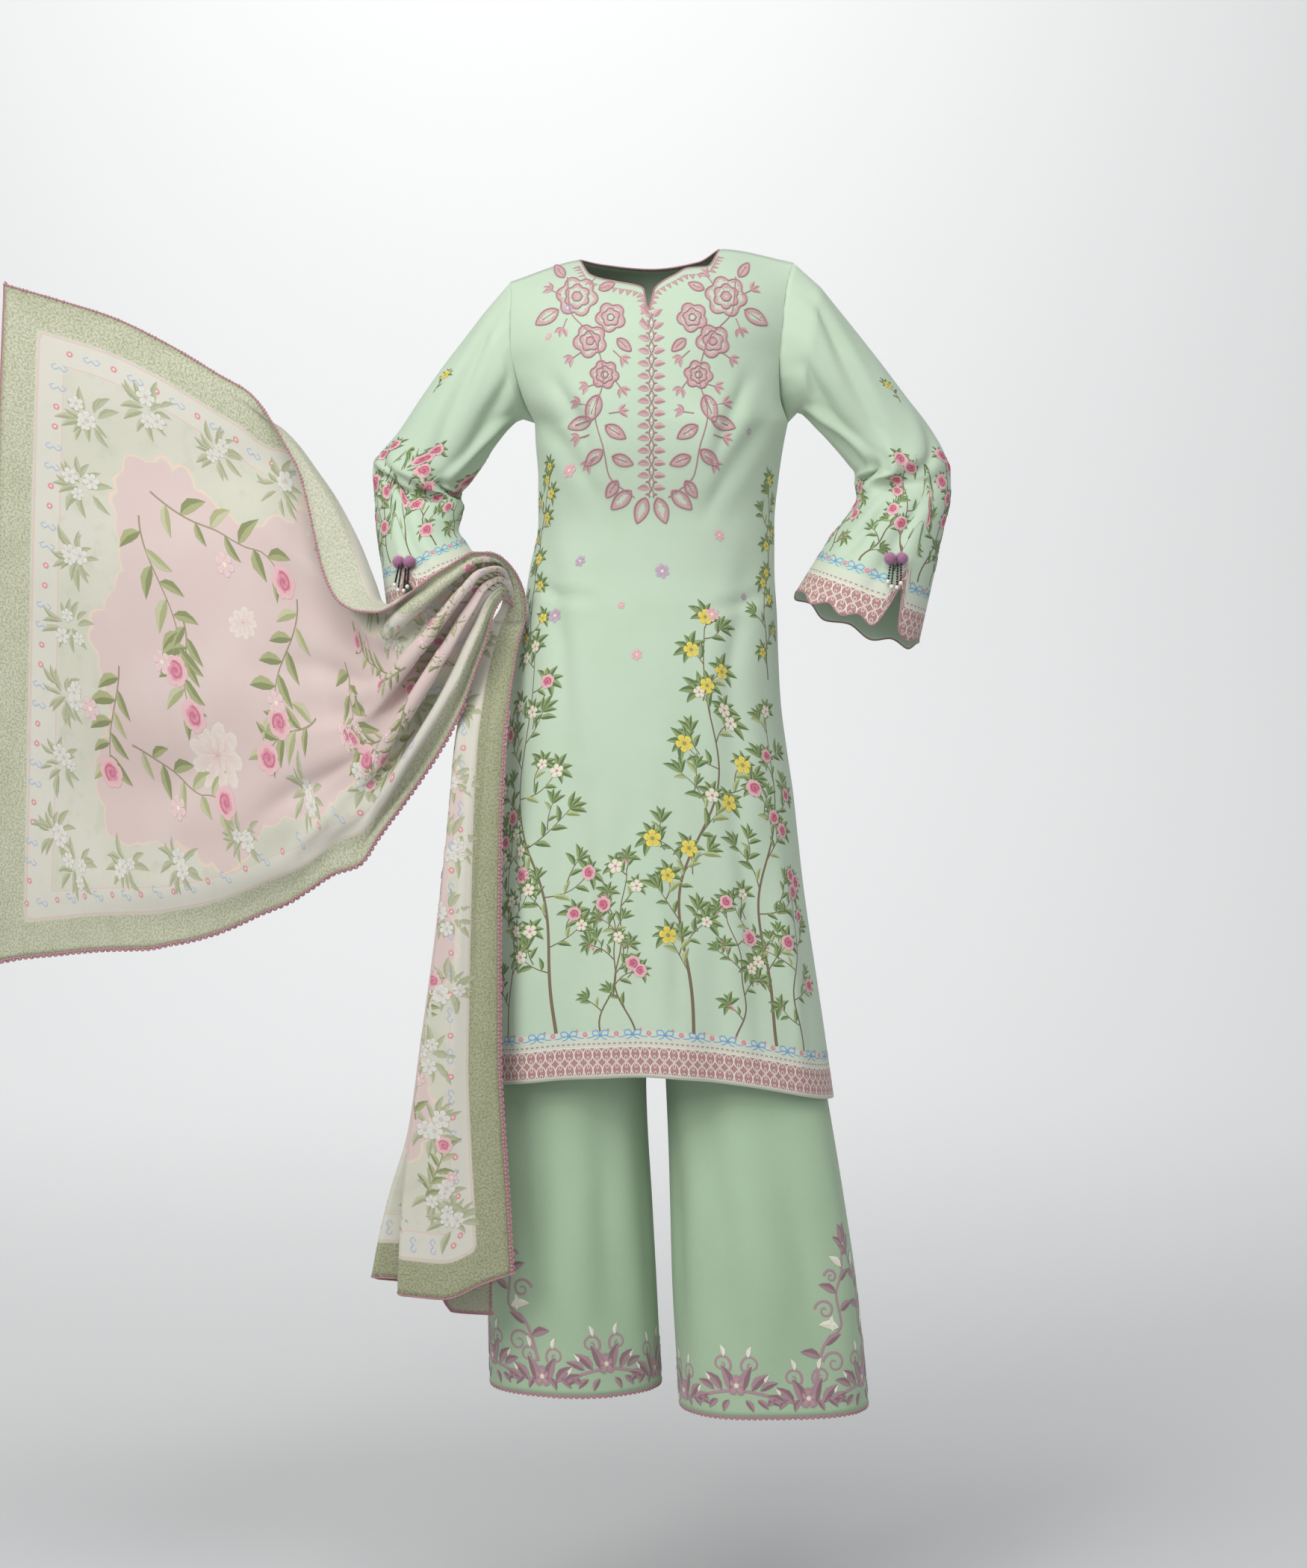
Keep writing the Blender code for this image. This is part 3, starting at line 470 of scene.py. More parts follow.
@dataclass
class ScarfForm:
    """Form of the scarf: its flying end, the stretch over the forearm and the hanging end."""

    def __post_init__(self) -> None:
        """Keep the curves of the three stretches."""
        self.fly_rows = ordered(SCARF_FLY)
        self.arm_rows = ordered(SCARF_ARM)
        self.fall_rows = columns(SCARF_FALL)
        self.step = Curve(LAYER_STEP)
        self.hem = Curve(FALL_HEM)

    @staticmethod
    def base(rows: list[Curve], share: np.ndarray, across: np.ndarray) -> np.ndarray:
        """Plain ruled cloth with its rolled upper edge; across 0 lower edge to 1 upper edge."""
        low = np.stack([rows[k](share) for k in range(3)], axis=-1)
        fold = np.stack([rows[k](share) for k in range(3, 6)], axis=-1)
        edge = np.stack([rows[k](share) for k in range(6, 9)], axis=-1)
        width = np.linalg.norm(edge - fold, axis=-1)
        chord = fold - low
        back = np.maximum(0.0, ROLL_LENGTH - width) / np.linalg.norm(chord, axis=-1)
        fold = fold - chord * back[..., None]
        flat = low + (fold - low) * (across / ROLL_START)[..., None]
        part = np.clip((across - ROLL_START) / (1 - ROLL_START), 0, 1)
        turn = np.minimum(part / 0.4, 1.0)
        curl = ease(width, 3.0, 20.0)
        along = part + (part**1.5 - part) * curl
        toward = part + (np.sin(np.pi / 2 * turn) - part) * curl
        rolled = fold + (edge - fold) * along[..., None]
        rolled[..., 1] = fold[..., 1] + (edge[..., 1] - fold[..., 1]) * toward
        return np.where((across <= ROLL_START)[..., None], flat, rolled)

    @staticmethod
    def gathers(part: np.ndarray, across: np.ndarray) -> np.ndarray:
        """Gathered folds across the scarf, nought at both edges."""
        fade = ease(part, 0.0, 0.1) * (1 - ease(across, 0.76, ROLL_START))
        return fade * np.sin(8 * np.pi * part)

    def fly(self, share: np.ndarray, across: np.ndarray) -> np.ndarray:
        """Points between the free end, share 0, and the forearm, share 1."""
        points = self.base(self.fly_rows, share, across)
        part = np.minimum(across / ROLL_START, 1.0)
        body = np.sin(np.pi * part)
        loose = 1 - ease(share, 0.5, 0.9)
        points[..., 1] -= 26 * body * (1 - ease(share, 0.55, 1.0))
        points[..., 1] += 12 * body * np.sin(9 * share + 4 * part) * loose
        points[..., 1] += 7 * np.sin(12 * share) * (1 - part) * loose
        points[..., 1] += self.gathers(part, across) * 9 * ease(share, 0.35, 0.95)
        return points

    def section(self, z: np.ndarray, index: np.ndarray) -> np.ndarray:
        """Points of the zigzag section of the hanging end; index counts from its front edge."""
        row = [c(z) for c in self.fall_rows]
        step = self.step(z)
        places = np.stack(np.broadcast_arrays(*row[1:6]), axis=0)
        span = SPAN_STEPS + TURN_STEPS
        layer = np.minimum(index // span, 3).astype(int)
        inside = index - layer * span
        start = np.take_along_axis(places, layer[None], axis=0)[0]
        end = np.take_along_axis(places, layer[None] + 1, axis=0)[0]
        radius = step / 2
        way = np.sign(end - start)
        start = np.where(layer > 0, start + way * radius, start)
        end = np.where(layer < 3, end - way * radius, end)
        y = row[6] + layer * step
        share = np.minimum(inside / SPAN_STEPS, 1)
        belly = np.sin(np.pi * share) * np.abs(end - start) * 0.05 * np.where(layer == 0, 1, 0.3)
        angle = np.pi * np.clip((inside - SPAN_STEPS) / TURN_STEPS, 0, 1)
        turning = inside > SPAN_STEPS
        x = np.where(turning, end + way * radius * np.sin(angle), start + (end - start) * share)
        y = np.where(turning, y + radius * (1 - np.cos(angle)), y - belly)
        return stack(x, y, z)

    def fall(self, row: np.ndarray, index: np.ndarray) -> np.ndarray:
        """Points of the hanging end; row 0 top to 1 hem."""
        top, low = SCARF_FALL[0][0], SCARF_FALL[-1][0]
        hem = low - self.hem(index / SCARF_COLUMNS)
        z = top + (hem - top) * row
        points = self.section(np.maximum(z, low), index)
        points[..., 2] = z
        return points

    def arm(self, share: np.ndarray, index: np.ndarray) -> np.ndarray:
        """Points over the forearm and on to the hip."""
        across = 1 - index / SCARF_COLUMNS
        points = self.base(self.arm_rows, share, across)
        part = np.minimum(across / ROLL_START, 1.0)
        blend = ease(share, 0.5, 1.0)
        points[..., 1] += self.gathers(part, across) * (9 - 6.5 * ease(share, 0.0, 0.6)) * (1 - blend)
        points[..., 1] += 16 * (1 - across) * ease(share, 0.2, 0.7) * (1 - blend)
        target = self.section(np.full_like(across, SCARF_FALL[0][0]), index)
        target[..., 2] += 0.4 + SEAM_GAP
        return points + (target - points) * blend[..., None]


@dataclass(frozen=True)
class Crease:
    """Soft trough or ridge along a path on the cloth, in the cloth's own marks."""

    path: tuple[Place, ...]
    width: float
    depth: float

    def lift(self, a: np.ndarray, b: np.ndarray) -> np.ndarray:
        """Height of the crease over the cloth, faded towards both ends of its path.

        Args:
            a: First mark of every point of the cloth.
            b: Second mark of every point of the cloth.

        Returns:
            Heights in millimetres along the outward direction.
        """
        marks = np.array(self.path, dtype=float)
        lengths = np.linalg.norm(np.diff(marks, axis=0), axis=1)
        starts = np.concatenate([[0.0], np.cumsum(lengths)])
        best = np.full(a.shape, 1e9)
        along = np.zeros(a.shape)
        for k, length in enumerate(lengths):
            run = (marks[k + 1] - marks[k]) / length
            t = np.clip((a - marks[k, 0]) * run[0] + (b - marks[k, 1]) * run[1], 0, length)
            gap = np.hypot(a - marks[k, 0] - run[0] * t, b - marks[k, 1] - run[1] * t)
            nearer = gap < best
            best = np.where(nearer, gap, best)
            along = np.where(nearer, (starts[k] + t) / starts[-1], along)
        fade = np.clip(np.sin(np.pi * np.clip(along * 0.94 + 0.03, 0, 1)), 0, 1) ** 0.7
        uneven = 1 + 0.22 * np.sin(9 * along + self.width)
        trough = np.exp(-((best / (self.width * uneven)) ** 2))
        shoulder = 0.3 * np.exp(-(((best - 1.9 * self.width) / self.width) ** 2))
        return self.depth * fade * (trough - shoulder)


@dataclass
class Cloth:
    """Fine grid of a cloth in millimetres, with its own measures.

    Rows run along the cloth and columns across it. The measure u runs across and v along.
    """

    points: np.ndarray
    out: float
    closed: bool = False
    u: Optional[np.ndarray] = None
    v: Optional[np.ndarray] = None

    def normals(self) -> np.ndarray:
        """Unit normals on the outer side."""
        wide = self.points
        if self.closed:
            wide = np.concatenate([wide[:, -2:-1], wide, wide[:, 1:2]], axis=1)
        down = np.gradient(wide, axis=0)
        over = np.gradient(wide, axis=1)
        made = np.cross(over, down)
        if self.closed:
            made = made[:, 1:-1]
        size = np.linalg.norm(made, axis=-1, keepdims=True)
        return self.out * made / np.maximum(size, 1e-9)

    def crease(self, creases: Sequence[Crease], a: np.ndarray, b: np.ndarray, hold: np.ndarray) -> None:
        """Press creases into the cloth; hold is 1 where it is free and 0 where it is sewn."""
        height = sum((c.lift(a, b) for c in creases), np.zeros(a.shape))
        self.points = self.points + self.normals() * (height * hold)[..., None]

    def measure(self, middle: float = 0.5) -> None:
        """Find u from the middle column outwards and v up from the last row, as real lengths."""
        over = np.linalg.norm(np.diff(self.points, axis=1), axis=-1)
        u = np.concatenate([np.zeros((len(self.points), 1)), np.cumsum(over, axis=1)], axis=1)
        column = int(round(middle * (u.shape[1] - 1)))
        self.u = u - u[:, column : column + 1]
        along = np.linalg.norm(np.diff(self.points, axis=0), axis=-1)
        v = np.concatenate([np.zeros((1, self.points.shape[1])), np.cumsum(along, axis=0)], axis=0)
        self.v = v[-1:] - v

    def rounded(self) -> None:
        """Swap u for the mean length round the ring, so that a pattern runs straight."""
        self.u = np.broadcast_to(self.u.mean(axis=0, keepdims=True), self.u.shape).copy()

    def place(self, spots: np.ndarray, lift: float = 0.0) -> tuple[np.ndarray, np.ndarray]:
        """Points on the cloth for given measures.

        Args:
            spots: Rows of u and v in millimetres.
            lift: Height over the cloth's middle in millimetres.

        Returns:
            Points and outward unit normals.
        """
        rows, cols = self.u.shape
        normals = self.cached_normals()
        row_at = np.full(len(spots), rows * 0.5)
        col_at = np.full(len(spots), cols * 0.5)
        for _ in range(4):
            row_at = self.find(self.v.T, col_at, spots[:, 1])
            col_at = self.find(self.u, row_at, spots[:, 0])
        i = np.clip(row_at.astype(int), 0, rows - 2)
        j = np.clip(col_at.astype(int), 0, cols - 2)
        r, c = (row_at - i)[:, None], (col_at - j)[:, None]
        found = []
        for grid in (self.points, normals):
            near = grid[i, j] * (1 - c) + grid[i, j + 1] * c
            far = grid[i + 1, j] * (1 - c) + grid[i + 1, j + 1] * c
            found.append(near * (1 - r) + far * r)
        out = found[1] / np.maximum(np.linalg.norm(found[1], axis=1, keepdims=True), 1e-9)
        return found[0] + out * lift, out

    def cached_normals(self) -> np.ndarray:
        """Normals, worked out once after the last crease."""
        if not hasattr(self, "kept") or self.kept.shape != self.points.shape:
            self.kept = self.normals()
        return self.kept

    @staticmethod
    def find(marks: np.ndarray, line_at: np.ndarray, wanted: np.ndarray) -> np.ndarray:
        """Place of each wanted measure along a line of the grid between two of its lines."""
        last = marks.shape[0] - 1
        k = np.clip(line_at.astype(int), 0, last - 1)
        share = np.clip(line_at - k, 0, 1)[:, None]
        lines = marks[k] * (1 - share) + marks[k + 1] * share
        rising = lines[:, -1:] >= lines[:, :1]
        lines = np.where(rising, lines, -lines)
        wanted = np.where(rising[:, 0], wanted, -wanted)
        n = lines.shape[1]
        hit = np.clip((lines < wanted[:, None]).sum(axis=1) - 1, 0, n - 2)
        pick = np.arange(len(wanted))
        a, b = lines[pick, hit], lines[pick, hit + 1]
        gap = np.where(np.abs(b - a) < 1e-9, 1e-9, b - a)
        return hit + np.clip((wanted - a) / gap, 0.0, 1.0)

    def shell(self, name: str, finish: bpy.types.Material, wall: float, extra: dict[str, np.ndarray]) -> bpy.types.Object:
        """Cloth with a thin wall and closed rims.

        Args:
            name: Name of the piece.
            finish: Material of the cloth.
            wall: Thickness in millimetres.
            extra: Further values of each point, kept as named attributes.

        Returns:
            The piece.
        """
        rows, cols = self.points.shape[:2]
        used = cols - 1 if self.closed else cols
        normal = self.cached_normals()
        sides = [(self.points + normal * s * wall / 2)[:, :used].reshape(-1, 3) for s in (1, -1)]
        n = rows * used
        i, j = np.meshgrid(np.arange(rows - 1), np.arange(cols - 1), indexing="ij")
        a = (i * used + j % used).ravel()
        b = (i * used + (j + 1) % used).ravel()
        quads = np.stack([a, b, b + used, a + used], axis=1)
        if self.out < 0:
            quads = quads[:, ::-1]
        faces = [quads, quads[:, ::-1] + n]
        for edge in self.rims(rows, used):
            strip = np.stack([edge[:-1], edge[1:], edge[1:] + n, edge[:-1] + n], axis=1)
            faces.append(strip[:, ::-1] if self.out > 0 else strip)
        made = mesh_of(name, np.concatenate(sides) * MM, np.concatenate(faces), finish)
        values = {"cloth_u": self.u * MM, "cloth_v": self.v * MM, **extra}
        for key, value in values.items():
            layer = made.data.attributes.new(key, "FLOAT", "POINT")
            flat = value[:, :used].ravel()
            layer.data.foreach_set("value", np.concatenate([flat, flat]).astype(np.float32))
        inside = np.concatenate([np.zeros(n), np.ones(n)]).astype(np.float32)
        made.data.attributes.new("inside", "FLOAT", "POINT").data.foreach_set("value", inside)
        return made

    def rims(self, rows: int, used: int) -> list[np.ndarray]:
        """Lines of point numbers round the open edges, with the cloth on the same hand."""
        top = np.arange(used)
        end = (rows - 1) * used + np.arange(used)[::-1]
        if self.closed:
            return [np.append(top, top[0]), np.append(end, end[0])]
        left = (np.arange(rows) * used)[::-1]
        right = np.arange(rows) * used + used - 1
        return [np.concatenate([top, right[1:], end[1:], left[1:]])]


def mesh_of(name: str, points: np.ndarray, faces: np.ndarray, finish: bpy.types.Material) -> bpy.types.Object:
    """Smooth mesh object from points in metres and faces of one size."""
    mesh = bpy.data.meshes.new(name)
    size = faces.shape[1]
    mesh.vertices.add(len(points))
    mesh.vertices.foreach_set("co", np.asarray(points, dtype=np.float32).ravel())
    mesh.loops.add(faces.size)
    mesh.loops.foreach_set("vertex_index", faces.astype(np.int32).ravel())
    mesh.polygons.add(len(faces))
    mesh.polygons.foreach_set("loop_start", np.arange(0, faces.size, size, dtype=np.int32))
    mesh.polygons.foreach_set("loop_total", np.full(len(faces), size, dtype=np.int32))
    mesh.polygons.foreach_set("use_smooth", np.ones(len(faces), dtype=bool))
    mesh.update(calc_edges=True)
    mesh.validate()
    mesh.materials.append(finish)
    made = bpy.data.objects.new(name, mesh)
    bpy.context.scene.collection.objects.link(made)
    return made


class Value:
    """Number over a surface; expressions on it add their nodes."""

    def __init__(self, shade: "Shade", socket: bpy.types.NodeSocket) -> None:
        """Keep the tree and the socket."""
        self.shade = shade
        self.socket = socket

    def math(self, kind: str, *others: "Value | float") -> "Value":
        """One Math node on this value and others."""
        made = self.shade.node("ShaderNodeMath", {"operation": kind}, {i: o for i, o in enumerate((self, *others))})
        return Value(self.shade, made.outputs[0])

    def __add__(self, other: "Value | float") -> "Value":
        """Sum."""
        return self.math("ADD", other)

    def __radd__(self, other: float) -> "Value":
        """Sum, number first."""
        return self.math("ADD", other)

    def __sub__(self, other: "Value | float") -> "Value":
        """Difference."""
        return self.math("SUBTRACT", other)

    def __rsub__(self, other: float) -> "Value":
        """Difference, number first."""
        return self.constant(other).math("SUBTRACT", self)

    def __mul__(self, other: "Value | float") -> "Value":
        """Product."""
        return self.math("MULTIPLY", other)

    def __rmul__(self, other: float) -> "Value":
        """Product, number first."""
        return self.math("MULTIPLY", other)

    def __truediv__(self, other: "Value | float") -> "Value":
        """Quotient."""
        return self.math("DIVIDE", other)

    def constant(self, number: float) -> "Value":
        """A number as the first input of a Math node."""
        made = self.shade.node("ShaderNodeMath", {"operation": "ADD"}, {0: number, 1: 0.0})
        return Value(self.shade, made.outputs[0])

    def sin(self) -> "Value":
        """Sine."""
        return self.math("SINE")

    def abs(self) -> "Value":
        """Size without sign."""
        return self.math("ABSOLUTE")

    def fract(self) -> "Value":
        """Part after the point."""
        return self.math("FRACT")

    def floor(self) -> "Value":
        """Whole part."""
        return self.math("FLOOR")

    def least(self, other: "Value | float") -> "Value":
        """Smaller of two."""
        return self.math("MINIMUM", other)

    def most(self, other: "Value | float") -> "Value":
        """Larger of two."""
        return self.math("MAXIMUM", other)

    def root(self) -> "Value":
        """Square root."""
        return self.math("SQRT")

    def rise(self, low: float, high: float) -> "Value":
        """Smooth step from 0 at low to 1 at high; falls where low is the larger."""
        first, second, start, end = (low, high, 0.0, 1.0) if low < high else (high, low, 1.0, 0.0)
        made = self.shade.node(
            "ShaderNodeMapRange",
            {"interpolation_type": "SMOOTHSTEP", "clamp": True},
            {"Value": self, "From Min": first, "From Max": second, "To Min": start, "To Max": end},
        )
        return Value(self.shade, made.outputs["Result"])

    def band(self, low: float, high: float, soft: float) -> "Value":
        """1 between two values, with soft edges."""
        return self.rise(low - soft, low + soft) * self.rise(high + soft, high - soft)


class Paint:
    """Colour over a surface."""

    def __init__(self, shade: "Shade", socket: bpy.types.NodeSocket) -> None:
        """Keep the tree and the socket."""
        self.shade = shade
        self.socket = socket

    def over(self, mask: "Value | float", colour: "Paint | Colour") -> "Paint":
        """This colour with another laid over it where the mask is 1."""
        made = self.shade.node(
            "ShaderNodeMix",
            {"data_type": "RGBA", "blend_type": "MIX", "clamp_factor": True},
            {0: mask, 6: self, 7: self.shade.tint(colour)},
        )
        return Paint(self.shade, made.outputs[2])

    def dimmed(self, mask: "Value | float", colour: Colour) -> "Paint":
        """This colour multiplied by another where the mask is 1."""
        made = self.shade.node(
            "ShaderNodeMix",
            {"data_type": "RGBA", "blend_type": "MULTIPLY", "clamp_factor": True},
            {0: mask, 6: self, 7: self.shade.tint(colour)},
        )
        return Paint(self.shade, made.outputs[2])


class Shade:
    """Node tree of one finish."""

    def __init__(self, name: str) -> None:
        """Start with one Principled shader.

        Args:
            name: Name of the material.
        """
        self.material = bpy.data.materials.new(name)
        self.material.use_nodes = True
        self.tree = self.material.node_tree
        self.principled = self.tree.nodes["Principled BSDF"]

    def node(self, kind: str, settings: dict[str, object], inputs: dict[int | str, object]) -> bpy.types.Node:
        """Any node.

        Args:
            kind: Type of the node.
            settings: Its settings, set first.
            inputs: Values or links of its sockets by name or number.

        Returns:
            The node.
        """
        made = self.tree.nodes.new(kind)
        for key, value in settings.items():
            setattr(made, key, value)
        for key, value in inputs.items():
            self.feed(made.inputs[key], value)
        return made

    def feed(self, socket: bpy.types.NodeSocket, value: object) -> None:
        """Link or set one socket."""
        if isinstance(value, (Value, Paint)):
            self.tree.links.new(value.socket, socket)
        elif isinstance(value, bpy.types.NodeSocket):
            self.tree.links.new(value, socket)
        elif value is not None:
            socket.default_value = value

    @staticmethod
    def tint(colour: "Paint | Colour") -> "Paint | tuple[float, float, float, float]":
        """Colour as a socket takes it."""
        return colour if isinstance(colour, Paint) else (*colour, 1.0)

    def plain(self, colour: Colour) -> Paint:
        """One colour all over, ready to be laid over."""
        made = self.node("ShaderNodeMix", {"data_type": "RGBA"}, {0: 0.0, 6: (*colour, 1.0), 7: (*colour, 1.0)})
        return Paint(self, made.outputs[2])

    def value(self, name: str) -> Value:
        """Named value of the piece's points."""
        made = self.node("ShaderNodeAttribute", {"attribute_name": name, "attribute_type": "GEOMETRY"}, {})
        return Value(self, made.outputs["Fac"])

    def colour(self, name: str) -> Paint:
        """Named colour of the piece's points."""
        made = self.node("ShaderNodeAttribute", {"attribute_name": name, "attribute_type": "GEOMETRY"}, {})
        return Paint(self, made.outputs["Color"])

    def place(self) -> bpy.types.NodeSocket:
        """Object coordinates."""
        return self.node("ShaderNodeTexCoord", {}, {}).outputs["Object"]

    def pair(self, u: Value, v: Value) -> bpy.types.NodeSocket:
        """Two values as one place."""
        return self.node("ShaderNodeCombineXYZ", {}, {"X": u, "Y": v}).outputs["Vector"]

    def noise(self, at: bpy.types.NodeSocket, scale: float, detail: float = 2.0) -> Value:
        """Soft cloudy value, about 0.5 on average."""
        made = self.node("ShaderNodeTexNoise", {}, {"Vector": at, "Scale": scale, "Detail": detail})
        return Value(self, made.outputs[0])

    def cells(self, at: bpy.types.NodeSocket, scale: float, feature: str = "F1") -> Value:
        """Distance to the nearest of scattered points."""
        made = self.node("ShaderNodeTexVoronoi", {"feature": feature}, {"Vector": at, "Scale": scale})
        return Value(self, made.outputs["Distance"])

    def finish(self, colour: "Paint | Colour", roughness: "Value | float", height: Optional[Value] = None,
               depth: float = 0.0002, **constants: float) -> bpy.types.Material:
        """Close the tree.

        Args:
            colour: Base colour.
            roughness: Roughness.
            height: Relief of the surface, 0 to 1.
            depth: Depth of the relief in metres.
            constants: Other sockets of the shader, spaces as underscores.

        Returns:
            The material.
        """
        self.feed(self.principled.inputs["Base Color"], self.tint(colour))
        self.feed(self.principled.inputs["Roughness"], roughness)
        for key, value in constants.items():
            self.feed(self.principled.inputs[key.replace("_", " ")], value)
        if height is not None:
            bump = self.node("ShaderNodeBump", {}, {"Strength": 0.6, "Distance": depth, "Height": height})
            self.feed(self.principled.inputs["Normal"], bump.outputs["Normal"])
        return self.material

    def weave(self, u: Value, v: Value, pitch: float) -> Value:
        """Plain weave of threads a pitch apart in metres."""
        turn = 2 * math.pi / pitch
        warp, weft = (u * turn).sin(), (v * turn).sin()
        return warp * weft * 0.25 + 0.5 + warp * 0.12 + weft * 0.12


@dataclass(frozen=True)
class LawnCloth:
    """Fine printed lawn of the tunic and its sleeves."""

    name: str
    ground: Colour = (0.490, 0.600, 0.465)
    hem_pink: Colour = (0.400, 0.215, 0.208)
    line: Colour = (0.690, 0.670, 0.590)
    deep: Colour = (0.390, 0.515, 0.365)
    lattice: tuple[float, float] = (0.003, 0.038)
    dashes: tuple[float, float] = (0.0405, 0.0425)
    pale: tuple[float, float] = (0.038, 0.056)
    tile: float = 0.0185

    def material(self) -> bpy.types.Material:
        """Ground, hem band of lattice lines, and a dashed line over it."""
        shade = Shade(self.name)
        u, v, inside = shade.value("cloth_u"), shade.value("cloth_v"), shade.value("inside")
        spot = shade.pair(u, v)
        cloud = shade.noise(spot, 7.0, 3.0)
        colour = shade.plain(self.ground).over(cloud.rise(0.35, 0.75) * 0.35, self.deep)
        slub = shade.noise(shade.pair(u * 0.08, v), 900.0, 1.0)
        colour = colour.dimmed(slub.rise(0.45, 0.75) * 0.25, (0.90, 0.92, 0.90))
        outside = 1.0 - inside
        low, high = self.lattice
        band = v.band(low, high, 0.0004) * outside
        pale = v.band(*self.pale, 0.0004) * outside
        colour = colour.over(pale * 0.75, (0.60, 0.62, 0.52))
        colour = colour.over(band, self.hem_pink)
        colour = colour.over(band * self.ogee(u, v, low, high), self.line)
        edges = v.band(low, low + 0.0016, 0.0003) + v.band(high - 0.0016, high, 0.0003)
        colour = colour.over(edges.least(1.0) * outside, self.line)
        dash = (u * 160.0).fract().band(0.1, 0.62, 0.06) * v.band(*self.dashes, 0.0003) * outside
        colour = colour.over(dash, (0.42, 0.24, 0.24))
        selvedge = v.band(-0.05, low, 0.0003) * outside
        colour = colour.over(selvedge * 0.8, (0.64, 0.63, 0.54))
        colour = colour.over(inside * 0.35, (0.52, 0.62, 0.50))
        relief = shade.weave(u, v, 0.00055) * 0.6 + slub * 0.4
        rough = slub * 0.12 + 0.66
        return shade.finish(colour, rough, relief, 0.00012, Sheen_Weight=0.18, Specular_IOR_Level=0.28)

    def ogee(self, u: Value, v: Value, low: float, high: float) -> Value:
        """Crossing bowed lines with small rings where they part, between two heights."""
        tall = self.tile
        rise = (v - high) * (1.0 / tall)
        bow = (rise * (2 * math.pi)).sin() * 0.13
        along = u * (1.0 / (tall * 0.62))
        first = ((along + rise * 1.0 + bow).fract() - 0.5).abs()
        second = ((along - rise * 1.0 - bow).fract() - 0.5).abs()
        lines = first.rise(0.080, 0.045).most(second.rise(0.080, 0.045))
        across = (rise * 2.0).fract() - 0.5
        ring = ((along.fract() - 0.5) * (along.fract() - 0.5) + across * across * 0.25).root()
        rings = ring.band(0.11, 0.16, 0.015)
        return lines.most(rings)


@dataclass(frozen=True)
class TrouserCloth:
    """Plain dyed cambric of the trousers."""

    name: str = "trouser_cambric"
    ground: Colour = (0.365, 0.490, 0.335)
    deep: Colour = (0.265, 0.380, 0.240)

    def material(self) -> bpy.types.Material:
        """Ground with faint slubs and a plain weave."""
        shade = Shade(self.name)
        u, v, inside = shade.value("cloth_u"), shade.value("cloth_v"), shade.value("inside")
        cloud = shade.noise(shade.pair(u, v), 5.0, 3.0)
        colour = shade.plain(self.ground).over(cloud.rise(0.40, 0.80) * 0.30, self.deep)
        slub = shade.noise(shade.pair(u, v * 0.08), 800.0, 1.0)
        colour = colour.dimmed(slub.rise(0.45, 0.75) * 0.25, (0.90, 0.92, 0.90))
        # painted shade: the inner side of the legs is made darker with the deep colour
        colour = colour.over(inside * 0.3, self.deep)
        relief = shade.weave(u, v, 0.0006) * 0.6 + slub * 0.4
        return shade.finish(colour, slub * 0.12 + 0.70, relief, 0.00012, Sheen_Weight=0.15, Specular_IOR_Level=0.25)


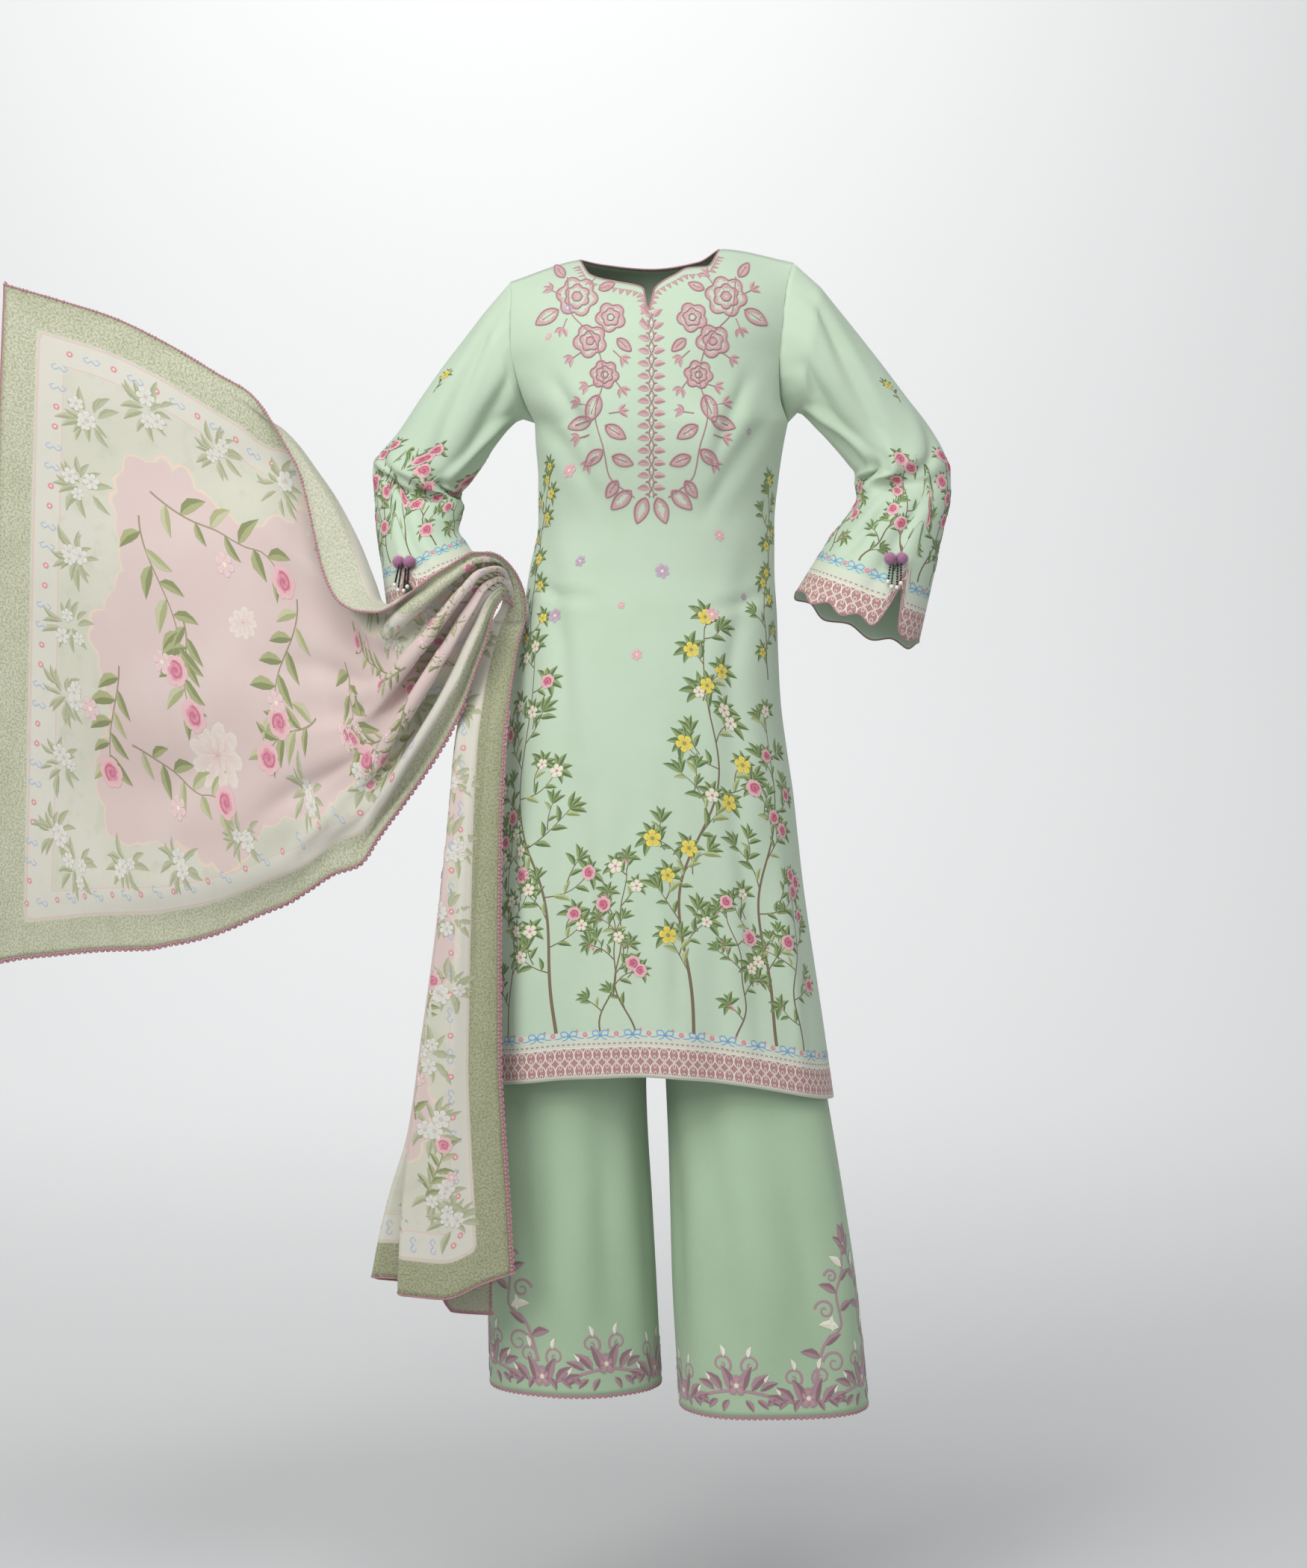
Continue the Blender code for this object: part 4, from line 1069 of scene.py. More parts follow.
@dataclass(frozen=True)
class ScarfCloth:
    """Printed chiffon of the scarf: borders, dotted strip, pale ground and pink middle."""

    name: str = "scarf_chiffon"
    border: Colour = (0.290, 0.310, 0.175)
    border_light: Colour = (0.520, 0.525, 0.405)
    strip: Colour = (0.610, 0.585, 0.520)
    ground: Colour = (0.540, 0.535, 0.440)
    middle: Colour = (0.590, 0.468, 0.440)
    peach: Colour = (0.740, 0.560, 0.460)

    def material(self) -> bpy.types.Material:
        """Bands by the distance to the nearest edge, with a scalloped pink middle."""
        shade = Shade(self.name)
        u, v, rim, inside = (shade.value(k) for k in ("cloth_u", "cloth_v", "rim", "inside"))
        spot = shade.pair(u, v)
        cloud = shade.noise(spot, 9.0, 3.0)
        wash = shade.noise(spot, 42.0, 4.0)
        ground = shade.plain(self.ground).over(cloud.rise(0.35, 0.7) * 0.5, self.strip)
        ground = ground.over(wash.rise(0.5, 0.72) * 0.45, (0.45, 0.47, 0.36))
        wave_u = ((u * 38.0).sin() + (u * 17.0 + 1.2).sin() * 0.6) * 0.021
        wave_v = ((v * 35.0).sin() + (v * 15.0 + 0.6).sin() * 0.6) * 0.021
        frill = ((u * 110.0).sin().abs() + (v * 104.0).sin().abs()) * 0.008
        reach = rim + wave_u + wave_v + frill
        pink = reach.rise(0.136, 0.139)
        blush = shade.plain(self.middle).over(cloud.rise(0.4, 0.75) * 0.45, (0.620, 0.540, 0.505))
        colour = ground.over(pink, blush)
        colour = colour.over(reach.band(0.1325, 0.1355, 0.0008), (0.720, 0.520, 0.430))
        colour = colour.over(rim.band(0.046, 0.078, 0.002) * 0.55, self.strip)
        mottle = shade.noise(spot, 380.0, 3.0)
        patch = shade.noise(spot, 28.0, 3.0)
        grain = shade.noise(spot, 900.0, 2.0)
        border = shade.plain(self.border_light).over(mottle.rise(0.38, 0.66) * 0.85, self.border)
        border = border.dimmed(patch.rise(0.40, 0.70) * 0.5, (0.84, 0.86, 0.78))
        border = border.dimmed(rim.rise(0.009, 0.001) * 0.6, (0.72, 0.75, 0.62))
        # painted shade: the border is made darker on the hanging end, where the cloth hangs folded in layers
        hanging_end_shade = v.rise(0.86, 0.74)
        border = border.dimmed(hanging_end_shade, (0.66, 0.66, 0.56))
        border = border.over(grain.rise(0.50, 0.68) * 0.35, (0.60, 0.60, 0.48))
        colour = colour.over(rim.rise(0.0440, 0.0405), border)
        fine = rim.band(0.0445, 0.0465, 0.0005) + rim.band(0.0765, 0.0780, 0.0005)
        colour = colour.over(fine.least(1.0) * 0.7, (0.62, 0.42, 0.38))
        colour = colour.over(inside * 0.25, self.strip)
        relief = shade.weave(u, v, 0.0007) * 0.7 + grain * 0.3
        return shade.finish(colour, grain * 0.15 + 0.62, relief, 0.00015, Sheen_Weight=0.25, Specular_IOR_Level=0.3)


@dataclass(frozen=True)
class ThreadWork:
    """Thread, print or bead whose colour is kept on the piece's points."""

    name: str
    rough: float
    sheen: float
    grain: float
    depth: float

    def material(self) -> bpy.types.Material:
        """Colour of the points, broken by fine thread lines."""
        shade = Shade(self.name)
        place = shade.place()
        grain = shade.noise(place, self.grain, 2.0)
        colour = shade.colour("tint").dimmed(grain.rise(0.40, 0.70) * 0.45, (0.80, 0.80, 0.80))
        return shade.finish(colour, grain * 0.15 + self.rough, grain, self.depth, Sheen_Weight=self.sheen,
                            Specular_IOR_Level=0.3)


@dataclass(frozen=True)
class SpunThread:
    """One dyed thread, twisted."""

    name: str
    colour: Colour
    dark: Colour
    rough: float = 0.6

    def material(self) -> bpy.types.Material:
        """Base colour with slanting strands and painted shade in the grooves between them."""
        shade = Shade(self.name)
        place = shade.place()
        split = shade.node("ShaderNodeSeparateXYZ", {}, {"Vector": place})
        x, z = Value(shade, split.outputs["X"]), Value(shade, split.outputs["Z"])
        strand = ((x + z) * 5200.0).sin() * 0.5 + 0.5
        wear = shade.noise(place, 180.0, 2.0)
        # painted shade: the grooves between the strands are darkened towards the dark colour
        colour = shade.plain(self.colour).over(strand.rise(0.55, 0.1) * 0.5, self.dark)
        colour = colour.over(wear.rise(0.5, 0.75) * 0.3, self.dark)
        return shade.finish(colour, wear * 0.15 + self.rough, strand, 0.0003, Sheen_Weight=0.2)


@dataclass(frozen=True)
class StudioWall:
    """Matt pale studio paper."""

    name: str = "studio_paper"
    colour: Colour = (0.80, 0.80, 0.80)
    # painted shade: colour of the floor, darker than the same paper on the wall
    floor: Colour = (0.62, 0.62, 0.63)

    def material(self) -> bpy.types.Material:
        """Plain pale finish, a little deeper on the floor as painted shade."""
        shade = Shade(self.name)
        split = shade.node("ShaderNodeSeparateXYZ", {}, {"Vector": shade.place()})
        # painted shade: the floor near the suit takes the darker floor colour, fading into the wall colour further back
        near = Value(shade, split.outputs["Y"]).rise(1.6, -0.5)
        colour = shade.plain(self.colour).over(near, self.floor)
        return shade.finish(colour, 0.9)


class Tree:
    """Geometry Nodes tree with named inputs, ending in real mesh with its finish."""

    def __init__(self, name: str, inputs: Sequence[tuple[str, str]]) -> None:
        """Start the tree.

        Args:
            name: Name of the tree.
            inputs: Names and socket types of the inputs after the geometry.
        """
        self.tree = bpy.data.node_groups.new(name, "GeometryNodeTree")
        face = self.tree.interface
        face.new_socket("Geometry", in_out="INPUT", socket_type="NodeSocketGeometry")
        self.marks = {}
        for key, kind in inputs:
            self.marks[key] = face.new_socket(key, in_out="INPUT", socket_type=kind).identifier
        face.new_socket("Geometry", in_out="OUTPUT", socket_type="NodeSocketGeometry")
        self.start = self.tree.nodes.new("NodeGroupInput")
        self.end = self.tree.nodes.new("NodeGroupOutput")

    def node(self, kind: str, settings: dict[str, object], inputs: dict[int | str, object]) -> bpy.types.Node:
        """Any node: settings first, then the values or links of its sockets."""
        made = self.tree.nodes.new(kind)
        for key, value in settings.items():
            setattr(made, key, value)
        for key, value in inputs.items():
            if isinstance(value, bpy.types.NodeSocket):
                self.tree.links.new(value, made.inputs[key])
            else:
                made.inputs[key].default_value = value
        return made

    def close(self, geometry: bpy.types.NodeSocket) -> None:
        """End in Realize Instances and Set Material."""
        real = self.node("GeometryNodeRealizeInstances", {}, {"Geometry": geometry})
        worn = self.node("GeometryNodeSetMaterial", {}, {"Geometry": real.outputs[0], "Material": self.start.outputs["Finish"]})
        self.tree.links.new(worn.outputs[0], self.end.inputs[0])

    def run(self, base: bpy.types.Object, name: str, values: dict[str, object]) -> bpy.types.Object:
        """Evaluate the tree on an object and keep the result as a plain mesh.

        Args:
            base: Object that the tree works on; it is removed.
            name: Name of the result.
            values: Values of the named inputs.

        Returns:
            The new object.
        """
        made = base.modifiers.new("Tree", "NODES")
        made.node_group = self.tree
        for key, value in values.items():
            made[self.marks[key]] = value
        bpy.context.view_layer.update()
        graph = bpy.context.evaluated_depsgraph_get()
        mesh = bpy.data.meshes.new_from_object(base.evaluated_get(graph), depsgraph=graph)
        base.modifiers.remove(made)
        bpy.data.objects.remove(base, do_unlink=True)
        mesh.name = name
        result = bpy.data.objects.new(name, mesh)
        bpy.context.scene.collection.objects.link(result)
        return result


def repeat_tree() -> Tree:
    """Tree that sets one small piece again and again along paths, facing out of the cloth."""
    made = Tree("repeat_along_path", (("Piece", "NodeSocketObject"), ("Pitch", "NodeSocketFloat"),
                ("Uneven", "NodeSocketFloat"), ("Seed", "NodeSocketInt"), ("Finish", "NodeSocketMaterial")))
    sock = made.start.outputs
    curve = made.node("GeometryNodeMeshToCurve", {}, {"Mesh": sock["Geometry"]})
    even = made.node("GeometryNodeResampleCurve", {"mode": "LENGTH"}, {"Curve": curve.outputs[0], "Length": sock["Pitch"]})
    run = made.node("GeometryNodeInputTangent", {}, {})
    out = made.node("GeometryNodeInputNamedAttribute", {"data_type": "FLOAT_VECTOR"}, {"Name": "face_out"})
    first = made.node("FunctionNodeAlignRotationToVector", {"axis": "X"}, {"Vector": run.outputs[0]})
    both = made.node("FunctionNodeAlignRotationToVector", {"axis": "Z", "pivot_axis": "X"},
                     {"Rotation": first.outputs[0], "Vector": out.outputs[0]})
    low = made.node("ShaderNodeMath", {"operation": "SUBTRACT"}, {0: 1.0, 1: sock["Uneven"]})
    high = made.node("ShaderNodeMath", {"operation": "ADD"}, {0: 1.0, 1: sock["Uneven"]})
    size = made.node("FunctionNodeRandomValue", {"data_type": "FLOAT"},
                     {2: low.outputs[0], 3: high.outputs[0], "Seed": sock["Seed"]})
    piece = made.node("GeometryNodeObjectInfo", {}, {"Object": sock["Piece"]})
    many = made.node("GeometryNodeInstanceOnPoints", {}, {"Points": even.outputs[0], "Instance": piece.outputs["Geometry"],
                     "Rotation": both.outputs[0], "Scale": size.outputs[1]})
    made.close(many.outputs[0])
    return made


def cord_tree() -> Tree:
    """Tree that makes a round cord along paths."""
    made = Tree("cord_along_path", (("Radius", "NodeSocketFloat"), ("Pitch", "NodeSocketFloat"),
                ("Sides", "NodeSocketInt"), ("Finish", "NodeSocketMaterial")))
    sock = made.start.outputs
    curve = made.node("GeometryNodeMeshToCurve", {}, {"Mesh": sock["Geometry"]})
    even = made.node("GeometryNodeResampleCurve", {"mode": "LENGTH"}, {"Curve": curve.outputs[0], "Length": sock["Pitch"]})
    ring = made.node("GeometryNodeCurvePrimitiveCircle", {}, {"Resolution": sock["Sides"], "Radius": sock["Radius"]})
    tube = made.node("GeometryNodeCurveToMesh", {}, {"Curve": even.outputs[0], "Profile Curve": ring.outputs[0], "Fill Caps": True})
    made.close(tube.outputs[0])
    return made


def pile_tree() -> Tree:
    """Tree that sets fine hairs all over a body, standing out of it."""
    made = Tree("pile_on_body", (("Piece", "NodeSocketObject"), ("Density", "NodeSocketFloat"),
                ("Seed", "NodeSocketInt"), ("Finish", "NodeSocketMaterial")))
    sock = made.start.outputs
    spots = made.node("GeometryNodeDistributePointsOnFaces", {}, {"Mesh": sock["Geometry"], "Density": sock["Density"],
                      "Seed": sock["Seed"]})
    size = made.node("FunctionNodeRandomValue", {"data_type": "FLOAT"}, {2: 0.7, 3: 1.15, "Seed": sock["Seed"]})
    piece = made.node("GeometryNodeObjectInfo", {}, {"Object": sock["Piece"]})
    many = made.node("GeometryNodeInstanceOnPoints", {}, {"Points": spots.outputs["Points"], "Instance": piece.outputs["Geometry"],
                     "Rotation": spots.outputs["Rotation"], "Scale": size.outputs[1]})
    both = made.node("GeometryNodeJoinGeometry", {}, {})
    made.tree.links.new(many.outputs[0], both.inputs[0])
    made.tree.links.new(sock["Geometry"], both.inputs[0])
    made.close(both.outputs[0])
    return made


@dataclass
class Paths:
    """Lines on a cloth, each with its outward directions, in millimetres."""

    name: str
    lines: list[tuple[np.ndarray, np.ndarray, bool]] = field(default_factory=list)

    def draw(self, cloth: Cloth, spots: Sequence[Place], lift: float, loop: bool = False) -> None:
        """Add a line given by the cloth's measures."""
        points, out = cloth.place(np.array(spots, dtype=float), lift)
        self.lines.append((points, out, loop))

    def row(self, cloth: Cloth, row: int, lift: float, loop: bool = False) -> None:
        """Add a line along one row of the cloth's grid."""
        last = -1 if loop else None
        out = cloth.cached_normals()[row][:last]
        self.lines.append((cloth.points[row][:last] + out * lift, out, loop))

    def column(self, cloth: Cloth, column: int, lift: float, part: slice = slice(None)) -> None:
        """Add a line along one column of the cloth's grid."""
        out = cloth.cached_normals()[part, column]
        self.lines.append((cloth.points[part, column] + out * lift, out, False))

    def object(self) -> bpy.types.Object:
        """All lines as one mesh of edges, with the outward direction on its points."""
        points, outs, edges = [], [], []
        for line, out, loop in self.lines:
            start = sum(len(p) for p in points)
            count = len(line)
            edges += [(start + k, start + k + 1) for k in range(count - 1)]
            if loop:
                edges.append((start + count - 1, start))
            points.append(line)
            outs.append(out)
        mesh = bpy.data.meshes.new(self.name)
        mesh.from_pydata((np.concatenate(points) * MM).tolist(), edges, [])
        layer = mesh.attributes.new("face_out", "FLOAT_VECTOR", "POINT")
        layer.data.foreach_set("vector", np.concatenate(outs).astype(np.float32).ravel())
        made = bpy.data.objects.new(self.name, mesh)
        bpy.context.scene.collection.objects.link(made)
        return made


@dataclass
class Trims:
    """The two path trees and the small pieces that they set."""

    repeat: Tree = field(default_factory=repeat_tree)
    cord: Tree = field(default_factory=cord_tree)
    pile: Tree = field(default_factory=pile_tree)

    def along(self, paths: Paths, piece: bpy.types.Object, pitch: float, finish: bpy.types.Material,
              uneven: float = 0.0, seed: int = 1) -> bpy.types.Object:
        """Small pieces along the paths at a pitch in millimetres."""
        values = {"Piece": piece, "Pitch": pitch * MM, "Uneven": uneven, "Seed": seed, "Finish": finish}
        made = self.repeat.run(paths.object(), paths.name, values)
        bpy.data.objects.remove(piece, do_unlink=True)
        return made

    def cords(self, paths: Paths, radius: float, finish: bpy.types.Material, pitch: float = 2.5,
              sides: int = 6) -> bpy.types.Object:
        """Round cord along the paths, sizes in millimetres."""
        values = {"Radius": radius * MM, "Pitch": pitch * MM, "Sides": sides, "Finish": finish}
        return self.cord.run(paths.object(), paths.name, values)


def spiral(at: Place, radius: float, turn: float, way: int, count: int = 18) -> np.ndarray:
    """Points of a curl that winds inwards from its rim; way 1 runs left about, -1 right about."""
    a = np.linspace(0, 8.4, count)
    reach = radius * (1 - a / 9.6)
    return np.stack([at[0] + reach * np.cos(turn + way * a), at[1] + reach * np.sin(turn + way * a)], axis=1)


@dataclass
class FlatWork:
    """Flat leaves, petals and ribbons that lie on a cloth, laid out by its measures in millimetres."""

    spots: list[np.ndarray] = field(default_factory=list)
    lifts: list[np.ndarray] = field(default_factory=list)
    tints: list[np.ndarray] = field(default_factory=list)
    faces: list[np.ndarray] = field(default_factory=list)
    count: int = 0

    def add(self, spots: np.ndarray, lifts: np.ndarray, tints: np.ndarray, faces: Sequence[Sequence[int]]) -> None:
        """Add one patch of triangles."""
        self.spots.append(np.asarray(spots, float))
        self.lifts.append(np.asarray(lifts, float))
        self.tints.append(np.asarray(tints, float))
        self.faces.append(np.asarray(faces, int) + self.count)
        self.count += len(spots)

    def fan(self, rim: np.ndarray, heart: Place, edge: Colour, middle: Colour, height: float, low: float = 0.0) -> None:
        """Patch from its middle to its rim, with the colour changing on the way."""
        n = len(rim)
        spots = np.vstack([[heart], rim])
        tints = np.vstack([[middle], np.tile(edge, (n, 1))])
        lifts = np.concatenate([[height], np.full(n, low)])
        self.add(spots, lifts, tints, [(0, 1 + k, 1 + (k + 1) % n) for k in range(n)])

    def leaf(self, at: Place, angle: float, length: float, width: float, light: Colour, dark: Colour,
             low: float = 0.0) -> None:
        """Pointed leaf with a light and a dark half, bowed a little."""
        t = np.array([0.0, 0.22, 0.5, 0.78, 1.0])
        half = width / 2 * np.array([0.0, 0.82, 1.0, 0.58, 0.0])
        bow = 0.10 * length * np.sin(np.pi * t) * (1 if math.cos(angle) > 0 else -1)
        x = np.concatenate([t, t, t[1:4], t[1:4]]) * length
        y = np.concatenate([bow, bow, bow[1:4] + half[1:4], bow[1:4] - half[1:4]])
        c, s = math.cos(angle), math.sin(angle)
        spots = np.stack([at[0] + x * c - y * s, at[1] + x * s + y * c], axis=1)
        lifts = np.concatenate([np.full(10, 0.28), np.zeros(6)]) + low
        tints = np.array([light] * 5 + [dark] * 5 + [light] * 3 + [dark] * 3)
        upper = [(0, 1, 10), (1, 11, 10), (1, 2, 11), (2, 12, 11), (2, 3, 12), (3, 4, 12)]
        lower = [(5, 13, 6), (6, 13, 14), (6, 14, 7), (7, 14, 15), (7, 15, 8), (8, 15, 9)]
        self.add(spots, lifts, tints, upper + lower)

    def petal(self, at: Place, angle: float, length: float, width: float, edge: Colour, root: Colour,
              low: float = 0.0) -> None:
        """Round-ended petal, deeper in colour at its root."""
        t = np.array([0.0, 0.35, 0.72, 0.95, 1.04, 0.95, 0.72, 0.35])
        side = np.array([0.0, 0.30, 0.50, 0.34, 0.0, -0.34, -0.50, -0.30])
        c, s = math.cos(angle), math.sin(angle)
        x, y = t * length, side * width
        rim = np.stack([at[0] + x * c - y * s, at[1] + x * s + y * c], axis=1)
        heart = (at[0] + 0.42 * length * c, at[1] + 0.42 * length * s)
        n = len(rim)
        tints = np.vstack([[tuple(0.5 * (a + b) for a, b in zip(edge, root))], [root], np.tile(edge, (n - 1, 1))])
        lifts = np.concatenate([[0.25], np.zeros(n)]) + low
        self.add(np.vstack([[heart], rim]), lifts, tints, [(0, 1 + k, 1 + (k + 1) % n) for k in range(n)])

    def disc(self, at: Place, radius: float, colour: Colour, low: float = 0.1, sides: int = 7) -> None:
        """Small round spot."""
        turn = np.linspace(0, 2 * math.pi, sides, endpoint=False)
        rim = np.stack([at[0] + radius * np.cos(turn), at[1] + radius * np.sin(turn)], axis=1)
        self.fan(rim, at, colour, colour, low + 0.2, low)

    def blossom(self, at: Place, radius: float, petals: int, edge: Colour, root: Colour, heart: Colour,
                turn: float = 0.0) -> None:
        """Open flower with a spotted heart."""
        for k in range(petals):
            self.petal(at, turn + 2 * math.pi * k / petals, radius, radius * 4.1 / petals, edge, root, 0.35 + 0.02 * k)
        self.disc(at, radius * 0.24, heart, 0.6)

    def rose(self, at: Place, radius: float, edge: Colour, middle: Colour, deep: Colour, turn: float = 0.0) -> None:
        """Full flower of two rings of petals under a curled line."""
        for size, petals, outer, inner, low in ((1.0, 6, edge, middle, 0.35), (0.62, 5, middle, deep, 0.55)):
            for k in range(petals):
                angle = turn + size * 2 + 2 * math.pi * k / petals
                self.petal(at, angle, radius * size, radius * size * 0.95, outer, inner, low)
        self.ribbon(spiral(at, radius * 0.62, turn, 1), radius * 0.15, radius * 0.10, deep, 0.15, 0.85)

    def ribbon(self, path: np.ndarray, start: float, end: float, colour: Colour, height: float = 0.15,
               low: float = 0.0) -> None:
        """Line of a width that changes from start to end, with a painted highlight along its raised middle."""
        path = np.asarray(path, float)
        run = np.gradient(path, axis=0)
        run /= np.maximum(np.linalg.norm(run, axis=1, keepdims=True), 1e-9)
        side = np.stack([-run[:, 1], run[:, 0]], axis=1)
        half = np.linspace(start, end, len(path))[:, None] / 2
        n = len(path)
        spots = np.vstack([path + side * half, path, path - side * half])
        lifts = np.concatenate([np.full(n, low), np.full(n, low + height), np.full(n, low)])
        # painted highlight: the raised middle line is 12 percent lighter than the edges
        tints = np.vstack([np.tile(colour, (n, 1)), np.tile([1.12 * c for c in colour], (n, 1)), np.tile(colour, (n, 1))])
        faces = []
        for k in range(n - 1):
            for a in (0, n):
                faces += [(a + k, a + n + k, a + k + 1), (a + k + 1, a + n + k, a + n + k + 1)]
        self.add(spots, lifts, tints, faces)

    def build(self, name: str, cloth: Cloth, finish: bpy.types.Material, wall: float, lift: float = 0.12) -> bpy.types.Object:
        """All patches as one piece on the cloth.

        Args:
            name: Name of the piece.
            cloth: Cloth that carries it.
            finish: Material, which reads the point colour.
            wall: Thickness of the cloth.
            lift: Height of the lowest points over the cloth.

        Returns:
            The piece.
        """
        spots = np.concatenate(self.spots)
        points, out = cloth.place(spots)
        lifts = np.concatenate(self.lifts) + wall / 2 + lift
        points = points + out * lifts[:, None]
        faces = np.concatenate(self.faces)
        a, b, c = (points[faces[:, k]] for k in range(3))
        normal = np.cross(b - a, c - a)
        size = np.linalg.norm(normal, axis=1)
        wrong = (normal * out[faces[:, 0]]).sum(axis=1) < 0
        faces[wrong] = faces[wrong][:, ::-1]
        longest = np.max([np.linalg.norm(p - q, axis=1) for p, q in ((a, b), (b, c), (c, a))], axis=0)
        faces = faces[(size > 1e-4) & (longest < 60)]
        made = mesh_of(name, points * MM, faces, finish)
        layer = made.data.attributes.new("tint", "FLOAT_COLOR", "POINT")
        tints = np.hstack([np.concatenate(self.tints), np.ones((len(points), 1))])
        layer.data.foreach_set("color", np.clip(tints, 0, 1).astype(np.float32).ravel())
        return made


def small_piece(name: str, points: Sequence[Sequence[float]], faces: Sequence[Sequence[int]],
                tints: Optional[Sequence[Colour]] = None) -> bpy.types.Object:
    """Small piece in millimetres that a tree sets again and again."""
    mesh = bpy.data.meshes.new(name)
    mesh.from_pydata([tuple(c * MM for c in p) for p in points], [], [tuple(f) for f in faces])
    mesh.update()
    if tints is not None:
        layer = mesh.attributes.new("tint", "FLOAT_COLOR", "POINT")
        layer.data.foreach_set("color", np.array([(*t, 1.0) for t in tints], dtype=np.float32).ravel())
    for face in mesh.polygons:
        face.use_smooth = True
    made = bpy.data.objects.new(name, mesh)
    bpy.context.scene.collection.objects.link(made)
    return made


def low_bar(name: str, x: Place, y: Place, height: float, colour: Colour) -> bpy.types.Object:
    """Low rounded bar between two x and two y, as one short stitch."""
    (x0, x1), (y0, y1) = x, y
    mid = (y0 + y1) / 2
    inset = (x1 - x0) * 0.3
    points = [(x0, y0, 0), (x1, y0, 0), (x1, y1, 0), (x0, y1, 0), (x0 + inset, mid, height), (x1 - inset, mid, height)]
    return small_piece(name, points, [(0, 1, 5, 4), (2, 3, 4, 5), (0, 4, 3), (1, 2, 5)], [colour] * 6)


def ball(name: str, radius: float, colour: Colour, rings: int = 4, sides: int = 7) -> bpy.types.Object:
    """Small bead."""
    points, faces = [(0.0, 0.0, -radius)], []
    for i in range(1, rings):
        tilt = math.pi * i / rings
        for k in range(sides):
            turn = 2 * math.pi * k / sides
            points.append((radius * math.sin(tilt) * math.cos(turn), radius * math.sin(tilt) * math.sin(turn),
                           -radius * math.cos(tilt)))
    points.append((0.0, 0.0, radius))
    last = len(points) - 1
    for k in range(sides):
        n = (k + 1) % sides
        faces.append((0, 1 + n, 1 + k))
        for i in range(rings - 2):
            a, b = 1 + i * sides + k, 1 + i * sides + n
            faces.append((a, b, b + sides, a + sides))
        faces.append((last - sides + k, last - sides + n, last))
    return small_piece(name, points, faces, [colour] * len(points))


def scallop(name: str, radius: float, colour: Colour, pale: Colour) -> bpy.types.Object:
    """Half-round lace loop with a small hole; it hangs on the +Y side of its path."""
    points, tints, faces = [], [], []
    n = 9
    for k in range(n):
        turn = math.pi * k / (n - 1)
        for size, height, tint in ((0.42, 0.0, pale), (0.72, 0.55, colour), (1.0, 0.0, colour)):
            points.append((-radius * size * math.cos(turn), radius * size * 1.05 * math.sin(turn), height))
            tints.append(tint)
    for k in range(n - 1):
        for s in range(2):
            a = 3 * k + s
            faces += [(a, a + 3, a + 4, a + 1), (a + 1, a + 4, a + 3, a)] if s < 0 else [(a, a + 3, a + 4, a + 1)]
    under = [tuple(reversed(f)) for f in faces]
    shift = len(points)
    points += [(x, y, -0.5 - 0.3 * z) for x, y, z in points]
    faces += [tuple(i + shift for i in f) for f in under]
    return small_piece(name, points, faces, tints * 2)


@dataclass(frozen=True)
class Threads:
    """Colours of the threads and inks."""

    rose: Colour = (0.430, 0.225, 0.245)
    rose_light: Colour = (0.560, 0.350, 0.360)
    rose_dark: Colour = (0.340, 0.165, 0.190)
    mauve: Colour = (0.370, 0.235, 0.265)
    mauve_dark: Colour = (0.255, 0.145, 0.170)
    cream: Colour = (0.720, 0.680, 0.520)
    leaf: Colour = (0.255, 0.325, 0.135)
    leaf_dark: Colour = (0.105, 0.170, 0.070)
    leaf_pale: Colour = (0.430, 0.460, 0.230)
    stem: Colour = (0.175, 0.130, 0.080)
    yellow: Colour = (0.780, 0.640, 0.120)
    amber: Colour = (0.560, 0.380, 0.050)
    pink: Colour = (0.720, 0.460, 0.480)
    pink_mid: Colour = (0.640, 0.240, 0.310)
    pink_deep: Colour = (0.460, 0.090, 0.150)
    white: Colour = (0.780, 0.760, 0.690)
    blue: Colour = (0.150, 0.345, 0.580)
    lilac: Colour = (0.520, 0.400, 0.520)


INK = Threads()


def bowed(start: Place, end: Place, bow: float, count: int = 10) -> np.ndarray:
    """Points of a bowed line; bow is its height as a share of its length."""
    a, b = np.array(start, float), np.array(end, float)
    t = np.linspace(0, 1, count)[:, None]
    run = b - a
    side = np.array([-run[1], run[0]])
    return a + run * t + side * bow * np.sin(np.pi * t)


def through(marks: Sequence[Place], count: int) -> np.ndarray:
    """Smooth line through given marks."""
    marks = np.array(marks, float)
    at = np.concatenate([[0.0], np.cumsum(np.linalg.norm(np.diff(marks, axis=0), axis=1))])
    t = np.linspace(0, at[-1], count)
    return np.stack([Curve(zip(at, marks[:, k]))(t) for k in range(2)], axis=1)


def leaf_rim(at: Place, angle: float, length: float, width: float, count: int = 22) -> list[Place]:
    """Closed outline of a pointed leaf, run so that its inside is on the left."""
    t = np.linspace(0, 1, count // 2, endpoint=False)
    half = width / 2 * np.sin(np.pi * t**0.85) ** 0.8
    x = np.concatenate([t, 1 - t]) * length
    y = np.concatenate([-half, half[::-1][: len(t)]])
    y[len(t)] = 0.0
    y[len(t) + 1 :] = width / 2 * np.sin(np.pi * (1 - t[1:]) ** 0.85) ** 0.8
    c, s = math.cos(angle), math.sin(angle)
    return [(at[0] + p * c - q * s, at[1] + p * s + q * c) for p, q in zip(x, y)]


def lobed_rim(at: Place, radius: float, lobes: int, depth: float, turn: float, count: int = 40) -> list[Place]:
    """Closed outline of a lobed flower."""
    made = []
    for k in range(count):
        a = 2 * math.pi * k / count
        r = radius * (1 - depth * (1 - abs(math.sin(lobes * (a - turn) / 2))))
        made.append((at[0] + r * math.cos(a), at[1] + r * math.sin(a)))
    return made


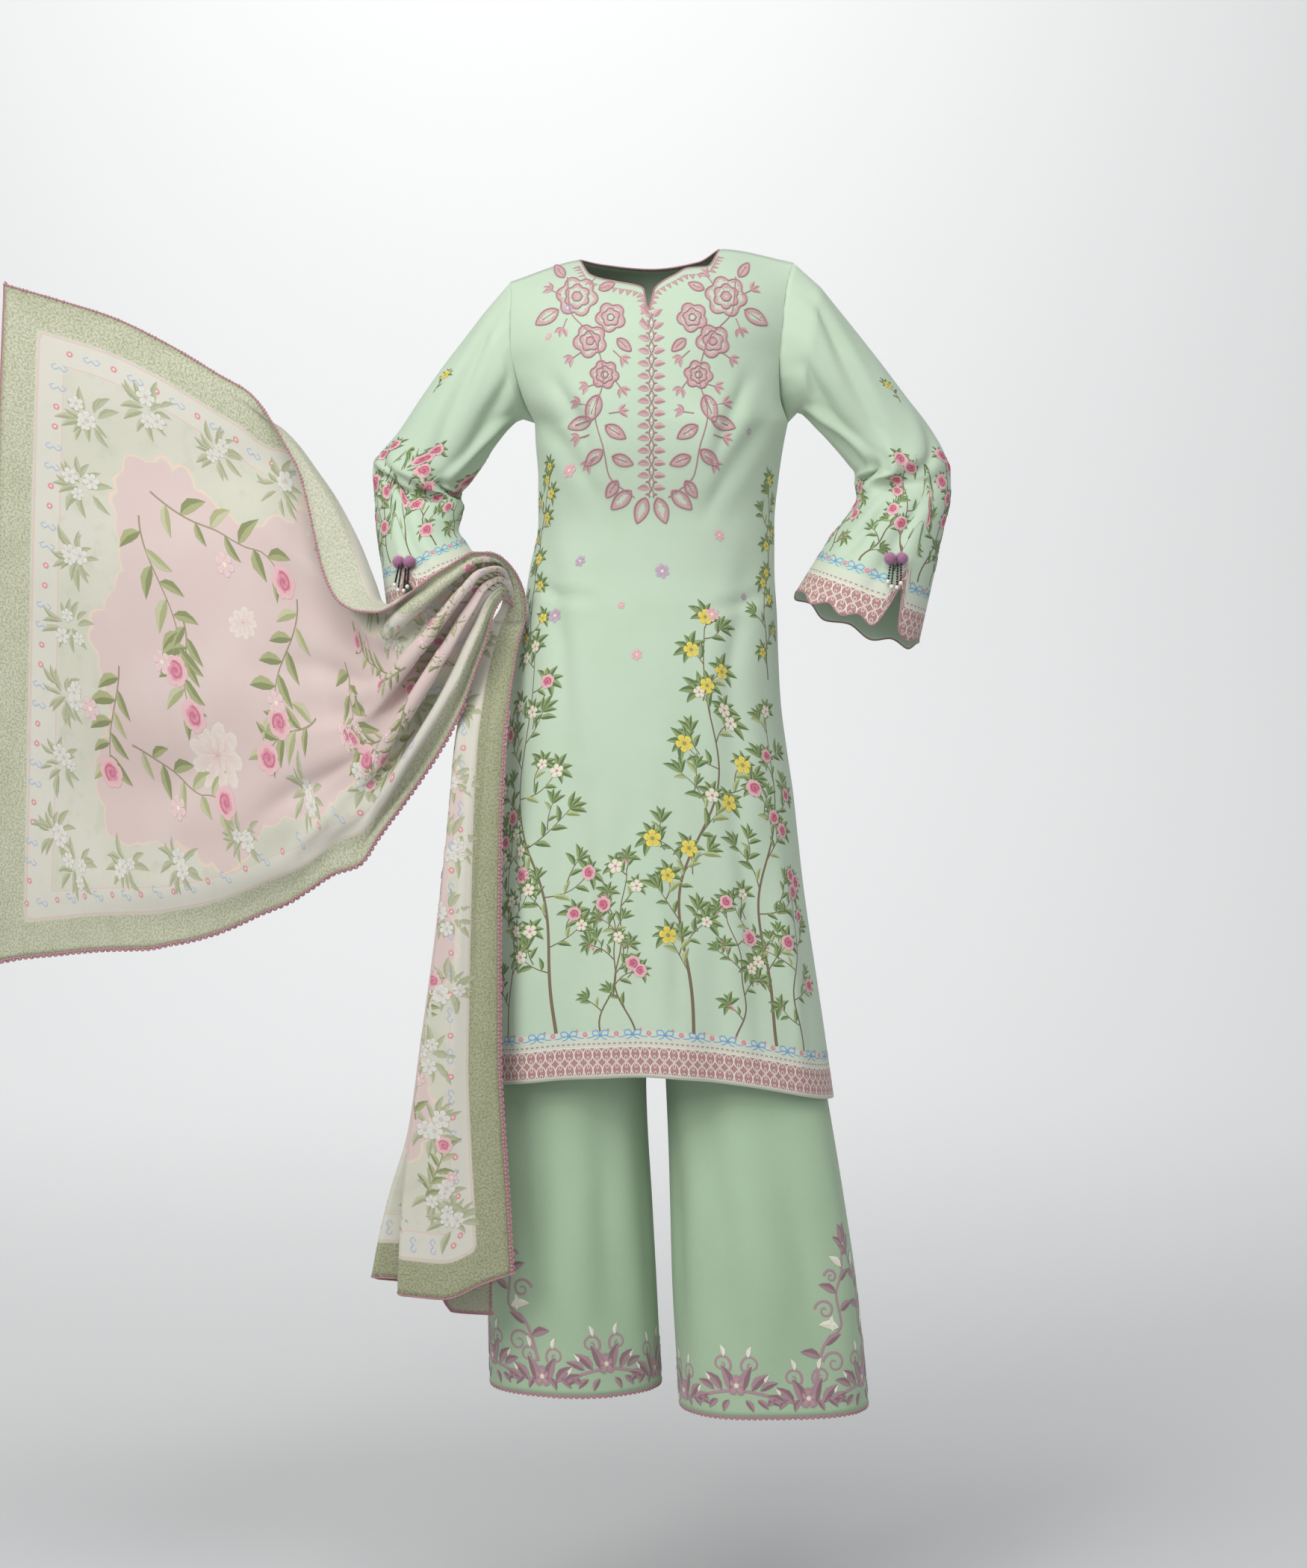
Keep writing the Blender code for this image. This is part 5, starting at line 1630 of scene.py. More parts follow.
def grow_twig(work: FlatWork, rng: random.Random, start: Place, angle: float, length: float, leaf: float,
              flower: Optional[Callable[[FlatWork, random.Random, Place], None]]) -> None:
    """Twig with leaves on both sides and a tuft or a flower at its tip.

    Args:
        work: Flat work that takes the patches.
        rng: Seeded numbers.
        start: Foot of the twig.
        angle: Direction in radians.
        length: Length in millimetres.
        leaf: Length of a leaf.
        flower: Maker of the flower at the tip, or None for a tuft of leaves.
    """
    end = (start[0] + length * math.cos(angle), start[1] + length * math.sin(angle))
    path = bowed(start, end, rng.uniform(-0.16, 0.16))
    work.ribbon(path, 1.5, 0.8, INK.stem)
    count = max(2, int(length / (leaf * 0.62)))
    for k in range(count):
        t = (k + 0.8) / (count + 0.4) * (len(path) - 1)
        i = min(int(t), len(path) - 2)
        spot = path[i] + (path[i + 1] - path[i]) * (t - i)
        turn = angle + (0.85 if k % 2 else -0.85) + rng.uniform(-0.25, 0.25)
        size = leaf * rng.uniform(0.72, 1.12)
        light, dark = (INK.leaf, INK.leaf_dark) if rng.random() < 0.72 else (INK.leaf_pale, INK.leaf)
        work.leaf(tuple(spot), turn, size, size * 0.34, light, dark, 0.05)
    if flower is None:
        for bend in (-0.9, -0.4, 0.1, 0.6):
            size = leaf * rng.uniform(0.85, 1.15)
            work.leaf(end, angle + bend, size, size * 0.32, INK.leaf, INK.leaf_dark, 0.08)
    else:
        for bend in (-1.7, -1.0, -0.3, 0.5, 1.2, 1.9):
            size = leaf * rng.uniform(0.85, 1.2)
            work.leaf(end, angle + bend, size, size * 0.36, INK.leaf, INK.leaf_dark, 0.05)
        flower(work, rng, end)


def yellow_flower(work: FlatWork, rng: random.Random, at: Place) -> None:
    """Yellow five-petalled flower."""
    work.blossom(at, rng.uniform(8.0, 10.5), 5, INK.yellow, INK.amber, INK.leaf, rng.uniform(0, 6))


def small_yellow(work: FlatWork, rng: random.Random, at: Place) -> None:
    """Small yellow flower of the side sprays."""
    work.blossom(at, rng.uniform(5.0, 6.5), 5, INK.yellow, INK.amber, INK.leaf, rng.uniform(0, 6))


def pink_rose(work: FlatWork, rng: random.Random, at: Place) -> None:
    """Small pink rose."""
    work.rose(at, rng.uniform(8.0, 10.5), INK.pink, INK.pink_mid, INK.pink_deep, rng.uniform(0, 6))


def pale_flower(work: FlatWork, rng: random.Random, at: Place) -> None:
    """Cream flower with a pink heart."""
    work.blossom(at, rng.uniform(6.5, 8.5), 5, INK.cream, INK.white, INK.pink_mid, rng.uniform(0, 6))


def berries(work: FlatWork, rng: random.Random, at: Place) -> None:
    """Few round buds."""
    for _ in range(4):
        spot = (at[0] + rng.uniform(-5, 5), at[1] + rng.uniform(-5, 5))
        work.disc(spot, rng.uniform(1.5, 2.3), INK.pink_mid)


@dataclass(frozen=True)
class Shrub:
    """One upright flowering spray of the hem print."""

    foot: float
    height: float
    lean: float
    leaf: float
    flowers: tuple[Callable[[FlatWork, random.Random, Place], None], ...]
    sway: float = 15.0
    foot_v: float = 56.0

    def draw(self, work: FlatWork, rng: random.Random) -> None:
        """Main stem, then twigs to both sides, longest low down."""
        t = np.linspace(0, 1, 1 + int(self.height / 6))
        wind = np.sin(5.4 * t + self.foot) + 0.4 * np.sin(12.5 * t + 0.7 * self.foot)
        x = self.foot + self.lean * t**1.3 + self.sway * (wind - wind[0])
        path = np.stack([x, self.foot_v + self.height * t], axis=1)
        work.ribbon(path, 4.2 if self.height > 250 else 2.2, 1.1, INK.stem)
        count = max(5, int(self.height / 33))
        for k in range(count):
            share = 0.16 + 0.82 * k / (count - 1)
            spot = path[int(share * (len(path) - 1))]
            side = 1 if k % 2 else -1
            long = (0.30 + 0.55 * math.sin(math.pi * min(share * 1.1, 1))) * min(self.height * 0.30, 76)
            angle = math.pi / 2 - side * rng.uniform(0.45, 1.15)
            flower = rng.choice(self.flowers) if rng.random() < 0.62 else None
            grow_twig(work, rng, tuple(spot), angle, long * rng.uniform(0.75, 1.1), self.leaf, flower)
            if long > 36:
                mid = (spot[0] + 0.5 * long * math.cos(angle), spot[1] + 0.5 * long * math.sin(angle))
                flower = rng.choice(self.flowers) if rng.random() < 0.4 else None
                grow_twig(work, rng, mid, angle + side * 0.7, long * 0.5, self.leaf * 0.9, flower)
        grow_twig(work, rng, tuple(path[-1]), math.pi / 2, 14, self.leaf, self.flowers[0])


FRONT_SHRUBS = (
    Shrub(-176, 250, 6, 17, (pink_rose, pale_flower), 9),
    Shrub(-112, 455, -22, 20, (pale_flower, pink_rose), 17),
    Shrub(-58, 150, 12, 15, (berries, pink_rose), 8),
    Shrub(-16, 190, -12, 15, (berries, pale_flower), 10),
    Shrub(54, 485, -6, 21, (yellow_flower, yellow_flower, yellow_flower, pale_flower), 22),
    Shrub(106, 150, -6, 15, (pink_rose, berries), 8),
    Shrub(160, 395, -10, 19, (pale_flower, pink_rose), 13),
    Shrub(198, 200, -10, 15, (pink_rose, berries), 7),
)


@dataclass
class TunicPrint:
    """Prints of the tunic: hem shrubs, side sprays, strewn blossoms and the bow line."""

    trims: Trims
    finish: bpy.types.Material
    wall: float

    def build(self, grids: dict[int, Cloth]) -> list[bpy.types.Object]:
        """Print of both panels."""
        return [self.panel(grids[-1], "front", 7), self.panel(grids[1], "back", 19)]

    def panel(self, cloth: Cloth, name: str, seed: int) -> bpy.types.Object:
        """Print of one panel."""
        rng = random.Random(seed)
        work = FlatWork()
        for shrub in FRONT_SHRUBS:
            shrub.draw(work, rng)
        half = float(cloth.u[60, -1])
        for side in (-1, 1):
            for low, tall in ((505, 115), (640, 90)):
                foot = side * (half - rng.uniform(38, 46))
                Shrub(foot, tall, -side * 8, 15, (small_yellow,), 4, low).draw(work, rng)
        strewn = ((-142, 900), (-130, 932), (-112, 735), (112, 790), (76, 656), (12, 600), (-34, 560), (-88, 620),
                  (74, 560), (118, 596), (-12, 500), (-120, 560))
        for k, spot in enumerate(strewn):
            tones = ((INK.pink, INK.pink_mid), (INK.lilac, INK.mauve))[k % 2]
            work.blossom(spot, 4.2 + 2.2 * (k % 3), 6, tones[0], tones[1], INK.cream, k)
        self.bow_line(work, cloth)
        piece = work.build(f"tunic_{name}_print", cloth, self.finish, self.wall)
        settle(piece, "embroidery_thread")
        return piece

    def bow_line(self, work: FlatWork, cloth: Cloth) -> None:
        """Swags of ribbon with bows and dots, just over the hem band."""
        half = float(min(cloth.u[-20, -1], -cloth.u[-20, 0])) - 6
        draw_bows(work, -half, half, 52.0, 38.0)


def draw_bows(work: FlatWork, low: float, high: float, height: float, pitch: float) -> None:
    """Row of blue bows joined by swags, with pink dots between.

    Args:
        work: Flat work that takes the patches.
        low: Start of the row.
        high: End of the row.
        height: Height of the row.
        pitch: Distance from bow to bow.
    """
    count = max(1, int((high - low) / pitch))
    step = (high - low) / count
    for k in range(count):
        x = low + step * (k + 0.5)
        for side in (-1, 1):
            loop = [(x, height), (x + side * 4.5, height + 5.5), (x + side * 10, height + 4), (x + side * 8, height - 1), (x, height)]
            work.ribbon(through(loop, 9), 1.5, 1.3, INK.blue)
            tail = [(x, height), (x + side * 4, height - 4.5), (x + side * 8, height - 5.5)]
            work.ribbon(through(tail, 5), 1.4, 1.0, INK.blue)
            swag = [(x + side * 6, height), (x + side * (step / 2 - 2), height - 3)]
            work.ribbon(bowed(swag[0], swag[1], -0.1 * side, 5), 1.1, 1.0, INK.blue)
        work.disc((x, height), 2.0, INK.blue, 0.3)
        work.disc((x + step / 2, height + 1), 3.1, INK.pink_mid)
        work.disc((x + step / 2, height + 1), 1.1, INK.pink, 0.4)
        work.disc((x + step / 4, height + 6), 1.5, INK.pink_mid)


@dataclass
class YokeWork:
    """Raised thread work of the yoke: a leaf ladder down the middle and a garland to each side."""

    trims: Trims
    thread: bpy.types.Material
    tinted: bpy.types.Material

    def garland(self, side: int) -> tuple[list[list[Place]], list[np.ndarray], list[tuple[Place, float, float]]]:
        """Closed outlines, open lines and filled leaves of one garland.

        Args:
            side: -1 for the left of the picture, 1 for the right.

        Returns:
            Outlines, lines, and places, directions and lengths of the filled leaves.
        """
        at = lambda x, z: (CENTRE_X + side * x, z)
        turned = lambda a: a if side > 0 else math.pi - a
        vine = through([at(100, -34), at(96, -74), at(66, -112), at(56, -156), at(66, -198), at(56, -240),
                        at(50, -270), at(20, -296)], 60)
        loops, lines, fills = [], [vine], []
        for x, z, radius, lobes in ((88, -58, 25, 6), (48, -84, 18, 5), (72, -112, 20, 5), (55, -152, 17, 6)):
            for share, count in ((1.0, 40), (0.62, 30), (0.26, 12)):
                loops.append(lobed_rim(at(x, z), radius * share, lobes, 0.24, 0.4 + share, count))
        leaves = ((110, -74, -0.55, 32), (62, -50, 2.75, 20), (104, -34, 1.0, 22), (62, -176, -1.2, 34), (40, -110, -2.4, 22),
                  (70, -204, -0.35, 30), (54, -212, 3.7, 28), (58, -240, -0.75, 27), (46, -248, 3.5, 26), (40, -276, -1.0, 24))
        for x, z, angle, long in leaves:
            loops.append(leaf_rim(at(x, z), turned(angle), long, long * 0.52))
            lines.append(np.array([at(x, z), at(x + 0.7 * long * math.cos(angle), z + 0.7 * long * math.sin(angle))]))
        sprigs = ((118, -50, 0.5), (104, -96, -1.2), (92, -132, -0.6), (36, -132, -2.4), (74, -166, -0.3), (36, -168, -2.2),
                  (84, -186, 0.2), (38, -196, 3.0), (84, -226, -0.3), (72, -256, -0.8), (66, -34, 2.2))
        for x, z, angle in sprigs:
            for bend in (-0.7, 0.0, 0.7):
                fills.append((at(x, z), turned(angle + bend), 12.0))
            lines.append(np.array([at(x, z), at(x - 12 * math.cos(angle), z - 12 * math.sin(angle))]))
        for x, z, angle in ((7, -296, -1.25), (24, -288, -0.75)):
            loops.append(leaf_rim(at(x, z), turned(angle), 32, 16))
        return loops, lines, fills

    def build(self, cloth: Cloth, wall: float) -> list[bpy.types.Object]:
        """All thread work of the yoke.

        Args:
            cloth: Front of the tunic, measured by x and z.
            wall: Thickness of the cloth.

        Returns:
            The pieces.
        """
        rims, lines, work = Paths("yoke_outline_cords"), Paths("yoke_line_cords"), FlatWork()
        stitches = Paths("yoke_buttonhole_stitches")
        for side in (-1, 1):
            loops, runs, fills = self.garland(side)
            for loop in loops:
                area = sum(a[0] * b[1] - b[0] * a[1] for a, b in zip(loop, loop[1:] + loop[:1]))
                loop = loop if area > 0 else loop[::-1]
                rims.draw(cloth, loop, wall / 2 + 0.3, True)
                if abs(area) > 120:
                    stitches.draw(cloth, loop, wall / 2 + 0.05, True)
            for run in runs:
                lines.draw(cloth, run, wall / 2 + 0.2)
            for spot, angle, size in fills:
                work.leaf(spot, angle, size, size * 0.42, INK.rose_light, INK.rose, 0.1)
        self.ladder(cloth, wall, work, lines)
        outline = self.trims.cords(rims, 1.0, self.thread, 2.2)
        inner = self.trims.cords(lines, 0.75, self.thread, 2.2)
        bar = low_bar("buttonhole_stitch", (-0.7, 0.7), (-0.6, 4.6), 0.5, INK.rose_light)
        fringe = self.trims.along(stitches, bar, 1.8, self.tinted, 0.25, 5)
        leaves = work.build("yoke_satin_leaves", cloth, self.tinted, wall, 0.2)
        made = [outline, inner, fringe, leaves]
        for piece in made:
            settle(piece, "embroidery_thread")
        return made

    def ladder(self, cloth: Cloth, wall: float, work: FlatWork, lines: Paths) -> None:
        """Pairs of leaves down the middle, with a braid of two crossing lines between them."""
        top, low, pitch = -84.0, -286.0, 14.4
        for k in range(int((top - low) / pitch) + 1):
            z = top - pitch * k
            lean = 0.75 * math.exp(-k / 3)
            for side in (-1, 1):
                angle = lean if side > 0 else math.pi - lean
                work.leaf((CENTRE_X + side * 2.6, z), angle, 14.0, 7.6, INK.rose_light, INK.rose, 0.15)
                work.leaf((CENTRE_X + side * 2.0, z - pitch / 2), angle, 5.5, 2.8, INK.rose, INK.rose_dark, 0.1)
            work.disc((CENTRE_X, z - pitch / 2), 1.5, INK.cream, 0.3)
        heights = np.linspace(top + 4, low - 10, 110)
        for side in (-1, 1):
            x = CENTRE_X + side * 2.9 * np.sin(np.pi * (heights - top) / pitch)
            lines.draw(cloth, np.stack([x, heights], axis=1), wall / 2 + 0.3)


@dataclass
class SleeveDress:
    """Print and edge of one sleeve."""

    trims: Trims
    print_finish: bpy.types.Material
    thread: bpy.types.Material

    def build(self, cloth: Cloth, node: str, seed: int, wall: float) -> list[bpy.types.Object]:
        """Sprays over the cuff, the bow line, and the piping of the hem."""
        rng = random.Random(seed)
        work = FlatWork()
        round_length = float(cloth.u[-1, -1])
        for share, height, lean in ((0.05, 96, 8), (0.115, 150, -14), (0.215, 140, 14), (0.32, 90, -8), (0.44, 80, 6),
                                    (0.56, 110, 8), (0.68, 90, -8), (0.80, 130, 8), (0.92, 100, -6)):
            flowers = (pink_rose, pink_rose, berries) if share < 0.5 else (pink_rose, pale_flower)
            Shrub(share * round_length, height, lean, 15, flowers, 6, 58).draw(work, rng)
        for share, height in ((0.10, 300), (0.62, 280)):
            grow_twig(work, rng, (share * round_length, height), math.pi / 2, 26, 11, small_yellow)
        gap = 0.035 * round_length
        slit = 0.183 * round_length
        draw_bows(work, 4, slit - gap, 49.0, 27.0)
        draw_bows(work, slit + gap, round_length - 4, 49.0, 27.0)
        prints = work.build(f"{node}_print", cloth, self.print_finish, wall)
        edge = Paths(f"{node}_piping")
        edge.row(cloth, -1, 0.0, True)
        piping = self.trims.cords(edge, 0.95, self.thread, 2.0)
        for piece in (prints, piping):
            settle(piece, "embroidery_thread")
        return [prints, piping]


@dataclass
class NeckEdge:
    """Piping and small teeth round the neck."""

    trims: Trims
    thread: bpy.types.Material
    tinted: bpy.types.Material

    def build(self, grids: dict[int, Cloth], wall: float) -> list[bpy.types.Object]:
        """Cord on the edge and a row of teeth just inside it."""
        cords, teeth = Paths("neck_piping"), Paths("neck_teeth")
        for side, cloth in grids.items():
            inside = np.abs(cloth.points[0, :, 0]) < 84.5
            out = cloth.cached_normals()
            edge = cloth.points[0][inside]
            cords.lines.append((edge, out[0][inside], False))
            low = cloth.points[2][inside] + out[2][inside] * (wall / 2 + 0.1)
            normal = out[2][inside]
            turned = side < 0
            teeth.lines.append((low[::-1], normal[::-1], False) if turned else (low, normal, False))
        piping = self.trims.cords(cords, 1.25, self.thread, 1.6)
        # painted highlight: the raised point of each tooth is given the lighter rose
        tooth = small_piece("neck_tooth", [(-4.0, -0.6, 0), (4.0, -0.6, 0), (0, 8.2, 0), (0, 2.6, 1.3)],
                            [(0, 1, 3), (1, 2, 3), (2, 0, 3)], [INK.rose, INK.rose, INK.rose, INK.rose_light])
        row = self.trims.along(teeth, tooth, 8.6, self.tinted, 0.1, 3)
        for piece in (piping, row):
            settle(piece, "embroidery_thread")
        return [piping, row]


@dataclass
class TrouserDress:
    """Scroll work and scalloped lace of the trouser hems."""

    trims: Trims
    tinted: bpy.types.Material
    lace: bpy.types.Material

    def build(self, cloth: Cloth, side: Side, node: str, wall: float) -> list[bpy.types.Object]:
        """Work of one leg."""
        work = FlatWork()
        low, high = float(cloth.u[-1, 0]), float(cloth.u[-1, -1])
        count = 8
        pitch = (high - low) / count
        for k in range(count):
            self.unit(work, low + pitch * k, pitch, 1 if k % 2 else -1)
        for turn in (-1, 1):
            self.tower(work, turn)
        scrolls = work.build(f"{node}_scrolls", cloth, self.tinted, wall, 0.15)
        hem = Paths(f"{node}_lace")
        out = cloth.cached_normals()[-1][:-1]
        line = cloth.points[-1][:-1]
        flip = side is Side.RIGHT
        hem.lines.append((line[::-1], out[::-1], True) if flip else (line, out, True))
        loops = self.trims.along(hem, scallop("lace_loop", 3.6, INK.rose, INK.rose_light), 7.0, self.lace, 0.05, 4)
        edge = Paths(f"{node}_edge_cord")
        edge.row(cloth, -1, 0.0, True)
        cord = self.trims.cords(edge, 1.0, self.lace, 3.0)
        for piece in (scrolls, loops, cord):
            settle(piece, "embroidery_thread")
        return [scrolls, loops, cord]

    def unit(self, work: FlatWork, start: float, pitch: float, way: int) -> None:
        """One wave of the vine with its leaves and a flower."""
        x = np.linspace(start, start + pitch, 13)
        v = 24 + way * 8 * np.sin(np.pi * (x - start) / pitch)
        work.ribbon(np.stack([x, v], axis=1), 4.2, 4.2, INK.mauve, 0.5)
        mid = start + pitch / 2
        top = 24 + way * 8
        for side in (-1, 1):
            for shift, lean, long in ((8, 0.35, 32), (18, 0.8, 29), (28, 1.15, 24)):
                work.leaf((mid + side * shift, top), math.pi / 2 - side * lean, long, long * 0.38, INK.mauve, INK.mauve_dark, 0.3)
            for shift, lean in ((10, 0.5), (24, 0.8), (36, 1.1)):
                work.leaf((mid + side * shift, 21), side * lean - math.pi / 2, 17, 7.5, INK.mauve, INK.mauve_dark, 0.3)
            curl = spiral((mid + side * 18, top + 31), 12.5, math.pi / 2 + side * 2.2, -side, 20)
            work.ribbon(curl, 3.4, 1.8, INK.mauve, 0.4)
            work.leaf((mid + side * 15, top + 40), math.pi / 2 - side * 0.3, 15, 5.6, INK.cream, INK.white, 0.3)
            work.leaf((mid + side * 34, top + 10), math.pi / 2 - side * 0.5, 12, 4.6, INK.cream, INK.white, 0.3)
        work.blossom((mid, top + 6), 12.5, 5, INK.mauve, INK.rose_light, INK.cream, 0.3)

    def tower(self, work: FlatWork, turn: int) -> None:
        """Scrolls that climb at the outer side, seen from the front."""
        middle = -62.0
        spine = [(turn * 56, 40), (turn * 42, 84), (turn * 18, 108), (turn * 22, 142), (turn * 9, 172), (turn * 3, 206)]
        path = through(spine, 40) + np.array([middle, 0.0])
        work.ribbon(path, 4.4, 2.4, INK.mauve, 0.5)
        leaves = ((48, 70, 0.3, 26), (40, 84, 2.6, 24), (22, 104, 0.2, 26), (18, 124, 2.7, 22), (22, 146, 0.5, 24), (14, 160, 2.5, 20),
                  (9, 176, 0.7, 22), (4, 190, 2.4, 18), (3, 204, 1.5, 24), (3, 200, 0.8, 18), (30, 100, 1.6, 20))
        for k, (x, v, angle, long) in enumerate(leaves):
            flipped = angle if turn > 0 else math.pi - angle
            light, dark = (INK.mauve, INK.mauve_dark) if k % 4 != 2 else (INK.cream, INK.white)
            work.leaf((middle + turn * x, v), flipped, long, long * 0.42, light, dark, 0.3)
        for x, v, size in ((30, 62, 15), (38, 126, 13), (26, 166, 9)):
            work.ribbon(spiral((middle + turn * x, v), size, math.pi / 2 - turn * 1.4, turn, 22), 3.6, 1.8, INK.mauve, 0.4)


@dataclass
class ScarfDress:
    """Print and edges of the scarf; u runs down from its upper edge, v from the hanging hem."""

    trims: Trims
    inked: bpy.types.Material
    tinted: bpy.types.Material
    lace: bpy.types.Material

    def width(self, cloth: Cloth, v: float) -> float:
        """Width of the cloth at a length along it."""
        along = cloth.v[:, 0]
        return float(np.interp(-v, -along, cloth.u[:, -1]))

    def build(self, cloth: Cloth, wall: float) -> list[bpy.types.Object]:
        """Sprays on both grounds, dots, and the edges."""
        rng = random.Random(41)
        work = FlatWork()
        top = float(cloth.v[0, 0])
        self.ground_sprays(work, rng, cloth, top)
        self.middle_sprays(work, rng, cloth, top)
        self.dots(work, cloth, top)
        prints = work.build("scarf_print", cloth, self.inked, wall, 0.10)
        made = [prints, *self.edges(cloth)]
        for piece in made:
            settle(piece, "embroidery_thread")
        return made

    def ground_sprays(self, work: FlatWork, rng: random.Random, cloth: Cloth, top: float) -> None:
        """Pale watery sprays on the ground between the dotted strip and the middle."""
        spots = []
        for v in np.arange(120, top - 150, 82):
            w = self.width(cloth, v)
            spots += [(88, v, math.pi / 2), (w - 88, v + 30, -math.pi / 2)] if w > 300 else [(64, v, 1.3)]
        for u in np.arange(130, self.width(cloth, top - 90) - 110, 84):
            spots.append((u, top - 96, 0.0))
        for u in np.arange(70, self.width(cloth, 90) - 60, 84):
            spots.append((u, 92, 0.0))
        green, dark, pale = (0.430, 0.440, 0.305), (0.345, 0.365, 0.225), (0.650, 0.645, 0.590)
        for u, v, turn in spots:
            for k in range(14):
                angle = turn + math.pi / 2 + (k - 6.5) * 0.4 + rng.uniform(-0.2, 0.2)
                size = rng.uniform(17, 29)
                foot = (u + 9 * math.cos(angle) + rng.uniform(-6, 6), v + 9 * math.sin(angle) + rng.uniform(-6, 6))
                work.leaf(foot, angle, size, size * 0.30, green, dark, 0.02)
            for _ in range(3):
                spot = (u + rng.uniform(-15, 15), v + rng.uniform(-15, 15))
                work.blossom(spot, rng.uniform(7, 11), 6, pale, (0.53, 0.53, 0.47), (0.56, 0.47, 0.42), rng.uniform(0, 6))

    def vine(self, work: FlatWork, rng: random.Random, start: Place, angle: float, length: float, leaf: float,
             bend: float) -> None:
        """Curling vine with olive leaves and a rose at its end.

        Args:
            work: Flat work that takes the patches.
            rng: Seeded numbers.
            start: Foot of the vine.
            angle: Direction at the foot.
            length: Length in millimetres.
            leaf: Length of a leaf.
            bend: How far the direction turns on the way.
        """
        t = np.linspace(0, 1, 20)
        heading = angle + bend * np.sin(3.4 * t)
        step = length / 19
        path = np.stack([start[0] + np.cumsum(np.cos(heading)) * step, start[1] + np.cumsum(np.sin(heading)) * step], axis=1)
        work.ribbon(path, 2.4, 1.2, (0.290, 0.245, 0.160))
        light, dark = (0.355, 0.370, 0.190), (0.225, 0.250, 0.115)
        for k in range(2, 19, 2):
            turn = heading[k] + (0.9 if k % 4 else -0.9) + rng.uniform(-0.2, 0.2)
            size = leaf * rng.uniform(0.75, 1.15)
            foot = tuple(path[k])
            shades = (light, dark) if rng.random() < 0.7 else ((0.480, 0.470, 0.310), light)
            work.leaf(foot, turn, size, size * 0.36, *shades, 0.05)
        work.rose(tuple(path[-1]), leaf * 0.46, (0.690, 0.460, 0.460), (0.640, 0.300, 0.360), (0.500, 0.150, 0.220), rng.uniform(0, 6))
        side = path[9] + np.array([math.cos(heading[9] + 1.2), math.sin(heading[9] + 1.2)]) * leaf * 0.9
        if rng.random() < 0.5:
            work.blossom(tuple(side), leaf * 0.34, 6, (0.690, 0.530, 0.520), (0.640, 0.400, 0.430), INK.cream, 0.4)

    def middle_sprays(self, work: FlatWork, rng: random.Random, cloth: Cloth, top: float) -> None:
        """Vines over the pink middle of the flying end, and smaller ones where it is gathered."""
        seeds = ((176, 165, -1.25, 190, -0.5), (205, 165, -0.1, 170, -0.7), (390, 165, -0.2, 130, 0.3), (478, 190, -1.8, 150, 0.3),
                 (185, 380, -0.5, 150, 0.7), (285, 450, 0.2, 110, 0.6), (290, 235, -0.8, 110, 0.7), (190, 470, -0.5, 90, -0.6))
        for u, back, angle, length, bend in seeds:
            self.vine(work, rng, (u, top - back), angle, length, 38, bend)
        for u, back, size in ((425, 320, 40), (262, 320, 19)):
            spot = (u, top - back)
            for ring, count in ((1.0, 9), (0.7, 7), (0.42, 5)):
                for k in range(count):
                    angle = 2 * math.pi * k / count + ring * 3
                    work.petal(spot, angle, size * ring, size * ring * 0.5, (0.670, 0.610, 0.550), (0.610, 0.400, 0.370),
                               0.3 * (1 - ring))
        for back in range(560, int(top) - 780, 62):
            w = self.width(cloth, top - back)
            for share in (0.36, 0.58, 0.76):
                bend = rng.uniform(-0.8, 0.8)
                self.vine(work, rng, (w * share, top - back + rng.uniform(-15, 15)), rng.uniform(1.0, 2.2), 66, 20, bend)
        for v in np.arange(110, 760, 95):
            self.vine(work, rng, (rng.uniform(102, 112), v), rng.uniform(1.3, 1.8), 74, 22, rng.uniform(-0.6, 0.6))
            for layer in (170, 300, 430):
                self.vine(work, rng, (layer, v + 20), rng.uniform(1.1, 1.9), 70, 22, rng.uniform(-0.6, 0.6))

    def dots(self, work: FlatWork, cloth: Cloth, top: float) -> None:
        """Pink dots and blue marks on the strip inside the border."""
        rim = 61.0
        spots: list[tuple[float, float]] = []
        for v in np.arange(70, top - 60, 24):
            w = self.width(cloth, v)
            if w > 240:
                spots += [(rim, v), (w - rim, v + 12)]
            else:
                spots += [(50, v), (w - 50, v + 12)]
        for u in np.arange(80, self.width(cloth, top - 61) - 70, 24):
            spots.append((u, top - rim))
        for u in np.arange(70, self.width(cloth, 61) - 60, 24):
            spots.append((u, rim))
        for k, spot in enumerate(spots):
            if k % 4 < 2:
                work.disc(spot, 3.8, (0.620, 0.290, 0.310), 0.05, 8)
                work.disc(spot, 1.4, INK.cream, 0.25, 6)
            else:
                for side in (-1, 1):
                    loop = [(spot[0], spot[1]), (spot[0] + 4, spot[1] + side * 5), (spot[0], spot[1] + side * 9), (spot[0] - 3, spot[1] + side * 4)]
                    work.ribbon(through(loop, 7), 1.6, 1.2, (0.340, 0.430, 0.560))

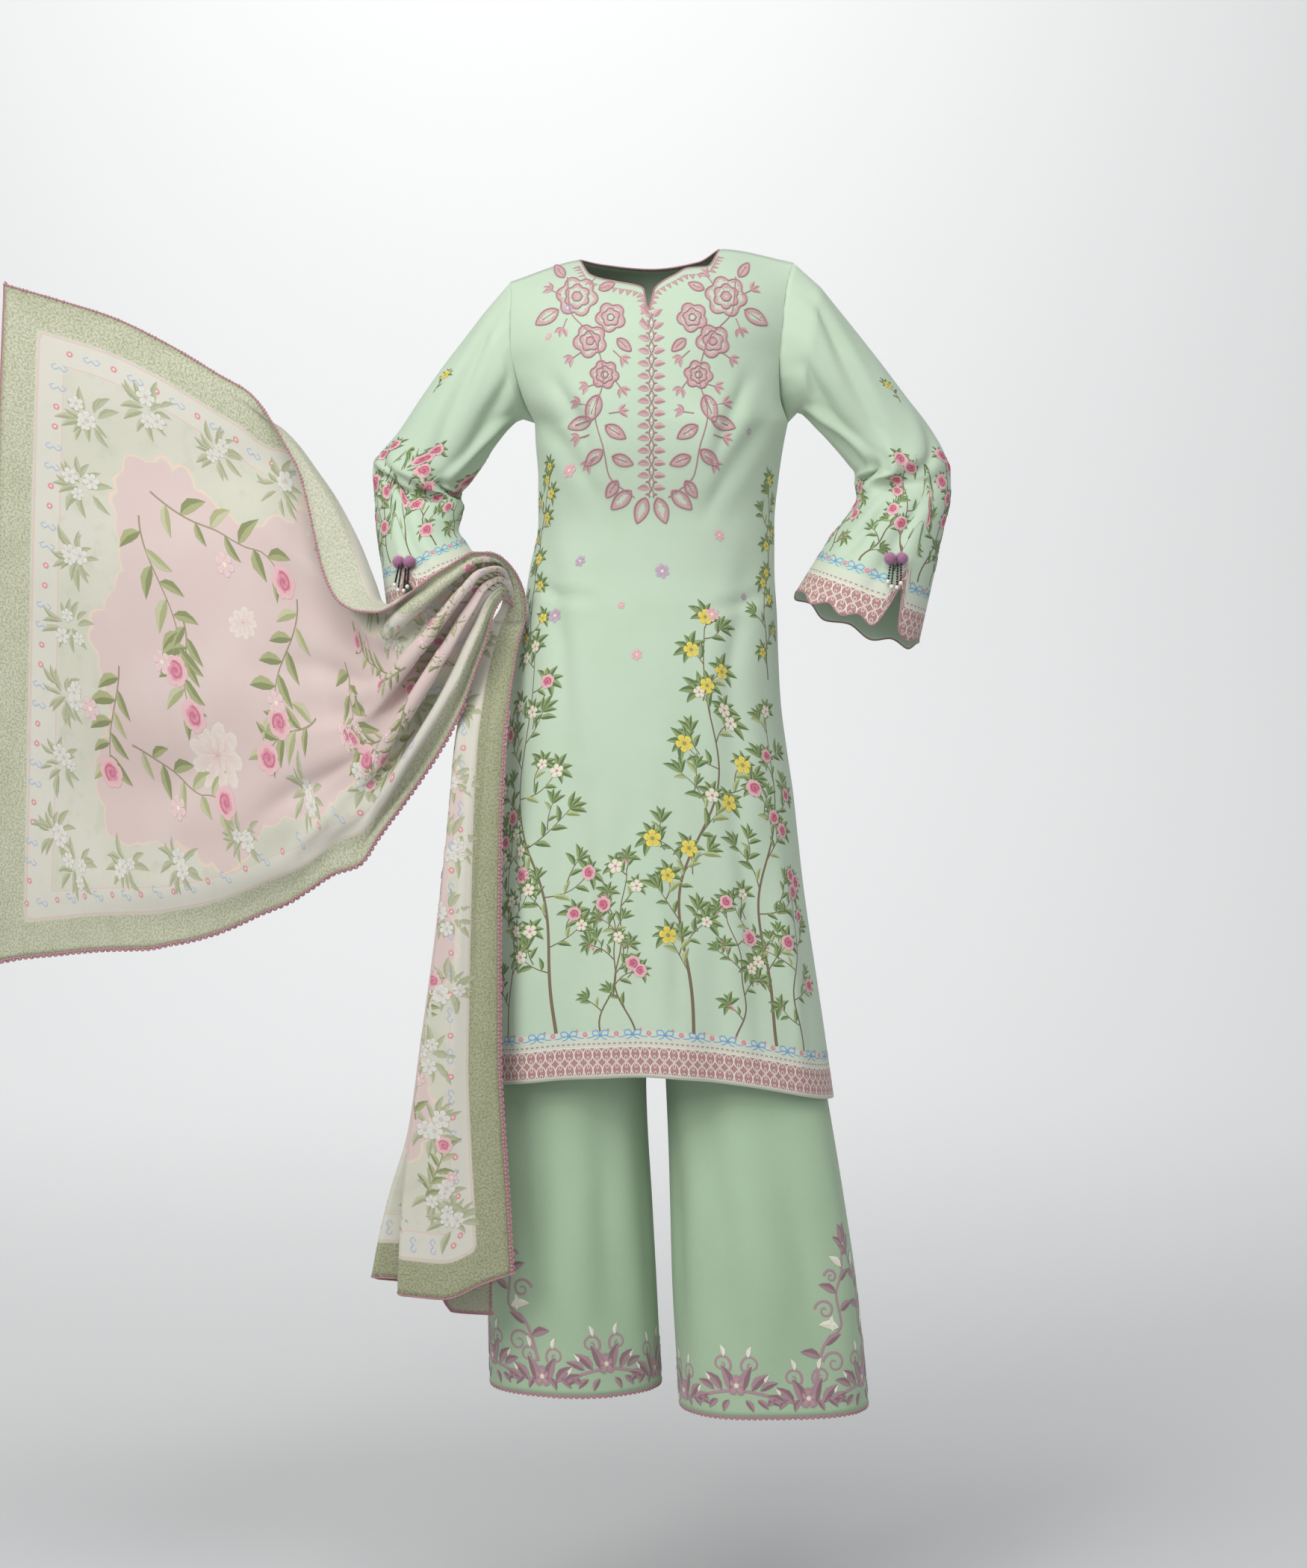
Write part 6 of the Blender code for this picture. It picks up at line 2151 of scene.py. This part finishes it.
    def edges(self, cloth: Cloth) -> list[bpy.types.Object]:
        """Knotted cord on both long edges and lace loops on the hems."""
        cord = Paths("scarf_edge_cord")
        cord.column(cloth, 0, 0.0)
        cord.column(cloth, -1, 0.0)
        cord.row(cloth, 0, 0.0)
        cord.row(cloth, -1, 0.0)
        line = self.trims.cords(cord, 1.1, self.lace, 3.0)
        knots = Paths("scarf_edge_knots")
        knots.column(cloth, 0, 0.0)
        knots.column(cloth, -1, 0.0)
        bead = ball("edge_knot", 1.9, INK.rose, 4, 6)
        beads = self.trims.along(knots, bead, 4.6, self.tinted, 0.2, 8)
        loops = Paths("scarf_lace")
        out = cloth.cached_normals()
        for line_at, turn in ((0, False), (-1, True)):
            points, outs = cloth.points[line_at], out[line_at]
            loops.lines.append((points[::-1], outs[::-1], False) if turn else (points, outs, False))
        fly = slice(0, 120)
        loops.lines.append((cloth.points[fly, -1][::-1], out[fly, -1][::-1], False))
        fall = slice(190, None)
        loops.lines.append((cloth.points[fall, 0], out[fall, 0], False))
        lace = self.trims.along(loops, scallop("scarf_loop", 4.0, INK.rose, INK.rose_light), 7.6, self.lace, 0.05, 4)
        return [line, beads, lace]


WOOL: Colour = (0.400, 0.170, 0.300)
# painted highlight: the tips of the pompom hairs are lighter than their roots inside the pile
WOOL_TIP_HIGHLIGHT: Colour = (0.560, 0.300, 0.460)


@dataclass(frozen=True)
class Tassel:
    """Pair of pompoms with beaded strands; sizes in millimetres."""

    node: str
    left_x: float
    y: float
    lean: float
    z: float
    swing: float
    radius: float = 6.6

    def build(self, trims: Trims, wool: bpy.types.Material, beads: bpy.types.Material) -> list[bpy.types.Object]:
        """Pompoms with a pile, then the strands and their pearls."""
        core = self.core(wool)
        # painted highlight on the hair tips, painted shade at their roots
        hair = small_piece("pile_hair", [(0.35, 0, -0.5), (-0.2, 0.3, -0.5), (-0.2, -0.3, -0.5), (0, 0, 2.4)],
                           [(0, 1, 3), (1, 2, 3), (2, 0, 3)], [WOOL, WOOL, WOOL, WOOL_TIP_HIGHLIGHT])
        values = {"Piece": hair, "Density": 1.1e6, "Seed": 3, "Finish": wool}
        puffs = trims.pile.run(core, f"{self.node}_pompoms", values)
        bpy.data.objects.remove(hair, do_unlink=True)
        strands, pearls = Paths(f"{self.node}_beads"), Paths(f"{self.node}_cords")
        y = self.y - 0.5 * self.lean
        tips = []
        for k, (shift, long) in enumerate(((-1, 24), (3, 30), (9.5, 31), (14, 26))):
            root = np.array((self.left_x + 2 + shift * 0.8, y + 1.2 * (-1) ** k, self.z - 3))
            tip = np.array((self.left_x + shift - 1.5, y - self.swing + 1.2 * (-1) ** k, self.z - 3 - long))
            line = root + (tip - root) * np.linspace(0, 1, 12)[:, None]
            out = np.tile((0.0, -1.0, 0.0), (12, 1))
            strands.lines.append((line[2:], out[2:], False))
            pearls.lines.append((line, out, False))
            tips.append(tip)
        row = trims.along(strands, ball("black_bead", 1.5, (0.02, 0.018, 0.02), 4, 6), 3.0, beads, 0.1, 2)
        cords = trims.cords(pearls, 0.35, beads, 3.0, 4)
        last = Paths(f"{self.node}_pearls")
        for tip in tips:
            ends = np.stack([tip, tip + np.array((0.0, 0.0, -0.4))])
            last.lines.append((ends, np.tile((0.0, -1.0, 0.0), (2, 1)), False))
        pearl = trims.along(last, ball("pearl", 2.5, (0.80, 0.77, 0.70), 6, 9), 5.0, beads, 0.0, 2)
        settle(puffs, "tassel_thread", self.node)
        for piece in (row, cords, pearl):
            settle(piece, "bead")
        return [puffs, row, cords, pearl]

    def core(self, wool: bpy.types.Material) -> bpy.types.Object:
        """The two round bodies under the pile."""
        points, faces = [], []
        for side in (0, 1):
            centre = (self.left_x + 14 * side, self.y - self.lean * side, self.z)
            body = ball("body", self.radius, WOOL, 8, 12)
            start = len(points)
            points += [tuple(v.co[k] / MM + centre[k] for k in range(3)) for v in body.data.vertices]
            faces += [tuple(start + i for i in p.vertices) for p in body.data.polygons]
            bpy.data.objects.remove(body, do_unlink=True)
        return small_piece(f"{self.node}_core", points, faces, [WOOL] * len(points))


TASSELS = (
    Tassel("tassel_left", -299.0, -72.8, 8.6, -372.0, 26.0),
    Tassel("tassel_right", 286.0, -72.4, -3.6, -368.0, 5.0),
)


@dataclass
class Tunic:
    """Front and back of the tunic."""

    form: TunicForm
    cloth: LawnCloth = LawnCloth("tunic_lawn")
    wall: float = 0.9
    front_creases: tuple[Crease, ...] = (
        Crease(((-118, -150), (-84, -205), (-66, -262)), 9, -4.2),
        Crease(((-140, -196), (-96, -238), (-60, -300)), 10, -3.8),
        Crease(((118, -150), (92, -210), (74, -262)), 9, -4.2),
        Crease(((142, -200), (104, -248), (64, -318)), 10, -3.5),
        Crease(((-130, -330), (-104, -470), (-98, -640)), 13, -3.8),
        Crease(((124, -350), (96, -500), (104, -700)), 14, -4.2),
        Crease(((-84, -640), (-70, -800), (-74, -960)), 15, -5.1),
        Crease(((-136, -560), (-146, -760), (-158, -985)), 13, 5.1),
        Crease(((18, -620), (34, -800), (30, -975)), 17, -4.5),
        Crease(((96, -640), (126, -820), (136, -990)), 15, -5.4),
        Crease(((150, -700), (170, -860), (182, -1000)), 11, 4.2),
        Crease(((-20, -700), (-26, -850), (-22, -960)), 12, 2.9),
        Crease(((-146, -392), (-110, -412), (-66, -416)), 7, -2.9),
        Crease(((146, -404), (112, -420), (70, -428)), 7, -2.9),
    )
    back_creases: tuple[Crease, ...] = (
        Crease(((-110, -120), (-60, -190), (-30, -300)), 12, -4.2),
        Crease(((112, -120), (66, -200), (34, -310)), 12, -4.2),
        Crease(((-90, -360), (-80, -600), (-96, -960)), 15, -5.4),
        Crease(((0, -380), (8, -640), (-4, -970)), 17, -4.8),
        Crease(((92, -380), (98, -640), (112, -980)), 15, -5.4),
        Crease(((-130, -398), (-70, -420), (-10, -424)), 8, -3.5),
        Crease(((130, -404), (76, -424), (20, -430)), 8, -3.5),
    )

    def panel(self, side: int) -> Cloth:
        """Fine grid of one panel, creased."""
        shares = np.sin(np.linspace(-1, 1, 151) * math.pi / 2 * 0.9) / math.sin(math.pi / 2 * 0.9)
        rows = np.concatenate([np.linspace(0, 1, 121), 1 + np.linspace(0, 1, 41)[1:]])[::-1]
        points = self.form.point(side, shares[None, :], rows[:, None])
        cloth = Cloth(points, float(side))
        creases = self.front_creases if side < 0 else self.back_creases
        hold = ease(1 - np.abs(shares), 0.0, 0.10)[None, :] * ease(2 - rows, 0.0, 0.12)[:, None]
        cloth.crease(creases, points[..., 0], points[..., 2], hold)
        cloth.measure()
        return cloth

    def build(self) -> list[bpy.types.Object]:
        """Both panels as pieces that stand for their solids."""
        finish = self.cloth.material()
        made = []
        self.grids = {side: self.panel(side) for side in (-1, 1)}
        for side, node in ((-1, "tunic_front"), (1, "tunic_back")):
            piece = self.grids[side].shell(f"{node}_cloth", finish, self.wall, {})
            settle(piece, "tunic_cloth", node)
            made.append(piece)
        return made


@dataclass
class Sleeve:
    """One belled sleeve."""

    side: Side
    tunic: TunicForm
    cloth: LawnCloth
    wall: float = 0.9

    def creases(self) -> tuple[Crease, ...]:
        """Folds at the armhole, the elbow and the forearm; marks are degrees round and ring x 20."""
        shared = (
            Crease(((40, 6), (70, 60), (95, 110)), 9, -5.4),
            Crease(((100, 4), (120, 50), (130, 100)), 9, -5.8),
            Crease(((20, 120), (60, 150), (120, 176)), 8, -5.4),
            Crease(((40, 165), (85, 172), (150, 160)), 8, -6.1),
            Crease(((250, 150), (290, 168), (335, 160)), 9, -5.8),
            Crease(((240, 30), (270, 80), (300, 120)), 10, -5.1),
            Crease(((70, 190), (80, 225), (92, 262)), 9, -4.8),
            Crease(((250, 190), (262, 230), (270, 268)), 10, -5.1),
            Crease(((310, 190), (322, 230), (330, 268)), 9, 4.2),
            Crease(((172, 36), (150, 90), (140, 138)), 7, -6.5),
            Crease(((156, 40), (132, 95), (118, 138)), 6, 4.6),
            Crease(((118, 122), (128, 147), (165, 160)), 6, -8.0),
            Crease(((92, 116), (104, 150), (150, 172)), 6, 5.5),
        )
        if self.side is Side.LEFT:
            return shared + (Crease(((10, 148), (55, 160), (100, 190)), 6, -6.7),)
        return shared + (Crease(((105, 184), (118, 210), (130, 240)), 7, -5.1),)

    def build(self) -> bpy.types.Object:
        """The sleeve as a piece that stands for its solid."""
        form = SleeveForm(self.side.value, self.tunic)
        at = np.concatenate([np.linspace(0, 7, 43), np.linspace(7, 9, 19)[1:], np.linspace(9, 14, 46)[1:]])
        turn = np.linspace(0, 1, 157)
        points = form.point(at[:, None], turn[None, :])
        out = 1.0 if self.side is Side.RIGHT else -1.0
        self.grid = Cloth(points, out, closed=True)
        reach = form.reach(at[:, None], turn[None, :])
        hold = ease(at, 0.0, 1.4)[:, None] * ease(14 - at, 0.0, 0.6)[:, None] * np.ones_like(reach)
        self.grid.crease(self.creases(), np.broadcast_to(turn * 360, reach.shape), reach * 20, hold)
        self.grid.points[:, -1] = self.grid.points[:, 0]
        self.grid.measure(middle=0.0)
        self.grid.rounded()
        self.grid.v = self.from_hem(form, reach, turn)
        node = "sleeve_left" if self.side is Side.LEFT else "sleeve_right"
        piece = self.grid.shell(f"{node}_cloth", self.cloth.material(), self.wall, {})
        settle(piece, "tunic_cloth", node)
        return piece

    def from_hem(self, form: SleeveForm, reach: np.ndarray, turn: np.ndarray) -> np.ndarray:
        """Length up from the level line of the hem, below which the scallops hang."""
        along = np.linalg.norm(np.diff(self.grid.points, axis=0), axis=-1)
        down = np.concatenate([np.zeros((1, along.shape[1])), np.cumsum(along, axis=0)], axis=0)
        total = np.array([np.interp(form.count + 0.5, reach[:, k], down[:, k]) for k in range(len(turn))])
        return total[None, :] - down


@dataclass
class Trousers:
    """Both legs and the waistband."""

    cloth: TrouserCloth = TrouserCloth()
    wall: float = 0.9

    def creases(self, side: Side) -> tuple[Crease, ...]:
        """Long soft folds; marks are degrees round and height."""
        turn = 1 if side is Side.LEFT else -1
        return (
            Crease(((60 + 6 * turn, -960), (64, -1150), (58, -1360)), 13, -5.4),
            Crease(((104, -1010), (112, -1180), (118 - 4 * turn, -1370)), 12, -4.8),
            Crease(((84, -1120), (88, -1240), (86, -1350)), 10, 3.2),
            Crease(((140, -960), (150, -1150), (152, -1330)), 12, 3.8),
            Crease(((246, -900), (250, -1120), (244, -1350)), 14, -5.8),
            Crease(((290, -940), (296, -1140), (300, -1350)), 13, -5.1),
            Crease(((20, -1000), (24, -1180), (22, -1350)), 12, -4.2),
        )

    def build(self) -> list[bpy.types.Object]:
        """The legs and the band as pieces that stand for their solids."""
        finish = self.cloth.material()
        made = []
        self.grids = {}
        for side, node in ((Side.LEFT, "trouser_leg_left"), (Side.RIGHT, "trouser_leg_right")):
            form = LegForm(side.value)
            psi = np.linspace(0, 1, 121)
            hem = form.table[0][0]
            low = np.linspace(LEG_CROTCH_Z, hem, 84)
            points = form.point(psi[None, :], low[:, None])
            grid = Cloth(points, -float(side.value), closed=True)
            hold = ease(-low, 800, 960)[:, None] * np.ones_like(points[..., 0])
            grid.crease(self.creases(side), np.broadcast_to(psi * 360, hold.shape), points[..., 2], hold)
            grid.points[:, -1] = grid.points[:, 0]
            grid.measure(middle=0.5)
            self.grids[side] = grid
            upper = form.point(np.linspace(0, 1, 121)[None, :], np.linspace(-420, LEG_CROTCH_Z, 41)[:, None])
            seat = Cloth(upper, -float(side.value))
            seat.measure()
            seat.v = seat.v + grid.v[0].mean()
            top = seat.shell(f"{node}_seat", finish, self.wall, {})
            piece = grid.shell(f"{node}_cloth", finish, self.wall, {})
            piece = joined(piece, top)
            settle(piece, "trouser_cloth", node)
            made.append(piece)
        made.append(self.waistband(finish))
        return made

    def waistband(self, finish: bpy.types.Material) -> bpy.types.Object:
        """Plain band round the top, hidden by the tunic."""
        angle = np.linspace(0, 2 * math.pi, 121)[None, :]
        rows = columns(WAIST)
        z = np.linspace(-380, -419.7, 9)[:, None]
        left, right, front, back = [rows[k](z) for k in range(1, 5)]
        swing, sway = np.cos(angle), np.sin(angle)
        x = (left + right) / 2 + (right - left) / 2 * np.sign(swing) * np.abs(swing) ** 0.85
        y = np.where(sway > 0, front, back) * np.abs(sway) ** 0.85
        grid = Cloth(stack(x, y, z), 1.0, closed=True)
        grid.measure()
        piece = grid.shell("trouser_waistband", finish, 2.6, {})
        settle(piece, "trouser_cloth", "waistband")
        return piece


@dataclass
class Scarf:
    """The long scarf as one sheet: flying end, forearm and hanging end."""

    cloth: ScarfCloth = ScarfCloth()
    wall: float = 0.8
    folds: tuple[Crease, ...] = (
        Crease(((128, 24), (98, 27), (70, 36), (40, 50)), 3.4, -8.0),
        Crease(((128, 34), (98, 38), (76, 46), (52, 60)), 3.0, 7.0),
        Crease(((126, 42), (98, 47), (72, 60), (44, 80)), 3.4, -9.0),
        Crease(((126, 54), (96, 58), (74, 70), (56, 88)), 3.0, 7.5),
        Crease(((128, 64), (98, 68), (80, 78), (66, 92)), 3.0, -7.0),
        Crease(((128, 76), (100, 78), (86, 84), (74, 94)), 2.4, 5.0),
        Crease(((120, 14), (96, 18), (66, 24), (30, 30)), 3.6, 6.0),
        Crease(((60, 12), (30, 20), (8, 34)), 6.0, -9.0),
        Crease(((46, 66), (24, 74), (6, 78)), 6.5, -9.0),
        Crease(((70, 92), (40, 90), (10, 92)), 4.0, 6.0),
        Crease(((142, 5), (180, 5.5), (238, 4.6)), 1.5, -3.4),
        Crease(((142, 10), (170, 10), (236, 9.4)), 1.3, 3.0),
        Crease(((150, 92), (190, 92), (236, 93)), 1.8, -3.0),
        Crease(((150, 60), (190, 61), (236, 60)), 1.6, -2.6),
    )

    def build(self) -> bpy.types.Object:
        """The whole scarf as one piece that stands for its three solids."""
        form = ScarfForm()
        index = np.linspace(0, SCARF_COLUMNS, 141)[None, :]
        across = 1 - index / SCARF_COLUMNS
        fly_at = np.linspace(0, 0.995, 120)[:, None] + 0 * index
        arm_at = np.linspace(0.03, 1.0, 56)[:, None] + 0 * index
        fall_at = np.linspace(0.012, 1.0, 110)[:, None] + 0 * index
        parts = [
            form.fly(fly_at, across + 0 * fly_at),
            form.arm(arm_at, index + 0 * arm_at),
            form.fall(fall_at, index + 0 * fall_at),
        ]
        self.grid = Cloth(np.concatenate(parts, axis=0), 1.0)
        self.fold(index)
        self.grid.measure(middle=0.0)
        self.grid.v = np.broadcast_to(self.grid.v.mean(axis=1, keepdims=True), self.grid.v.shape).copy()
        width = self.grid.u[:, -1:]
        rim = np.minimum(self.grid.u, width - self.grid.u)
        rim = rim + np.maximum(440 - width / 2, 0) * (2 * rim / width) ** 3
        rim = np.minimum(rim, self.from_ends())
        piece = self.grid.shell("scarf_cloth_sheet", self.cloth.material(), self.wall, {"rim": rim * MM})
        settle(piece, "scarf_cloth", "scarf_fly", "scarf_over_arm", "scarf_fall")
        return piece

    def fold(self, index: np.ndarray) -> None:
        """Press the folds that spread from the hand, and the long ones of the hanging end."""
        rows = np.concatenate([np.linspace(0, 100, 120), np.linspace(101, 140, 56), np.linspace(141, 240, 110)])
        a, b = np.broadcast_arrays(rows[:, None], index / SCARF_COLUMNS * 100)
        hold = ease(a, 0, 12) * ease(240 - a, 0, 12) * ease(b, 0, 5) * ease(100 - b, 0, 5)
        self.grid.crease(self.folds, a, b, hold)

    def from_ends(self) -> np.ndarray:
        """Length to the nearer end hem, along each column."""
        along = np.linalg.norm(np.diff(self.grid.points, axis=0), axis=-1)
        down = np.concatenate([np.zeros((1, along.shape[1])), np.cumsum(along, axis=0)], axis=0)
        return np.minimum(down, down[-1:] - down)


def settle(piece: bpy.types.Object, slot: str, *nodes: str) -> None:
    """Fix a piece to the body and hide the solids that it stands for.

    Args:
        piece: The piece.
        slot: The record's material slot; not used.
        nodes: Names of the solids, if any.
    """
    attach(piece, "root")
    if nodes:
        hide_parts(*nodes)
    LOG.info("%s: %d faces", piece.name, len(piece.data.polygons))


def joined(first: bpy.types.Object, *others: bpy.types.Object) -> bpy.types.Object:
    """One mesh object out of several that share their finish."""
    bpy.ops.object.select_all(action="DESELECT")
    for item in (first, *others):
        item.select_set(True)
    bpy.context.view_layer.objects.active = first
    bpy.ops.object.join()
    return first


@dataclass
class Studio:
    """Floor, backdrop, lights and camera."""

    paper: StudioWall = StudioWall()

    def backdrop(self) -> bpy.types.Object:
        """Floor that curves up into a wall."""
        section = [(-10.0, -1.71), (4.6, -1.71), (6.2, -1.60), (7.3, -1.1), (7.9, 0.0), (8.0, 7.0)]
        points = [(x, y, z) for y, z in section for x in (-10.0, 10.0)]
        faces = [(2 * k, 2 * k + 1, 2 * k + 3, 2 * k + 2) for k in range(len(section) - 1)]
        wall = mesh_of("studio_backdrop", np.array(points), np.array(faces), self.paper.material())
        smooth = wall.modifiers.new("Curve", "SUBSURF")
        smooth.levels = smooth.render_levels = 3
        return wall

    @staticmethod
    def lamp(name: str, place: tuple[float, float, float], aim: tuple[float, float, float],
             size: float, power: float, colour: Colour) -> None:
        """One soft square lamp."""
        data = bpy.data.lights.new(name, "AREA")
        data.shape = "SQUARE"
        data.size = size
        data.energy = power
        data.color = colour
        lamp = bpy.data.objects.new(name, data)
        bpy.context.scene.collection.objects.link(lamp)
        lamp.visible_camera = False
        lamp.location = place
        lamp.rotation_euler = aimed(place, aim)

    def build(self) -> None:
        """Everything round the suit."""
        self.backdrop()
        self.lamp("key_lamp", (-2.6, -3.8, 1.9), (0.0, 0.0, -0.4), 2.4, 112.0, (1.0, 0.99, 0.97))
        self.lamp("fill_lamp", (3.2, -3.2, 0.6), (0.0, 0.0, -0.7), 3.0, 20.0, (0.98, 0.99, 1.0))
        self.lamp("top_lamp", (-0.4, -2.2, 2.4), (0.0, 0.0, -0.2), 2.0, 70.0, (1.0, 1.0, 1.0))
        self.lamp("wall_lamp", (-0.5, 4.4, 3.0), (-0.8, 8.0, -0.3), 3.0, 128.0, (1.0, 1.0, 1.0))
        world = bpy.data.worlds.new("studio_world")
        world.use_nodes = True
        world.node_tree.nodes["Background"].inputs["Color"].default_value = (0.92, 0.94, 0.96, 1.0)
        world.node_tree.nodes["Background"].inputs["Strength"].default_value = 0.42
        bpy.context.scene.world = world
        data = bpy.data.cameras.new("camera")
        data.sensor_fit = "VERTICAL"
        data.sensor_height = 36.0
        data.sensor_width = 36.0
        data.lens = 36 * 4.8 / (2100 * 0.905e-3)
        camera = bpy.data.objects.new("camera", data)
        bpy.context.scene.collection.objects.link(camera)
        camera.location = (0.0045, -4.7918, -0.36)
        camera.rotation_euler = aimed((0.0045, -4.7918, -0.36), (0.0045, 0.0, -0.641))
        bpy.context.scene.camera = camera
        bpy.context.scene.view_settings.view_transform = "Standard"


def aimed(place: tuple[float, float, float], aim: tuple[float, float, float]) -> tuple[float, float, float]:
    """Turn of a lamp or camera that looks from one place at another."""
    x, y, z = (b - a for a, b in zip(place, aim))
    flat = math.hypot(x, y)
    return (math.atan2(flat, -z), 0.0, math.atan2(-x, y))


def main() -> None:
    """Build every piece in order and report it."""
    logging.basicConfig(level=logging.INFO, format="%(name)s: %(message)s")
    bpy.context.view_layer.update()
    form = TunicForm()
    trims = Trims()
    silk = ThreadWork("embroidery_silk", 0.50, 0.25, 1400.0, 0.0003).material()
    ink = ThreadWork("printed_motifs", 0.68, 0.12, 900.0, 0.0001).material()
    bead = ThreadWork("bead_finish", 0.25, 0.0, 500.0, 0.0001).material()
    wool = ThreadWork("pompom_wool", 0.75, 0.5, 900.0, 0.0002).material()
    cord = SpunThread("rose_cord", INK.rose, INK.rose_dark).material()
    tunic = Tunic(form)
    tunic.build()
    front = tunic.grids[-1]
    by_height = Cloth(front.points, front.out, u=front.points[..., 0], v=front.points[..., 2])
    TunicPrint(trims, ink, tunic.wall).build(tunic.grids)
    YokeWork(trims, cord, silk).build(by_height, tunic.wall)
    NeckEdge(trims, cord, silk).build(tunic.grids, tunic.wall)
    for side in Side:
        sleeve = Sleeve(side, form, LawnCloth(f"sleeve_lawn_{side.name.lower()}", lattice=(-0.05, 0.026),
                        dashes=(0.0285, 0.0305), pale=(0.026, 0.042), tile=0.0180))
        sleeve.build()
        SleeveDress(trims, ink, cord).build(sleeve.grid, f"sleeve_{side.name.lower()}", 11 + side.value, sleeve.wall)
    trousers = Trousers()
    trousers.build()
    for side in Side:
        node = f"trouser_{side.name.lower()}"
        TrouserDress(trims, silk, cord).build(trousers.grids[side], side, node, trousers.wall)
    scarf = Scarf()
    scarf.build()
    ScarfDress(trims, ink, silk, cord).build(scarf.grid, scarf.wall)
    for tassel in TASSELS:
        tassel.build(trims, wool, bead)
    Studio().build()
    LOG.info("all pieces made")


if __name__ == "__main__":
    main()
